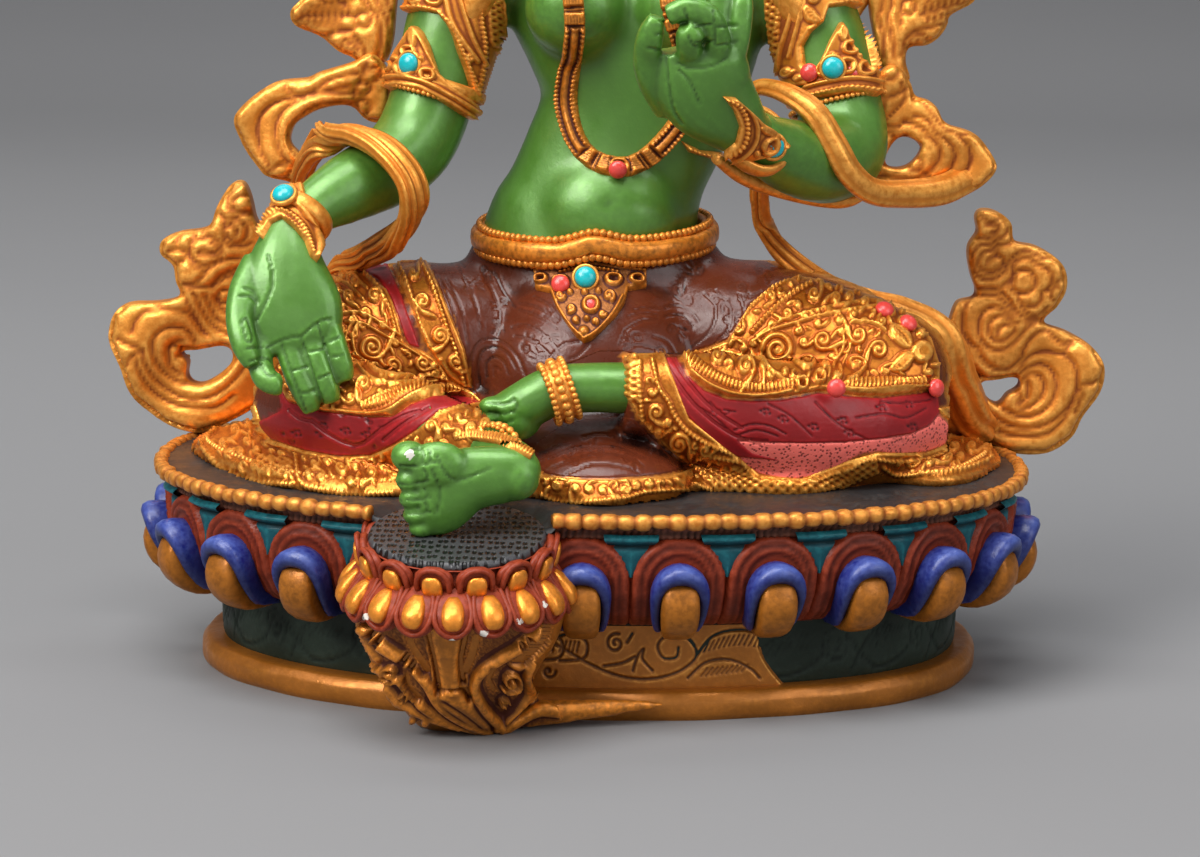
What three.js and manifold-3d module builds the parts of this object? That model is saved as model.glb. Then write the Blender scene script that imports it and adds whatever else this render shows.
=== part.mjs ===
// A seated Tara figure on a lotus throne, cast in resin, with small stones set in it.
// Millimetres, +Z up, the figure looks along -Y. The origin is the middle of the throne's underside.
import * as THREE from "three";
import { mergeVertices } from "three/addons/utils/BufferGeometryUtils.js";
import Module from "manifold-3d";

// Throne: an oval plinth, a waist, a band of lotus petals, and a beaded rim round the seat
const THRONE_WIDTH = 165;
const THRONE_DEPTH = 112;
const OVAL_SQUARENESS = 2.2; // 2 is an ellipse, more is squarer
const PLINTH_HEIGHT = 5.2;
const PLINTH_INSET = 9; // from the rim's outline
const WAIST_HEIGHT = 10.8;
const WAIST_INSET = 12.5;
const PETAL_BAND_HEIGHT = 18.6;
const PETAL_COUNT = 26;
const PETAL_VALLEY = 1.8; // depth of the valley between two petals
const TONGUE_RISE = 4.8; // how far the boss in each petal stands out
const RECESS_HEIGHT = 1.8; // the ribbed groove under the rim
const RECESS_INSET = 3.4;
const RIM_BEAD = 2.6; // diameter of the rim's beads
const RIM_SEGMENTS = 28;
const SEAT_DROP = 0.9; // the seat lies this far below the top of the beads

// Foot lotus: a seed pad in two rings of petals, carried by a scrolled bracket
const PAD_RADIUS = 15.2;
const PAD_DROP = 3; // below the seat
const PAD_DEPTH = 13;
const FOOT_PETALS = 12;
const FOOT_LOTUS_RADIUS = 20;
const BRACKET_WIDTH = 33;
const BRACKET_TIP_RADIUS = 5;

// Figure: free form, drawn on a grid of units counted up from the seat
const FIGURE_HEIGHT = 166;
const GRID_UNITS = 166;
const UNIT = FIGURE_HEIGHT / GRID_UNITS;

// Fits
const CLEARANCE = 0.3; // between two pieces that touch
const STONE_SMALL = 1.6; // radius of the coral stones
const STONE_LARGE = 2; // radius of the turquoise stones
const BEZEL_WALL = 0.8;
const STONE_SIDES = 6;
const STONE_DEPTH = 1; // how deep a stone sits in its bezel

const PETAL_BASE = PLINTH_HEIGHT + WAIST_HEIGHT;
const RECESS_BASE = PETAL_BASE + PETAL_BAND_HEIGHT;
const RIM_BASE = RECESS_BASE + RECESS_HEIGHT;
const RIM_TOP = RIM_BASE + RIM_BEAD;
const SEAT_HEIGHT = RIM_TOP - SEAT_DROP;
const PAD_HEIGHT = SEAT_HEIGHT - PAD_DROP;

const wasm = await Module();
wasm.setup();

// A closed geometry as a solid that can be joined and cut
function solid(geometry) {
  const bare = geometry.clone();
  bare.deleteAttribute("normal");
  bare.deleteAttribute("uv");
  const merged = mergeVertices(bare, 1e-4);
  const made = new wasm.Manifold(
    new wasm.Mesh({
      numProp: 3,
      vertProperties: new Float32Array(merged.attributes.position.array),
      triVerts: new Uint32Array(merged.index.array),
    }),
  );
  return made.volume() < 0 ? solid(turnedRightSideOut(merged)) : made;
}

function turnedRightSideOut(geometry) {
  const index = [];
  for (let i = 0; i < geometry.index.count; i += 3) {
    index.push(geometry.index.getX(i), geometry.index.getX(i + 2), geometry.index.getX(i + 1));
  }
  return geometry.clone().setIndex(index);
}

const join = (solids) => wasm.Manifold.union(solids);

// A cast is solid, so the small hollows that joined forms enclose are filled
function filled(made) {
  return join(made.decompose().filter((shell) => shell.volume() > 0));
}

function geometryOf(made) {
  const mesh = made.getMesh();
  const geometry = new THREE.BufferGeometry();
  geometry.setAttribute("position", new THREE.BufferAttribute(mesh.vertProperties, 3));
  geometry.setIndex(new THREE.BufferAttribute(mesh.triVerts, 1));
  geometry.computeVertexNormals();
  return geometry;
}

// A cylinder whose rows of vertices are moved by place(row, angle, share from the axis)
function reshapedCylinder(sides, rows, place) {
  const geometry = new THREE.CylinderGeometry(1, 1, 1, sides, rows).toNonIndexed();
  const position = geometry.attributes.position;
  const point = new THREE.Vector3();
  for (let i = 0; i < position.count; i += 1) {
    point.fromBufferAttribute(position, i);
    const row = Math.round((point.y + 0.5) * rows);
    const share = Math.min(1, Math.round(Math.hypot(point.x, point.z)));
    const side = Math.round((Math.atan2(point.x, point.z) / (2 * Math.PI)) * sides + sides) % sides;
    const moved = place(row, (side / sides) * 2 * Math.PI, share);
    position.setXYZ(i, moved.x, moved.y, moved.z);
  }
  return solid(geometry);
}

// A rounded form along stations [x, y, z, half height or width, half depth]; depth points to facing
function limb(stations, { sides = 8, rows = 2 * stations.length, facing = [0, -1, 0] } = {}) {
  const line = new THREE.CatmullRomCurve3(
    stations.map(([x, y, z]) => new THREE.Vector3(x, y, z)), false, "centripetal",
  );
  const size = new THREE.CatmullRomCurve3(
    stations.map(([, , , across, deep]) => new THREE.Vector3(across, deep ?? across, 0)),
    false, "catmullrom", 0.5,
  );
  const front = new THREE.Vector3(...facing);
  return reshapedCylinder(sides, rows, (row, angle, share) => {
    const t = row / rows;
    const along = line.getTangent(t);
    const depth = front.clone().addScaledVector(along, -front.dot(along)).normalize();
    const across = new THREE.Vector3().crossVectors(along, depth);
    const { x: halfAcross, y: halfDeep } = size.getPoint(t);
    return line
      .getPoint(t)
      .addScaledVector(across, Math.cos(angle) * Math.max(halfAcross, 0.05) * share)
      .addScaledVector(depth, Math.sin(angle) * Math.max(halfDeep, 0.05) * share);
  });
}

function ball([x, y, z], [rx, ry, rz], sides = 8, rows = 6) {
  return solid(new THREE.SphereGeometry(1, sides, rows).rotateX(Math.PI / 2)).scale([rx, ry, rz])
    .translate([x, y, z]);
}

// A hoop round a limb or the waist, sunk into it; a swell makes it a barrel
function hoop([x, y, z], [rx, ry], height, { sides = 8, swell = 0, tilt = [0, 0, 0] } = {}) {
  const rows = swell ? 2 : 1;
  return reshapedCylinder(sides, rows, (row, angle, share) => {
    const out = (1 - (row === 0 || row === rows ? swell : 0)) * share;
    const level = (row / rows - 0.5) * height;
    return new THREE.Vector3(rx * out * Math.cos(angle), ry * out * Math.sin(angle), level);
  })
    .rotate(tilt)
    .translate([x, y, z]);
}

// A plate cut to an outline in the XZ plane, its middle at depth y
function plate(outline, y, thickness, holes = []) {
  const turned = (points, clockwise) => {
    const list = points.map(([x, z]) => new THREE.Vector2(x, z));
    return THREE.ShapeUtils.isClockWise(list) === clockwise ? list : list.reverse();
  };
  const shape = new THREE.Shape(turned(outline, true));
  shape.holes = holes.map((hole) => new THREE.Path(turned(hole, false)));
  const geometry = new THREE.ExtrudeGeometry(shape, { depth: thickness, bevelEnabled: false, steps: 1 });
  return solid(geometry.rotateX(Math.PI / 2)).translate([0, y + thickness / 2, 0]);
}

// The throne's outline, set in by some distance
class Oval extends THREE.Curve {
  constructor(inset = 0) {
    super();
    this.inset = inset;
    this.arcLengthDivisions = 720;
  }

  getPoint(t) {
    const angle = t * 2 * Math.PI - Math.PI / 2;
    const rounded = (value) => Math.sign(value) * Math.abs(value) ** (2 / OVAL_SQUARENESS);
    return new THREE.Vector3(
      (THRONE_WIDTH / 2 - this.inset) * rounded(Math.cos(angle)),
      (THRONE_DEPTH / 2 - this.inset) * rounded(Math.sin(angle)),
      0,
    );
  }
}

// A stack of ovals [inset, height], with an optional ripple(share of the way round, row)
function ovalStack(levels, segments, ripple = () => 0) {
  const ovals = levels.map(([inset]) => new Oval(inset));
  return reshapedCylinder(segments, levels.length - 1, (row, angle, share) => {
    const turn = angle / (2 * Math.PI);
    const point = ovals[row].getPointAt(turn);
    const tangent = ovals[row].getTangentAt(turn);
    const outward = new THREE.Vector3(tangent.y, -tangent.x, 0).multiplyScalar(ripple(turn, row));
    return point.add(outward).multiplyScalar(share).setZ(levels[row][1]);
  });
}

function throneBody() {
  const plinth = ovalStack(
    [
      [PLINTH_INSET, 0],
      [PLINTH_INSET, PLINTH_HEIGHT - 1.4],
      [PLINTH_INSET + 1.4, PLINTH_HEIGHT],
      [WAIST_INSET, PLINTH_HEIGHT],
      [WAIST_INSET, PETAL_BASE + 1],
    ],
    RIM_SEGMENTS,
  );
  const rim = ovalStack(
    [
      [RECESS_INSET, RECESS_BASE - 1],
      [RECESS_INSET, RIM_BASE],
      [0.6, RIM_BASE],
      [0, RIM_BASE + RIM_BEAD / 2],
      [RIM_BEAD / 2, RIM_TOP],
      [RIM_BEAD, SEAT_HEIGHT],
    ],
    RIM_SEGMENTS,
  );
  // Each petal is one ripple of the band: a valley on either side, and the boss curling out of it
  const band = [
    { inset: WAIST_INSET - 2.5, rise: 0, boss: 0 },
    { inset: 5.6, rise: 0.09, boss: 0.8 },
    { inset: 2.4, rise: 0.37, boss: 1 },
    { inset: 1.6, rise: 0.72, boss: 0.5 },
    { inset: RECESS_INSET - 0.4, rise: 1, boss: 0 },
  ];
  const ripple = (turn, row) => {
    const crest = 0.5 + 0.5 * Math.cos(turn * PETAL_COUNT * 2 * Math.PI);
    return band[row].boss * TONGUE_RISE * crest ** 2 - PETAL_VALLEY * (1 - crest);
  };
  const petals = ovalStack(
    band.map(({ inset, rise }) => [inset, PETAL_BASE + rise * PETAL_BAND_HEIGHT]),
    3 * PETAL_COUNT,
    ripple,
  );
  return join([plinth, petals, rim]);
}

// The foot lotus stands on the throne's edge, under the foot
const FOOT_CENTRE = new THREE.Vector3(-21.5 * UNIT, -55.5 * UNIT, 0);

// Two rings of petals under the pad, as ripples [radius, height above its foot, ripple]
function footLotus() {
  const levels = [
    [PAD_RADIUS - 6, 0, 0],
    [FOOT_LOTUS_RADIUS - 1.8, 0.12, 1.8],
    [FOOT_LOTUS_RADIUS - 2.2, 0.3, 1.2],
    [PAD_RADIUS + 0.6, 0.62, 0.4],
    [PAD_RADIUS - 0.6, 0.68, 0],
    [PAD_RADIUS + 0.6, 0.86, 0.8],
    [PAD_RADIUS - 0.6, 1, 0],
  ];
  return reshapedCylinder(2 * FOOT_PETALS, levels.length - 1, (row, angle, share) => {
    const [radius, rise, ripple] = levels[row];
    const size = radius + ripple * Math.cos(angle * FOOT_PETALS);
    return new THREE.Vector3(Math.sin(angle), -Math.cos(angle), 0)
      .multiplyScalar(size * share)
      .add(FOOT_CENTRE)
      .setZ(PAD_HEIGHT + (rise - 1) * PAD_DEPTH);
  });
}

// A scrolled bracket that carries the foot lotus and runs down to a rounded tip on the ground
function footBracket() {
  const top = PAD_HEIGHT - PAD_DEPTH + 1.5;
  const half = BRACKET_WIDTH / 2;
  const { x, y } = FOOT_CENTRE;
  const core = limb(
    [
      [x, y + 3, 0, BRACKET_TIP_RADIUS + 5, BRACKET_TIP_RADIUS + 2],
      [x, y + 1, top * 0.35, half * 0.55, 8],
      [x, y, top * 0.75, half * 0.72, 9],
      [x, y, top + 4, half * 0.8, 11],
    ],
    { sides: 7, rows: 3 },
  );
  const wings = [-1, 1].map((side) =>
    limb(
      [
        [x + side * 3, y - 4, 1.6, 2.4, 2.4],
        [x + side * half * 0.42, y - 7, top * 0.4, 2.6, 2.8],
        [x + side * half * 0.8, y - 8, top * 0.75, 3, 3],
        [x + side * half, y - 6, top + 1, 2.4, 2.4],
      ],
      { sides: 5, rows: 4 },
    ),
  );
  const volutes = [-1, 1].map((side) => ball([x + side * half * 0.44, y - 5, 7], [3.6, 3, 4], 5, 3));
  return join([core, ...wings, ...volutes]).trimByPlane([0, 0, 1], 0);
}

function lotusThrone() {
  return filled(join([throneBody(), footLotus(), footBracket()]));
}

// The figure's own forms, in grid units above the seat. Its right side is at -X.
const TORSO = [
  [0, 10, 24, 27, 19],
  [0, 9, 41, 21.8, 16],
  [1.4, 8.5, 48, 18.8, 13.6],
  [3.9, 8.5, 56, 17.7, 12.6],
  [7.4, 8.5, 65, 18.4, 12.8],
  [8.4, 8.5, 76, 22, 13.8],
  [7.4, 9, 88, 24.6, 13.6],
  [7, 10, 98.5, 22, 10],
  [7, 10, 102.6, 9, 8],
  [7.3, 8.5, 113, 7, 7.2],
];
const RIGHT_ARM = [
  [-18, 9.5, 93, 9, 9],
  [-24.5, 8, 88, 9.2, 9],
  [-28, 5.5, 78, 8.6, 8.6],
  [-30.5, 3, 68, 8, 8],
  [-33.5, -0.5, 60, 7.9, 7.8],
  [-38, -6, 55.5, 7.4, 7],
  [-45, -13, 52, 6.4, 6],
  [-51, -18.5, 48.5, 4.9, 4.4],
  [-54.3, -22.5, 44.5, 4.7, 3.9],
];
const LEFT_ARM = [
  [31, 9.5, 93, 9, 9],
  [37, 8, 88, 9.2, 9],
  [41.5, 6, 80, 8.6, 8.6],
  [45, 2.5, 69, 8.2, 8],
  [46.3, -3, 60, 8.2, 7.8],
  [42.3, -10, 58, 7.8, 7.4],
  [36.5, -16.5, 59.4, 7, 6.6],
  [31, -22.5, 62, 5.7, 5.3],
  [27, -27, 65, 4.8, 4.3],
];
const RIGHT_PALM = [
  [-54.3, -22.5, 44.5, 4.8, 3.9],
  [-54.6, -25, 39.5, 7.2, 4.3],
  [-54.2, -27.3, 33, 9.8, 4.2],
  [-53.6, -28.5, 27.5, 9.6, 3.8],
  [-52.8, -29, 24.6, 8.4, 3],
];
const LEFT_PALM = [
  [27, -27, 65, 4.9, 4.4],
  [24.6, -29.5, 67.4, 6.4, 4.6],
  [20.8, -32, 71.5, 8.4, 4.6],
  [18.6, -33.5, 76, 8.8, 4.3],
  [18.2, -34.2, 79.6, 8.2, 3.4],
];
// Fingers and thumbs as [x, y, z, radius]
const RIGHT_FINGERS = [
  [[-54.4, -29, 27, 2.5], [-52, -31, 20.5, 2.3], [-49.6, -31.2, 15, 1.9], [-49, -31.2, 13.4, 0.9]],
  [[-50.4, -29, 28, 2.4], [-48.1, -30.8, 22, 2.2], [-45.9, -31.2, 17, 1.8], [-45.3, -31.2, 15.5, 0.9]],
  [[-46.8, -28.4, 30, 2.2], [-45, -29.8, 25, 2], [-43.4, -30.2, 20.6, 1.7], [-43, -30.2, 19.2, 0.8]],
  [[-58.2, -29, 27, 2.5], [-58.6, -32, 22, 2.2], [-56, -34.6, 19.2, 1.9], [-54.8, -34.8, 19, 0.9]],
  [[-61, -26.5, 37, 3.2], [-62.4, -30.8, 31.5, 2.6], [-60.2, -34, 25.8, 2.2], [-58.6, -34.8, 22, 1]],
];
const LEFT_FINGERS = [
  [[24.6, -33.4, 78, 2.3], [25.8, -34, 83, 2.1], [26.2, -33.6, 87.6, 1.8], [26.3, -33.6, 89, 0.9]],
  [[20.8, -34, 79, 2.4], [22, -33, 87, 2.2], [22.4, -32, 94, 1.9], [22.4, -32, 96, 0.9]],
  [[21.6, -35.6, 79, 2.1], [21.4, -37.6, 84.4, 2.1], [16.4, -38.8, 86.4, 2], [12.6, -38.8, 85, 1.8]],
  [[17.2, -35, 78, 2.3], [16.8, -38.4, 82.6, 2.2], [18.6, -38.8, 80.6, 1.6]],
  [[12, -32.4, 71.5, 3.2], [9.8, -35.2, 77.4, 2.5], [10.6, -38, 83, 2.2], [11.4, -38.6, 85.6, 1]],
];
// Legs run along X, so a station's sizes are its half height and half depth
const RIGHT_THIGH = [
  [-2, 12, 20, 15, 18],
  [-20, 6, 21.5, 15, 18],
  [-36, 0, 20.5, 15.4, 17.5],
  [-48, -5, 19, 14, 15],
  [-56, -8, 16.5, 10.5, 10.5],
  [-60, -9, 14.5, 4, 5],
];
const LEFT_THIGH = [
  [2, 12, 20, 15, 18],
  [20, 7, 22.5, 15.5, 18],
  [36, 1, 21.5, 15, 17.5],
  [50, -4, 18.8, 13, 15],
  [60, -6.5, 16, 10.5, 11],
  [65, -7.5, 14, 4, 5],
];
const RIGHT_SHIN = [
  [-58, -8, 11, 7, 7],
  [-49, -18, 11, 9, 8.6],
  [-37, -26, 11.4, 8.6, 8],
  [-26, -35, 11, 6.6, 6.4],
  [-16.5, -44, 9.8, 4.4, 4.4],
  [-11.5, -53, 9, 4, 4],
];
const LEFT_SHIN = [
  [62, -7, 10, 8, 8],
  [50, -17, 10.4, 10, 9.4],
  [36, -23.5, 12, 10.5, 8.4],
  [22, -27, 15, 9.4, 7.4],
  [12, -28, 17.4, 7.6, 6.6],
  [6.5, -28.5, 17.8, 7, 6],
];
const LEFT_ANKLE = [
  [12, -28.5, 18.5, 4.8, 4.6],
  [1, -29.8, 18.8, 4.5, 4.3],
  [-6, -30.8, 18.2, 4.5, 4.2],
  [-11, -31.4, 15.8, 4.4, 3.8],
  [-15.2, -31.6, 14, 3.6, 3],
];
const RIGHT_FOOT = [
  [-8, -55, 8.4, 1.4, 1.4],
  [-9.2, -55.2, 8.4, 3.8, 3.2],
  [-13, -56, 8, 4.9, 3.8],
  [-19, -56.8, 7.2, 5.6, 3.4],
  [-24.5, -57.4, 5.2, 7.6, 3],
  [-27.6, -57.6, 5, 7.4, 2.4],
];
const RIGHT_TOES = [
  [-29.4, 10.6, 2.2], [-29.2, 7, 1.8], [-28.8, 4, 1.7], [-28.2, 1.3, 1.6], [-27.5, -1.1, 1.4],
];
const LEFT_TOES = [[-16.6, 15, 1.9], [-16.4, 12.6, 1.6]];
const HEAD = [
  [7.5, 1.5, 106.6, 3.4, 4.4],
  [7.5, 3, 110, 7.4, 8.6],
  [7.5, 5, 116, 10, 11],
  [7.5, 6, 123, 10.9, 12.2],
  [7.5, 7, 130, 10.4, 11.8],
  [7.5, 7.6, 135, 7.6, 9],
];

// Cloth spread over the seat, as an outline [x, y]
const HEM = [
  [0, -43], [10, -39], [20, -29.5], [34, -30], [46, -24.5], [54, -19], [64, -21], [74, -8],
  [76, 8], [68, 24], [48, 35], [24, 39.5], [0, 40.5], [-24, 39.5], [-48, 34], [-68, 21],
  [-75.5, 6], [-70, -12], [-59, -28], [-46, -36], [-30, -38.5], [-15, -37],
];
// Its levels as [share of the outline, height]
const HEM_LEVELS = [[1, 0], [0.99, 2], [0.9, 3.4], [0.76, 8]];
const HEM_SIDES = 25;

// Scarf ends as flat scrolled plates, outlines in [x, z]
const LOW_RIGHT_SCROLL = [
  [-58, 14], [-66, 6], [-71.4, 2.6], [-77.4, 0.8], [-84.4, 2.7], [-90.3, 7.6], [-92.6, 13.6],
  [-94.9, 18.6], [-94, 23.6], [-91, 26], [-85, 26.5], [-80.5, 27.8], [-82, 32], [-84.7, 35.7],
  [-84, 38.6], [-75, 41.3], [-73, 45.4], [-70, 50], [-67.6, 49.6], [-65.7, 43], [-61, 36],
  [-55, 26],
];
const LOW_RIGHT_EYE = [[-82.2, 17.4], [-71.9, 18.4], [-69.9, 15.6], [-73.3, 11.8], [-79.5, 11]];
const LOW_LEFT_SCROLL = [
  [60, 26], [67.2, 25.5], [70.5, 30.5], [72.2, 35], [71.5, 39.6], [74, 47], [77, 46.5],
  [80.5, 41.5], [85, 39.8], [90.5, 35.5], [89.3, 28.6], [86.8, 25.2], [93, 23], [98.9, 16.5],
  [97.5, 10], [93.2, 2.6], [88.5, -0.4], [81.6, -0.5], [76, 1.2], [70, 2], [63, 8],
];
const LOW_LEFT_EYE = [[73.2, 15.7], [82.1, 14.6], [82.9, 12], [78.9, 8.6], [75.4, 10.6]];
const HIGH_RIGHT_SCROLL = [
  [-37, 66], [-47, 67], [-54, 64.6], [-56.3, 60], [-52, 56], [-54, 53], [-60.6, 51.7],
  [-66.3, 56.9], [-68.4, 63.5], [-64, 68.6], [-57.5, 71.5], [-53.2, 75], [-57.2, 80.4],
  [-55.5, 84.4], [-48, 85.5], [-43, 91], [-36, 88],
];
const HIGH_LEFT_SCROLL = [
  [50, 64], [53.5, 68.6], [61, 67.6], [67, 64.5], [73, 61.5], [75.6, 56.5], [73.4, 52.2],
  [66, 49.4], [56, 49.4], [49, 52],
];
const HIGH_LEFT_FLAME = [
  [50, 66], [55.5, 70], [57.5, 78], [63.5, 77.5], [64.5, 81.5], [69.5, 85.5], [62, 89], [54, 91],
  [47, 87],
];
const SCROLL_THICKNESS = 5.2;

// Stones as [x, y, z, facing x, y, z, large, in a bezel of its own]
const STONES = {
  turquoise_right_armlet: [-34.6, -4.4, 74.6, -0.42, -0.9, 0.1, true],
  turquoise_right_bracelet: [-55.4, -24, 52.4, -0.2, -0.62, 0.76, true, true],
  turquoise_left_armlet: [43.6, -6.4, 75, 0, -1, 0.1, true],
  coral_left_armlet_inner: [39.2, -5.2, 74, -0.3, -0.95, 0.1, false],
  coral_left_armlet_outer: [47.8, -4.6, 74, 0.45, -0.9, 0.1, false],
  turquoise_left_bracelet: [32.4, -27.8, 62.4, 0.1, -0.98, 0.15, true, true],
  coral_necklace: [4.5, -7.4, 55.6, 0, -0.97, -0.2, false, true],
  turquoise_girdle: [-1.1, -12.4, 36.6, 0, -0.95, 0.3, true],
  coral_girdle_side: [-5.8, -12.2, 35.2, -0.1, -0.95, 0.3, false],
  coral_girdle_low: [-0.1, -14.6, 31.2, 0, -0.93, 0.35, false],
  coral_knee_front: [44.4, -30, 19.6, 0.05, -0.99, 0.1, false, true],
  coral_knee_outer: [63.2, -15.4, 17.4, 0.6, -0.8, 0.1, false, true],
  coral_knee_top: [54, -10.6, 30.6, 0.2, -0.6, 0.77, false, true],
  coral_knee_top_outer: [58.2, -12, 28.4, 0.35, -0.6, 0.7, false, true],
};

const finger = (stations) => limb(stations, { sides: 4, rows: stations.length - 1 });
const toe = (y) => ([x, z, r]) => ball([x, y, z], [r * 1.25, r * 1.15, r], 4, 3);

function bareBody() {
  return join([
    limb(TORSO, { sides: 8, rows: 7 }),
    ball([-3.8, -2.6, 85], [9.4, 8.6, 9], 6, 4),
    ball([16.4, -2.6, 85], [9.4, 8.6, 9], 6, 4),
    limb(RIGHT_ARM, { sides: 6, rows: 6 }),
    limb(LEFT_ARM, { sides: 6, rows: 6 }),
    limb(RIGHT_PALM, { sides: 6, rows: 3 }),
    limb(LEFT_PALM, { sides: 6, rows: 3 }),
    ...RIGHT_FINGERS.map(finger),
    ...LEFT_FINGERS.map(finger),
    limb(LEFT_ANKLE, { sides: 6, rows: 3 }),
    limb(RIGHT_FOOT, { sides: 6, rows: 5 }),
    ...RIGHT_TOES.map(toe(-57.8)),
    ...LEFT_TOES.map(toe(-31.8)),
  ]);
}

function headAndHair() {
  const nose = limb([[7.5, -5.4, 122, 1, 1], [7.5, -8, 117, 1.6, 1.4], [7.5, -6.6, 115.4, 1.5, 1]],
    { sides: 5, rows: 3 });
  const ears = [-1, 1].map((side) =>
    limb([[7.5 + side * 10.6, 6.4, 123, 1.4, 2.6], [7.5 + side * 11, 6, 117, 1.4, 2.2],
      [7.5 + side * 10.6, 5.6, 110.5, 1.3, 1.6]], { sides: 4, rows: 2 }));
  const hair = [
    ball([7.5, 12, 127.6], [12, 11, 11], 7, 5),
    ball([7.5, 10, 140], [7.8, 7.8, 7], 6, 4),
    ball([7.5, 10, 149], [5.2, 5.2, 4.6], 6, 3),
    limb([[7.5, 18, 128, 8, 5], [7.3, 21, 112, 11, 4.6], [7, 22, 96, 13, 4], [7, 22, 84, 9, 4]],
      { sides: 5, rows: 3 }),
  ];
  return join([limb(HEAD, { sides: 8, rows: 5 }), nose, ...ears, ...hair]);
}

function crown() {
  const leaf = (turn, height) =>
    plate([[0, height], [3.2, height * 0.6], [5.2, 2.6], [3.6, -1.6], [-3.6, -1.6], [-5.2, 2.6],
      [-3.2, height * 0.6]], 0, 2.2)
      .rotate([-8, 0, 0])
      .translate([0, -12.6, 0])
      .rotate([0, 0, turn])
      .translate([7.5, 6.5, 129.4]);
  const finial = limb([[7.5, 10, 151, 3.8, 3.8], [7.5, 10, 155, 2.4, 2.4], [7.5, 10, 159, 3, 3],
    [7.5, 10, 163, 1.6, 1.6], [7.5, 10, GRID_UNITS, 0.3, 0.3]], { sides: 5, rows: 4 });
  const earrings = [-1, 1].map((side) =>
    ball([7.5 + side * 11.6, 4.6, 106.4], [3.4, 2.4, 4.6], 5, 3));
  return join([
    hoop([7.5, 6.5, 128], [12.4, 13.6], 4.4, { sides: 9 }),
    leaf(0, 17), leaf(-48, 14.5), leaf(48, 14.5), leaf(-92, 12), leaf(92, 12),
    finial, ...earrings,
  ]);
}

function jewellery() {
  const necklace = limb([
    [-4.5, -1, 97, 2.2, 1.6], [-5, -9.4, 88, 2.3, 1.6], [-6.3, -7.8, 78, 2.4, 1.6],
    [-6.6, -5.2, 68, 2.4, 1.6], [-3.6, -4.4, 59.6, 2.4, 1.6], [4.5, -4.6, 55.6, 2.6, 1.8],
    [12, -5, 59, 2.4, 1.6], [16.6, -6.2, 68, 2.4, 1.6], [18.4, -8.8, 78, 2.3, 1.6],
    [18, -9.6, 88, 2.3, 1.6], [16, -1, 97, 2.2, 1.6],
  ], { sides: 4, rows: 9 });
  const pendant = plate([[-8.6, 38.5], [8.4, 38.5], [5.4, 33], [0, 25.4], [-5.6, 33]], -10.8, 5);
  const armletLeaf = (outline, y) => plate(outline, y, 3.6);
  return join([
    necklace,
    pendant,
    hoop([7, 7.6, 99.6], [13, 11.6], 5, { sides: 9, tilt: [14, 0, 0] }), // collar
    hoop([0, 7.6, 41.6], [24.6, 19], 8, { sides: 12, swell: 0.07, tilt: [5, 0, 0] }), // girdle
    hoop([-29.6, 3.8, 70], [10.4, 10.2], 4.4, { tilt: [-8, 16, 0] }), // armlets
    hoop([44.4, 3.2, 70], [10.4, 10.2], 4.4, { tilt: [-12, -14, 0] }),
    armletLeaf([[-38, 71], [-25.5, 71], [-31, 85.5]], -3.4),
    armletLeaf([[36.5, 71], [51, 71], [43.8, 86]], -4.4),
    hoop([-52, -19.4, 47.6], [6.6, 6.4], 4.4, { sides: 7, tilt: [-38, 32, 0] }), // bracelets
    hoop([29.4, -24.2, 63], [6.8, 6.8], 4.4, { sides: 7, tilt: [46, 42, 0] }),
    hoop([-5, -30.6, 18.2], [6, 5.6], 4, { sides: 7, tilt: [0, 72, 10] }), // anklets
    hoop([-15, -45.6, 9.6], [5.6, 5.6], 3, { sides: 7, tilt: [0, 90, 55] }),
  ]);
}

function hemSpread() {
  const outline = new THREE.CatmullRomCurve3(
    HEM.map(([x, y]) => new THREE.Vector3(x, y, 0)), true, "centripetal",
  );
  return reshapedCylinder(HEM_SIDES, HEM_LEVELS.length - 1, (row, angle, share) => {
    const [size, height] = HEM_LEVELS[row];
    return outline.getPoint(angle / (2 * Math.PI)).multiplyScalar(size * share).setZ(height);
  });
}

function drapery() {
  const lengthwise = { sides: 8, facing: [0, -1, 0] };
  return join([
    hemSpread(),
    limb(RIGHT_THIGH, { ...lengthwise, rows: 5 }),
    limb(LEFT_THIGH, { ...lengthwise, rows: 5 }),
    limb(RIGHT_SHIN, { ...lengthwise, sides: 6, rows: 5 }),
    limb(LEFT_SHIN, { ...lengthwise, sides: 6, rows: 5 }),
    ball([0, 2, 15], [25, 24, 23], 7, 5), // lap
    ball([3, -30, 2.4], [14, 10, 6], 8, 4), // cloth under the left foot
  ]);
}

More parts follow.
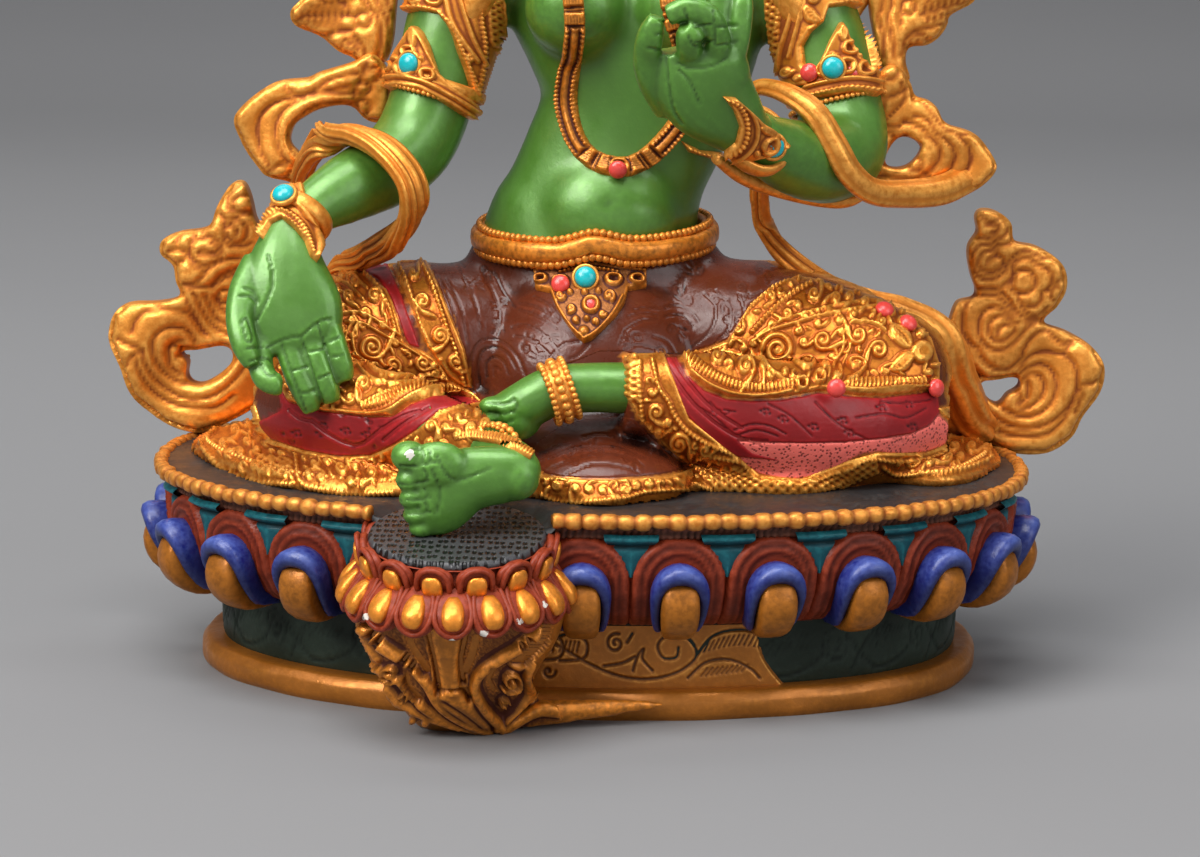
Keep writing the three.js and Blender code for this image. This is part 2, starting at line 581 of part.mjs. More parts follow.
function scarves() {
  const strap = { sides: 5, facing: [0, -1, 0] };
  const depth = 20;
  return join([
    plate(LOW_RIGHT_SCROLL, depth, SCROLL_THICKNESS, [LOW_RIGHT_EYE]),
    plate(LOW_LEFT_SCROLL, depth, SCROLL_THICKNESS, [LOW_LEFT_EYE]),
    plate(HIGH_RIGHT_SCROLL, 9, SCROLL_THICKNESS),
    plate(HIGH_LEFT_SCROLL, 4, SCROLL_THICKNESS),
    plate(HIGH_LEFT_FLAME, 8, SCROLL_THICKNESS),
    limb([[-53.7, 3, 55, 2.6, 1.8], [-50.6, -5, 60, 3.2, 1.6], [-43.6, -12, 61.6, 3.2, 1.6],
      [-35, -17.6, 58.6, 3.2, 1.6], [-31.6, -19.4, 52, 3.2, 1.6], [-33.5, -15, 44.2, 3, 1.6],
      [-39.4, -7, 40.2, 2.8, 2], [-47, 1, 36, 2.6, 2.4]],
    { ...strap, rows: 7, facing: [0.67, -0.2, 0.3] }), // scarf over the right forearm
    limb([[33, -6, 67, 2, 1.6], [37.3, -14, 70, 2.4, 1.6], [42.4, -18.6, 65, 2.6, 1.6],
      [45.8, -18.6, 58, 2.6, 1.6], [50, -16, 54, 2.6, 1.6], [56.4, -10, 52.2, 2.8, 1.8],
      [64, -3, 52.6, 3, 2], [68, 3, 54, 3, 2]], { ...strap, rows: 7, facing: [0.3, -0.9, 0.3] }),
    limb([[23.3, -23, 58.6, 1.4, 1.6], [32.3, -13, 53.6, 1.8, 1.8], [41.8, -7, 51.4, 2, 2],
      [49, -4.6, 52, 2, 2]], { ...strap, sides: 4, rows: 3 }), // strip under the left forearm
    limb([[30.4, -8, 55, 1.7, 1.6], [32, 0, 45.2, 1.7, 1.6], [36.2, 4, 39, 1.8, 1.8],
      [44.8, 4, 32.6, 2.2, 2.2], [56, 1.6, 29, 3.2, 3], [65.5, 3, 24.4, 4, 4],
      [69.6, 9, 13.6, 4.6, 4.4], [74.4, 15, 5, 4.4, 4]], { ...strap, rows: 6 }),
    limb([[-46, 14, 20, 5, 4], [-58, 18, 12, 5, 4], [-66, 20, 8, 4, 3]], { ...strap, sides: 5, rows: 3 }),
  ]);
}

// Shawl over each shoulder and the lotus that rises beside it
function shoulders() {
  const side = (flip, x) => {
    const at = (dx, y, z, ...size) => [x + flip * dx, y, z, ...size];
    const stem = limb([at(15, 9, 84, 2.4, 2), at(22, 10, 96, 1.8, 1.8), at(21, 10, 108, 1.6, 1.6),
      at(17, 10, 116, 1.8, 1.8)], { sides: 4, rows: 3 });
    const bloom = limb([at(17, 10, 113, 2, 2), at(17, 10, 118, 6.4, 5.4), at(17, 10, 122.5, 6.6, 5.6),
      at(17, 10, 128, 3.4, 3.2), at(17, 10, 132, 0.4, 0.4)], { sides: 6, rows: 4 });
    const leaves = [1, -1].map((way) =>
      limb([at(18, 10, 108, 1.4, 1), at(18 + way * 6, 10, 111, 3.2, 1.2),
        at(18 + way * 11, 10, 109, 0.5, 0.5)], { sides: 4, rows: 2 }));
    const shawl = limb([at(-8, 8, 100.6, 7, 3), at(1, 6.4, 97, 9, 4.4), at(7, 5, 88, 10, 4.8),
      at(9, 3, 78, 7, 4)], { sides: 5, rows: 3, facing: [flip * 0.6, -0.5, 0.5] });
    return join([stem, bloom, ...leaves, shawl]);
  };
  return join([side(-1, -18), side(1, 32)]);
}

// A stone is a low dome, and its bezel a short collar on the figure with a pocket for it
function turnedTo(facing) {
  return new THREE.Quaternion().setFromUnitVectors(
    new THREE.Vector3(0, 0, 1), new THREE.Vector3(...facing).normalize(),
  );
}

function placed(made, [x, y, z, ...facing]) {
  const matrix = new THREE.Matrix4().compose(
    new THREE.Vector3(x, y, z).multiplyScalar(UNIT).add(new THREE.Vector3(0, 0, SEAT_HEIGHT)),
    turnedTo(facing.slice(0, 3)),
    new THREE.Vector3(1, 1, 1),
  );
  return made.transform(matrix.elements);
}

const lathe = (profile, sides) =>
  solid(new THREE.LatheGeometry(profile.map(([r, z]) => new THREE.Vector2(r, z)), sides)
    .rotateX(Math.PI / 2));

function stoneRadius(large) {
  return large ? STONE_LARGE : STONE_SMALL;
}

function stone(large) {
  const r = stoneRadius(large);
  return lathe([[0, -STONE_DEPTH], [r, -STONE_DEPTH], [r * 0.84, r * 0.45], [0, r * 0.78]], STONE_SIDES);
}

function bezel(large) {
  const r = stoneRadius(large) + CLEARANCE + BEZEL_WALL;
  return lathe([[0, -4], [r + 0.4, -4], [r, 0.3], [0, 0.3]], STONE_SIDES);
}

function pocket(large) {
  const r = stoneRadius(large) + CLEARANCE;
  return lathe([[0, -STONE_DEPTH - CLEARANCE], [r, -STONE_DEPTH - CLEARANCE], [r, 3], [0, 3]], STONE_SIDES);
}

// What the figure keeps clear of: the seat, and the rim that stands round it
function spaceOfThrone() {
  const prism = (inset, low, high) => ovalStack([[inset, low], [inset, high]], RIM_SEGMENTS);
  return prism(-CLEARANCE, 0, RIM_TOP + CLEARANCE)
    .subtract(prism(RIM_BEAD + CLEARANCE, SEAT_HEIGHT + CLEARANCE, RIM_TOP + 1));
}

function figure() {
  const forms = join([
    bareBody(), headAndHair(), crown(), jewellery(), drapery(), scarves(), shoulders(),
  ]);
  const seated = forms
    .scale([UNIT, UNIT, UNIT])
    .translate([0, 0, SEAT_HEIGHT])
    .subtract(spaceOfThrone())
    .trimByPlane([0, 0, 1], PAD_HEIGHT + CLEARANCE);
  const set = Object.values(STONES);
  const bezels = set.filter((place) => place[7]).map((place) => placed(bezel(place[6]), place));
  const pockets = set.map((place) => placed(pocket(place[6]), place));
  return filled(join([seated, ...bezels])).subtract(join(pockets));
}

const PAINT = {
  gilt: { color: 0xc07a22, roughness: 0.38, metalness: 0.75 },
  redLacquer: { color: 0x8c3520, roughness: 0.45, metalness: 0.05 },
  turquoise: { color: 0x10a09c, roughness: 0.35, metalness: 0 },
  coral: { color: 0xc9474a, roughness: 0.35, metalness: 0 },
};

function mesh(name, made, paint) {
  const object = new THREE.Mesh(geometryOf(made), new THREE.MeshStandardMaterial(paint));
  object.name = name;
  return object;
}

const tara = new THREE.Group();
tara.add(mesh("lotus_throne", lotusThrone(), PAINT.redLacquer));
tara.add(mesh("tara_figure", figure(), PAINT.gilt));
for (const [name, place] of Object.entries(STONES)) {
  const paint = name.startsWith("turquoise") ? PAINT.turquoise : PAINT.coral;
  tara.add(mesh(name, placed(stone(place[6]), place), paint));
}

export default tara;
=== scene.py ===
"""Looks of a seated tara figure on its lotus throne, built round the packed solids.

Sizes inside the functions are millimetres in the part's own frame: +Z up, the figure looks along -Y,
and its right side is at -X. A piece is scaled to metres when it is finished.
"""

import math

import bmesh
import bpy
import numpy as np
from mathutils import Matrix, Vector
from mathutils.bvhtree import BVHTree


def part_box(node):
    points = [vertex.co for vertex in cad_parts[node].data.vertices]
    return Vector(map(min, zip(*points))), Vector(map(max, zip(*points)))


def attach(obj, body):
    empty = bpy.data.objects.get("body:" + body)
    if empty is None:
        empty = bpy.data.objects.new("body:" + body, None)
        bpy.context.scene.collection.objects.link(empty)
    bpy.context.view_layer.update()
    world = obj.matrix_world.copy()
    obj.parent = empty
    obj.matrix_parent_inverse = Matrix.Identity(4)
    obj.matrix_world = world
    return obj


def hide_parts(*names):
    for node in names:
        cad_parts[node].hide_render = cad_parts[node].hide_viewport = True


bl_info = {
    "name": "Seated tara figure",
    "version": (1, 0, 0),
    "blender": (4, 5, 0),
    "location": "View3D > Sidebar > Tara",
    "description": "Dresses the packed tara figure and its lotus throne in carved and painted detail",
    "category": "Add Mesh",
}

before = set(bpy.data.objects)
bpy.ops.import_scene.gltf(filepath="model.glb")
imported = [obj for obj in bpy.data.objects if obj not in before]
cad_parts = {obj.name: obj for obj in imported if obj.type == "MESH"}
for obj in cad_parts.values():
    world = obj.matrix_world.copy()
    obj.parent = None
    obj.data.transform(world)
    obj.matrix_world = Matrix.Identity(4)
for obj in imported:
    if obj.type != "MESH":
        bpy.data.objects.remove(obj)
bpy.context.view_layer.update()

MM = 0.001
RIM_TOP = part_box("lotus_throne")[1].z / MM
SEAT = RIM_TOP - 0.9  # the top of the throne
PAD_TOP = SEAT - 3.0  # the back of the foot lotus's pad
HEAD_X = 7.5  # the middle of the head, which leans to the figure's left
WELD = 1e-3  # points nearer than this are one
HOLLOW_DEPTH = 0.12  # how deep a groove lies to be fully darkened, with wash and painted shade
HOLLOW_PASSES = 5  # how often the surface is smoothed that a groove is measured from
FINE_EDGE = 0.42  # a mesh with longer edges than this needs deeper grooves


# Numbers and meshes
def coordinates(mesh, of="co"):
    """The places of a mesh's points, or their normals."""
    flat = np.empty(len(mesh.vertices) * 3, np.float32)
    mesh.vertices.foreach_get(of, flat)
    return flat.reshape(-1, 3).astype(float)


def set_coordinates(mesh, points):
    mesh.vertices.foreach_set("co", np.ascontiguousarray(points, np.float32).ravel())
    mesh.update()


def vertex_normals(mesh):
    return coordinates(mesh, "normal")


def values(mesh, name):
    found = mesh.attributes.get(name)
    flat = np.zeros(len(mesh.vertices), np.float32)
    if found:
        found.data.foreach_get("value", flat)
    return flat.astype(float)


def set_values(mesh, name, numbers):
    layer = mesh.attributes.get(name) or mesh.attributes.new(name, "FLOAT", "POINT")
    layer.data.foreach_set("value", np.ascontiguousarray(numbers, np.float32))


def spline(points, t, closed=False):
    """Points at t, from 0 to 1, on a smooth line through the given points."""
    p = np.asarray(points, float)
    last = len(p) if closed else len(p) - 1
    x = np.clip(np.asarray(t, float), 0, 1) * last
    i = np.minimum(x.astype(int), last - 1)
    f = (x - i)[:, None]
    pick = (lambda k: p[k % len(p)]) if closed else (lambda k: p[np.clip(k, 0, last)])
    a, b, c, d = pick(i - 1), pick(i), pick(i + 1), pick(i + 2)
    return 0.5 * (2 * b + (c - a) * f + (2 * a - 5 * b + 4 * c - d) * f**2
                  + (3 * b - a - 3 * c + d) * f**3)


def evenly(points, step, closed=False):
    """Points about a step apart on a smooth line."""
    fine = spline(points, np.linspace(0, 1, 24 * len(points) + 1), closed)
    run = np.r_[0, np.cumsum(np.linalg.norm(np.diff(fine, axis=0), axis=1))]
    count = max(2, int(round(run[-1] / step)) + 1)
    at = np.linspace(0, run[-1], count)[: count - 1 if closed else count]
    return np.stack([np.interp(at, run, fine[:, k]) for k in range(fine.shape[1])], 1)


def rounded(value, squareness):
    return np.sign(value) * np.abs(value) ** (2 / squareness)


def unit(vectors):
    vectors = np.asarray(vectors, float)
    return vectors / np.maximum(np.linalg.norm(vectors, axis=-1, keepdims=True), 1e-9)


def smoothstep(low, high, value):
    t = np.clip((value - low) / (high - low), 0, 1)
    return t * t * (3 - 2 * t)


def rounded_down(distance, reach):
    """A quarter circle: 0 at an edge, 1 where the distance from it is the reach."""
    return np.sqrt(1 - (1 - np.clip(distance / reach, 0, 1)) ** 2)


def loaded(mesh):
    bm = bmesh.new()
    bm.from_mesh(mesh)
    return bm


def unloaded(bm, mesh=None):
    """Puts a bmesh into a mesh, a new one if none is given, and frees it."""
    mesh = bpy.data.meshes.new("form") if mesh is None else mesh
    bm.to_mesh(mesh)
    bm.free()
    return mesh


def sheet(columns, rows):
    """A flat grid, and how far its points lie across and up it, from -1 to 1."""
    bm = bmesh.new()
    bmesh.ops.create_grid(bm, x_segments=columns, y_segments=rows, size=1)
    mesh = unloaded(bm)
    return mesh, coordinates(mesh)[:, :2]


def surface_open(columns, rows, place):
    """A form from a grid, with its edges left open for its neighbours to meet.

    place(u, v) gives its points, or its points and their ink. u and v run from 0 to 1.
    """
    mesh, flat = sheet(columns, rows)
    points = place(*((flat - flat.min(0)) / (flat.max(0) - flat.min(0))).T)
    if isinstance(points, tuple):
        points, ink = points
        set_values(mesh, "ink", ink)
    set_coordinates(mesh, points)
    return mesh


def surface(columns, rows, place):
    """A closed form from a grid."""
    return welded(surface_open(columns, rows, place))


def welded(mesh):
    bm = loaded(mesh)
    bmesh.ops.remove_doubles(bm, verts=bm.verts, dist=WELD)
    bmesh.ops.dissolve_degenerate(bm, edges=bm.edges, dist=WELD)
    bmesh.ops.holes_fill(bm, edges=[e for e in bm.edges if e.is_boundary], sides=0)
    bmesh.ops.recalc_face_normals(bm, faces=bm.faces)
    return unloaded(bm, mesh)


def merged(forms):
    bm = bmesh.new()
    for form in forms:
        bm.from_mesh(form)
    return unloaded(bm)


def moved(form, change):
    """A copy of a form whose points are changed. A closed form still faces outwards."""
    mesh = form.copy()
    set_coordinates(mesh, change(coordinates(mesh)))
    bm = loaded(mesh)
    if not any(edge.is_boundary for edge in bm.edges):
        bmesh.ops.recalc_face_normals(bm, faces=bm.faces)
        bm.to_mesh(mesh)
    bm.free()
    return mesh


def limb(stations, columns, rows, facing=(0, -1, 0), squareness=2, relief=None):
    """A rounded form along stations x, y, z, half across, half deep."""
    stations = np.array([[*s[:4], s[4] if len(s) > 4 else s[3]] for s in stations], float)
    middles, halves = stations[:, :3], stations[:, 3:]

    def place(u, v):
        at, size = spline(middles, v), spline(halves, v)
        along = unit(spline(middles, v + 0.004) - spline(middles, v - 0.004))
        front = np.asarray(facing, float)
        deep = unit(front - along * (along @ front)[:, None])
        across = np.cross(along, deep)
        angle = math.tau * u
        size = np.maximum(size, 0.02)
        lift = 0 if relief is None else relief(angle, v)
        c, s = rounded(np.cos(angle), squareness), rounded(np.sin(angle), squareness)
        return (at + across * ((size[:, 0] + lift) * c)[:, None]
                + deep * ((size[:, 1] + lift) * s)[:, None])

    return surface(columns, rows, place)


def ball(centre, radii, columns=24, rows=14):
    bm = bmesh.new()
    place = Matrix.Translation(centre) @ Matrix.Diagonal((*radii, 1))
    bmesh.ops.create_uvsphere(bm, u_segments=columns, v_segments=rows, radius=1, matrix=place)
    return unloaded(bm)


def beads(points, radius, columns, rows, normals=None, flat=1.0):
    """Round beads, or ones pressed flat along their normals."""
    bm = bmesh.new()
    for k, point in enumerate(np.asarray(points, float)):
        turn = Matrix.Identity(4)
        if normals is not None:
            turn = Vector(normals[k]).to_track_quat("Z", "Y").to_matrix().to_4x4()
        size = Matrix.Diagonal((radius, radius, radius * flat, 1))
        place = Matrix.Translation(point) @ turn @ size
        bmesh.ops.create_uvsphere(bm, u_segments=columns, v_segments=rows, radius=1, matrix=place)
    return unloaded(bm)


def cast(forms, grain, passes):
    """One skin over closed forms that overlap, with faces of about the given size."""
    rough = bpy.data.objects.new("rough", merged(forms))
    bpy.context.scene.collection.objects.link(rough)
    skin = rough.modifiers.new("skin", "REMESH")
    skin.mode = "VOXEL"
    skin.voxel_size = grain
    made = bpy.data.meshes.new_from_object(
        rough.evaluated_get(bpy.context.evaluated_depsgraph_get()))
    bpy.data.objects.remove(rough)
    return smoothed(made, passes)


def smoothed(mesh, passes):
    bm = loaded(mesh)
    for _ in range(passes):
        bmesh.ops.smooth_vert(bm, verts=bm.verts, factor=0.5,
                              use_axis_x=True, use_axis_y=True, use_axis_z=True)
    return unloaded(bm, mesh)


def kept(mesh, keep):
    """The part of a mesh whose faces have their middle where keep(points) says."""
    bm = loaded(mesh)
    bm.faces.ensure_lookup_table()
    middles = np.array([f.calc_center_median() for f in bm.faces])
    gone = [bm.faces[i] for i in np.nonzero(~keep(middles))[0]]
    bmesh.ops.delete(bm, geom=gone, context="FACES")
    return unloaded(bm)


def edge_ends(mesh):
    """The numbers of the points at each edge's two ends, as two rows."""
    pairs = np.empty(len(mesh.edges) * 2, np.int32)
    mesh.edges.foreach_get("vertices", pairs)
    return pairs.reshape(-1, 2).T


def neighbours(mesh):
    """A function that gives each point the mean of its neighbours' numbers."""
    a, b = edge_ends(mesh)
    count = len(mesh.vertices)
    shared = np.maximum(np.bincount(a, minlength=count) + np.bincount(b, minlength=count), 1)

    def mean(numbers):
        return (np.bincount(a, numbers[b], count) + np.bincount(b, numbers[a], count)) / shared

    return mean


def mark_hollows(mesh):
    """Stores how far each point lies under the smoothed surface: 1 in a groove, -1 on a ridge."""
    points, normals, mean = coordinates(mesh), vertex_normals(mesh), neighbours(mesh)
    a, b = points[edge_ends(mesh)]
    depth = HOLLOW_DEPTH * max(1, np.median(np.linalg.norm(a - b, axis=1)) / FINE_EDGE) ** 2
    soft = points.copy()
    for _ in range(HOLLOW_PASSES):
        soft = np.stack([mean(soft[:, k]) for k in range(3)], 1)
    hollow = np.clip(((soft - points) * normals).sum(1) / depth, -1, 1)
    set_values(mesh, "hollow", 0.5 * (hollow + mean(hollow)))


def piece(name, forms, material, slot, replaces=()):
    """Finishes a piece: one mesh in metres, its finish, and its place in the frame."""
    mesh = merged(forms)
    mark_hollows(mesh)
    points = coordinates(mesh)
    points[:, 2] = np.maximum(points[:, 2], 0)
    set_coordinates(mesh, points * MM)
    mesh.name = name
    mesh.materials.append(material)
    mesh.shade_smooth()
    made = bpy.data.objects.new(name, mesh)
    bpy.context.scene.collection.objects.link(made)
    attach(made, "root")
    if replaces:
        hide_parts(*replaces)
    return made


class Board:
    """A drawing board: strokes raise or cut a height field, which is then read at points."""

    def __init__(self, low, high, step, origin=(0, 0), scale=1.0):
        self.low, self.step, self.origin, self.scale = np.array(low, float), step, origin, scale
        columns, rows = (int((high[k] - low[k]) / step) + 2 for k in (0, 1))
        self.height = np.zeros((rows, columns))
        self.y, self.x = np.mgrid[0:rows, 0:columns].astype(float)
        self.x = self.x * step + low[0]
        self.y = self.y * step + low[1]

    def window(self, point, reach):
        """The part of the board within reach of a point, with its places across and down."""
        i, j = ((np.array(point) - self.low) / self.step).astype(int)
        k = int(reach / self.step) + 2
        rows = slice(max(j - k, 0), max(j + k + 1, 0))
        columns = slice(max(i - k, 0), max(i + k + 1, 0))
        return self.height[rows, columns], self.x[rows, columns], self.y[rows, columns]

    def dab(self, point, radius, height, flat=0.0):
        field, x, y = self.window(point, radius)
        share = np.hypot(x - point[0], y - point[1]) / radius
        shape = np.clip(1 - np.clip((share - flat) / (1 - flat), 0, 1) ** 2, 0, 1)
        keep = np.maximum if height > 0 else np.minimum
        keep(field, height * shape, out=field)

    def stroke(self, points, width, height=1.0, taper=0.0, closed=False):
        """A rounded ridge, or a groove where height is below 0. taper thins its end."""
        line = evenly(points, self.step * 1.2, closed)
        for k, point in enumerate(line):
            share = 1 - taper * k / max(len(line) - 1, 1)
            self.dab(point, max(width * 0.5 * share, self.step * 0.8), height)

    def spiral(self, centre, radius, turns, hand, start, width=None, height=1.0, tail=0.0):
        """A coil that ends in a knob at its middle, with a leaf trailing from its outer end."""
        if tail:
            run = [(centre[0] + radius * far * math.cos(start - hand * a),
                    centre[1] + radius * far * math.sin(start - hand * a))
                   for far, a in ((0.8, 0), (0.98, 0.45), (1.3, 0.85), (1.3 + 0.6 * tail, 1.1),
                                  (1.3 + tail, 1.2))]
            self.leaf(run, min(0.3 * radius, 2.6), height * 0.9)
        width = width or min(0.27 * radius + 1.7, radius / turns * 0.95)
        t = np.linspace(0, 1, int(14 * turns) + 6)
        reach = (radius - width / 2) * (1 - t) + width * 0.3 * t
        angle = start + hand * math.tau * turns * t
        line = np.stack([centre[0] + reach * np.cos(angle), centre[1] + reach * np.sin(angle)], 1)
        self.stroke(line, width, height)
        if height > 0:
            self.dab(centre, width * 0.62, height * 1.15)

    def leaf(self, points, half, height, veins=0.0):
        """A leaf along a line: swelling, pointed, with a rib and slanting veins."""
        line = evenly(points, self.step * 1.2)
        along = unit(np.gradient(line, axis=0))
        run = np.r_[0, np.cumsum(np.linalg.norm(np.diff(line, axis=0), axis=1))]
        for k, point in enumerate(line):
            t = k / max(len(line) - 1, 1)
            reach = max(half * math.sin(math.pi * (0.08 + 0.9 * t)) ** 0.7, self.step)
            field, x, y = self.window(point, reach)
            dx, dy = x - point[0], y - point[1]
            across = dy * along[k, 0] - dx * along[k, 1]
            forward = dx * along[k, 0] + dy * along[k, 1]
            shape = np.clip(1 - (dx**2 + dy**2) / reach**2, 0, 1) ** 0.5
            if veins:
                wave = np.cos((run[k] + forward - 0.9 * np.abs(across)) * math.tau / veins)
                shape = shape * (0.82 + 0.18 * wave)
            shape = shape * (1 - 0.3 * np.exp(-(across / (0.14 * half + self.step)) ** 2))
            np.maximum(field, height * shape, out=field)

    def inside(self, outline):
        """Signed distance to a closed outline, above 0 inside it."""
        return inside_distance(outline, self.x, self.y)

    def read(self, x, y):
        """The drawing's height at points."""
        x, y = (x - self.origin[0]) / self.scale, (y - self.origin[1]) / self.scale
        i = np.clip((x - self.low[0]) / self.step, 0, self.height.shape[1] - 1.001)
        j = np.clip((y - self.low[1]) / self.step, 0, self.height.shape[0] - 1.001)
        a, b = i.astype(int), j.astype(int)
        f, g = i - a, j - b
        h = self.height
        return ((h[b, a] * (1 - f) + h[b, a + 1] * f) * (1 - g)
                + (h[b + 1, a] * (1 - f) + h[b + 1, a + 1] * f) * g)

    def soften(self, passes):
        for _ in range(passes):
            h = np.pad(self.height, 1, mode="edge")
            self.height = (4 * h[1:-1, 1:-1] + 2 * (h[:-2, 1:-1] + h[2:, 1:-1] + h[1:-1, :-2]
                           + h[1:-1, 2:]) + h[:-2, :-2] + h[:-2, 2:] + h[2:, :-2] + h[2:, 2:]) / 16


def inside_distance(outline, x, y):
    """Signed distance to a closed outline, above 0 inside it."""
    line = np.asarray(outline, float)
    near = np.full(x.shape, 1e9)
    crossings = np.zeros(x.shape, bool)
    for (ax, ay), (bx, by) in zip(line, np.roll(line, -1, 0)):
        dx, dy = bx - ax, by - ay
        t = np.clip(((x - ax) * dx + (y - ay) * dy) / max(dx * dx + dy * dy, 1e-9), 0, 1)
        near = np.minimum(near, (x - ax - t * dx) ** 2 + (y - ay - t * dy) ** 2)
        if ay != by:
            level = (ay > y) != (by > y)
            crossings ^= level & (x < ax + (y - ay) * dx / dy)
    return np.sqrt(near) * np.where(crossings, 1, -1)


# Finishes
FINISHES = {}
BRUSH_MARK = 0.00012  # how deep brush marks go, in metres


def node(tree, kind, inputs=None, **settings):
    made = tree.nodes.new(kind)
    for name, value in settings.items():
        setattr(made, name, value)
    for name, value in (inputs or {}).items():
        if isinstance(value, bpy.types.NodeSocket):
            tree.links.new(value, made.inputs[name])
        else:
            made.inputs[name].default_value = value
    return made


def attribute(tree, name):
    return node(tree, "ShaderNodeAttribute", attribute_name=name).outputs["Fac"]


def new_paint(name):
    """A material with an empty tree, and where its points lie."""
    material = bpy.data.materials.new(name)
    material.use_nodes = True
    tree = material.node_tree
    tree.nodes.clear()
    return material, tree, node(tree, "ShaderNodeTexCoord").outputs["Object"]


def blend(tree, share, a, b):
    """A colour between two colours. Each may be a colour or a socket."""
    made = node(tree, "ShaderNodeMix", {0: share, 6: a, 7: b}, data_type="RGBA")
    return made.outputs[2]


def ramp(tree, value, low, high, to_low=0.0, to_high=1.0):
    return node(tree, "ShaderNodeMapRange", {"Value": value, "From Min": low, "From Max": high,
                "To Min": to_low, "To Max": to_high}, clamp=True).outputs[0]


def noise(tree, where, scale, detail=3.0):
    return node(tree, "ShaderNodeTexNoise", {"Vector": where, "Scale": scale, "Detail": detail,
                "Roughness": 0.55}).outputs["Fac"]


def arithmetic(tree, operation, a, b):
    return node(tree, "ShaderNodeMath", {0: a, 1: b}, operation=operation).outputs[0]


def opaque(colour):
    return (*colour[:3], 1.0)


def shade(colour, factor):
    return tuple(min(1.0, c * factor) for c in colour[:3]) + (1.0,)


def paint(name, base, wash_and_shade, crown, roughness, metallic=0.0, coat=0.0, cloud=0.25, brush=0.5,
          pits=0.0, highlight_share=0.6, wash_and_shade_share=0.85, chips=False, pale=0.0, gloss=0.5):
    """Hand-laid paint: a wash left in the grooves, a dry-brushed tone on the ridges, and brush marks."""
    FINISHES[name], tree, where = new_paint("painted_" + name)
    hollow, ink = attribute(tree, "hollow"), attribute(tree, "ink")
    cloudy = noise(tree, where, 90.0, 4.0)
    fine = noise(tree, where, 900.0, 3.0)
    colour = blend(tree, ramp(tree, cloudy, 0.35, 0.7, 0.0, cloud), opaque(base), shade(base, 0.62))
    colour = blend(tree, ramp(tree, fine, 0.45, 0.75, 0.0, cloud * 0.8), colour, shade(base, 1.45))
    # Painted highlight: the ridges are lightened towards the crown colour.
    ridge = arithmetic(tree, "MULTIPLY", ramp(tree, hollow, -0.12, -0.75), ramp(tree, fine, 0.3, 0.6))
    colour = blend(tree, arithmetic(tree, "MULTIPLY", ridge, highlight_share), colour, opaque(crown))
    # Painted highlight on the tops that are marked pale.
    if pale:
        top_highlight = ramp(tree, noise(tree, where, 420.0), 0.25, 0.6)
        top_highlight = arithmetic(tree, "MULTIPLY", attribute(tree, "pale"), top_highlight)
        colour = blend(tree, arithmetic(tree, "MULTIPLY", top_highlight, pale), colour, opaque(crown))
    # Wash and painted shade: grooves and cut lines are darkened towards the wash colour.
    groove = arithmetic(tree, "MAXIMUM", ramp(tree, hollow, 0.1, 0.6), ink)
    groove = arithmetic(tree, "MULTIPLY", groove, wash_and_shade_share)
    colour = blend(tree, groove, colour, opaque(wash_and_shade))
    if chips:
        worn = arithmetic(tree, "ADD", attribute(tree, "chip"), arithmetic(tree, "MULTIPLY", fine, 0.6))
        worn = ramp(tree, worn, 0.84, 0.9)
        colour = blend(tree, worn, colour, (0.62, 0.58, 0.52, 1))
    shine = ramp(tree, noise(tree, where, 260.0, 2.0), 0.3, 0.7, roughness - 0.07, roughness + 0.1)
    shine = arithmetic(tree, "ADD", shine, arithmetic(tree, "MULTIPLY", groove, 0.25))
    finest = arithmetic(tree, "MULTIPLY", noise(tree, where, 2600.0), 0.5)
    bump = node(tree, "ShaderNodeBump", {"Height": arithmetic(tree, "ADD", fine, finest),
                "Strength": brush, "Distance": BRUSH_MARK}).outputs[0]
    if pits:
        rows = node(tree, "ShaderNodeMapping", {"Vector": where, "Scale": (1, 0.5, 1)}).outputs[0]
        cells = node(tree, "ShaderNodeTexVoronoi", {"Vector": rows, "Scale": pits, "Randomness": 0.4},
                     voronoi_dimensions="2D").outputs["Distance"]
        bump = node(tree, "ShaderNodeBump", {"Height": ramp(tree, cells, 0.2, 0.42), "Strength": 1.0,
                    "Distance": 0.0003, "Normal": bump}).outputs[0]
        # The pits are darkened with the wash colour: partly real wash, partly painted shade.
        colour = blend(tree, ramp(tree, cells, 0.4, 0.27, 0, 1), colour, opaque(wash_and_shade))
    surface_of = node(tree, "ShaderNodeBsdfPrincipled", {"Base Color": colour, "Roughness": shine,
                      "Metallic": metallic, "Specular IOR Level": gloss, "Coat Weight": coat,
                      "Coat Roughness": 0.18, "Normal": bump})
    node(tree, "ShaderNodeOutputMaterial", {"Surface": surface_of.outputs[0]})


